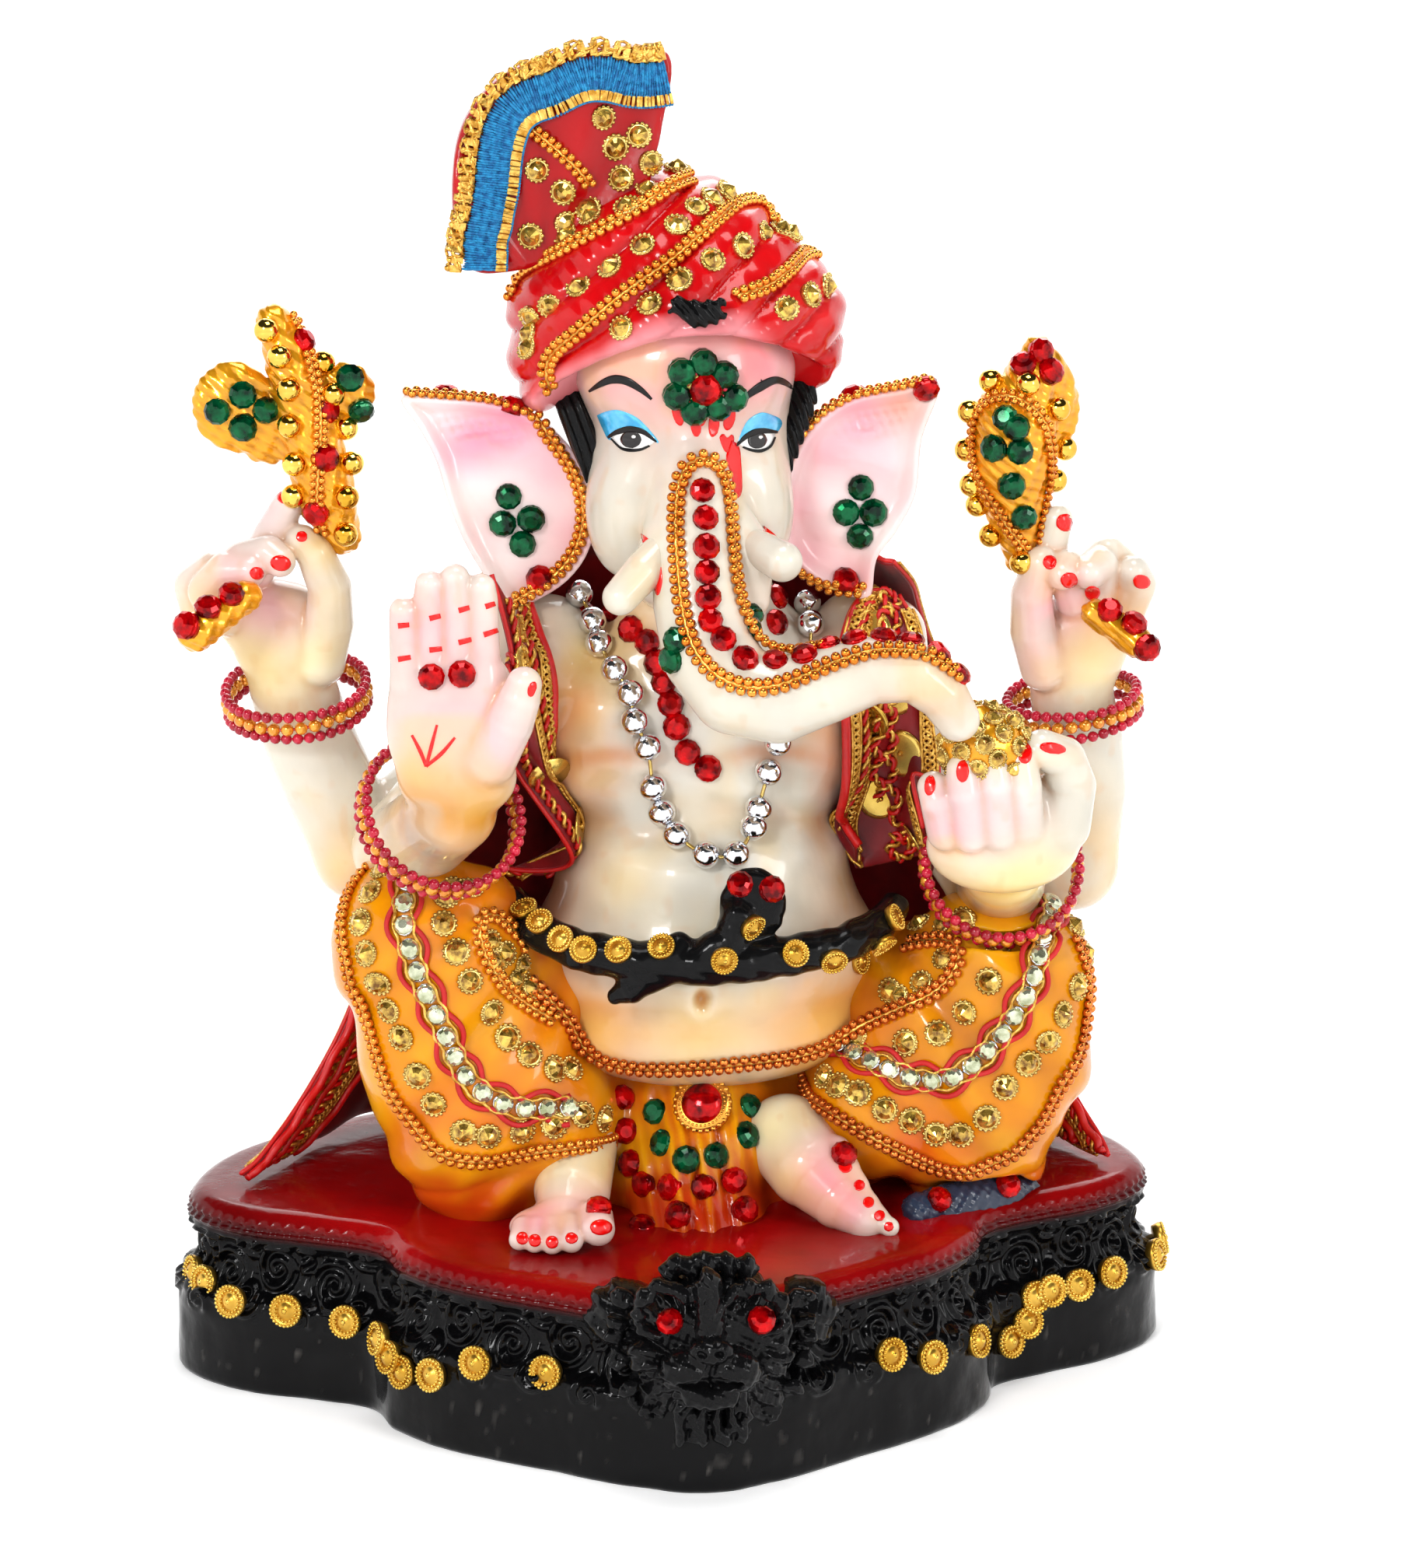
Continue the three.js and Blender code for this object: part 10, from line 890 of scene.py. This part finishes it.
def shawl_piece(name, nv_, nu_, out_dir, folds, th, edges, cords, discs, rests, inner=()):
    P = bic(MISC["shawl"][name], nv_, nu_); N = grid_n(P, False)
    if (N.reshape(-1, 3)*out_dir(P).reshape(-1, 3)).sum() < 0: N = -N
    vv, uu = np.meshgrid(np.linspace(0, 1, nv_), np.linspace(0, 1, nu_), indexing="ij"); P = P+N*folds(vv, uu)[..., None]; N = grid_n(P, False)
    if (N.reshape(-1, 3)*out_dir(P).reshape(-1, 3)).sum() < 0: N = -N
    o, ar, wid, ln = cloth(name+"_cloth", P, N, th, MT["satin"], name, rests); s = Soup()
    for e in edges: q, n = pick(P, N, *e, n=int(120)); V, F = tube(even(q+n*th*.5, .8), .55, 6); s.raw(V, F, 0)
    for kind, e in cords:
        q, n = pick(P, N, *e, n=int(120)); q = q+n*th*.6
        if kind == "rope": rope(s, q, n, (0, 1))
        elif kind == "wave":
            t = np.linspace(0, 1, len(q)); b = np.cross(n, np.gradient(q, axis=0)); b /= np.linalg.norm(b, axis=1, keepdims=True); rope(s, q+b*(2.6*np.sin(t*2*math.pi*5))[:, None], n, (0, 1)); rope(s, q-b*(2.6*np.sin(t*2*math.pi*5))[:, None], n, (0, 1))
        elif kind == "red": V, F = tube(even(q+n*.3, .8), 1.0, 8); s.raw(V, F, 0)
        else: braid(s, q, n, 2.6, 1)
    for kind, e, off_ in inner:
        q, n = pick(P, N, *e, n=120); q = q-n*(th*.6+off_); n = -n
        if kind == "rope": rope(s, q, n, (0, 1), .8, .55, 3.6)
        elif kind == "red": wq = np.cross(n, np.gradient(q, axis=0)); wq /= np.linalg.norm(wq, axis=1, keepdims=True); V, F = tube(even(q+wq*(.5*np.sin(np.arange(len(q))*.55))[:, None]+n*.3, .8), .95, 8); s.raw(V, F, 0)
        else: braid(s, q, n, 2.0, 1)
    for v0, u0, r in discs: q, n = pick(P, N, v0, u0, v0+.001, u0, 2); R = frames(n[:1], any_tangent(n[:1])); s.add(DISC, q[:1]+n[:1]*(th*.5+.25), R, r, 2); s.add(ICO2, q[:1]+n[:1]*(th*.5+.5), R, .6, 1)
    t_ = s.build(name+"_trim", [MT["piping"], MT["thread_gold"], MT["brass_disc"]], "shawl_cloth")
    return o, t_, ar, wid, ln
out_back = lambda P: P-np.array([4, -20, 90.0]); out_front = lambda P: np.broadcast_to(np.array([0, -1.0, 0]), P.shape)
kb = 1
SH = {}
SH["shawl_back"] = shawl_piece("shawl_back", 120//kb, 180//kb, out_back, lambda v, u: (0.9*np.sin(u*38+2*np.sin(v*3))*(0.25+0.75*v)+0.35*np.sin(u*83+v*6))*np.clip(np.minimum(u, 1-u)*12, .2, 1), 0.9,
    [(0, 0, 0, 1), (0, 0, 1, 0), (0, 1, 1, 1), (1, 0, 1, 1)], [("braid", (.02, .02, .98, .02)), ("braid", (.02, .98, .98, .98)), ("braid", (.97, .02, .97, .98)), ("wave", (.05, .05, .96, .05)), ("wave", (.05, .95, .96, .95)), ("wave", (.88, .06, .88, .94))],
    [(.12+.16*i, .12+.19*j+.09*(i % 2), 4.2) for i in range(5) for j in range(5) if .1 < .12+.19*j+.09*(i % 2) < .9], ["torso_cast", "dhoti_legs_cast", "base_plinth_cast"],
    [(k_, (.35, abs(s_-u_), .985, abs(s_-u_)), o_) for s_ in (0, 1) for k_, u_, o_ in (("red", .003, .3), ("rope", .016, .2), ("braid", .030, .1), ("red", .045, .2), ("rope", .058, .1), ("braid", .072, .1), ("red", .088, .3))])
SH["shawl_front_right"] = shawl_piece("shawl_front_right", 90//kb, 26, out_front, lambda v, u: .35*np.sin(v*16+u*3)+.3*np.sin(u*9), 0.8, [(0, 0, 1, 0), (0, 1, 1, 1)], [("braid", (0, .86, 1, .86)), ("rope", (0, .66, 1, .64)), ("braid", (0, .46, 1, .42)), ("rope", (.02, .16, .98, .14)), ("red", (0, .97, 1, .97))], [(.1, .35, 4.4), (.36, .38, 4.6), (.6, .36, 4.8), (.8, .3, 4.2)], ["torso_cast"])
SH["shawl_front_left"] = shawl_piece("shawl_front_left", 90//kb, 60//kb, out_front, lambda v, u: .9*np.sin(u*15+v*1.5)*np.clip(v*4, .2, 1)+.3*np.sin(v*14+u*5), 0.8, [(0, 0, 1, 0), (0, 1, 1, 1), (0, .03, 1, .03)], [("red", (0, .01, 1, .01)), ("braid", (0, .09, 1, .08)), ("rope", (0, .17, 1, .15)), ("braid", (0, .26, 1, .23)), ("wave", (.02, .58, .98, .52)), ("braid", (.1, .93, 1, .93))], [(.2, .36, 5), (.36, .7, 5.2), (.46, .36, 5), (.6, .72, 5.4), (.74, .36, 4.8), (.88, .7, 5)], ["torso_cast"])
for n, (o, t_, ar, wid, ln) in SH.items():
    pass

log("all", sum(len(o.data.polygons) for o in bpy.data.objects if o.type == "MESH"))
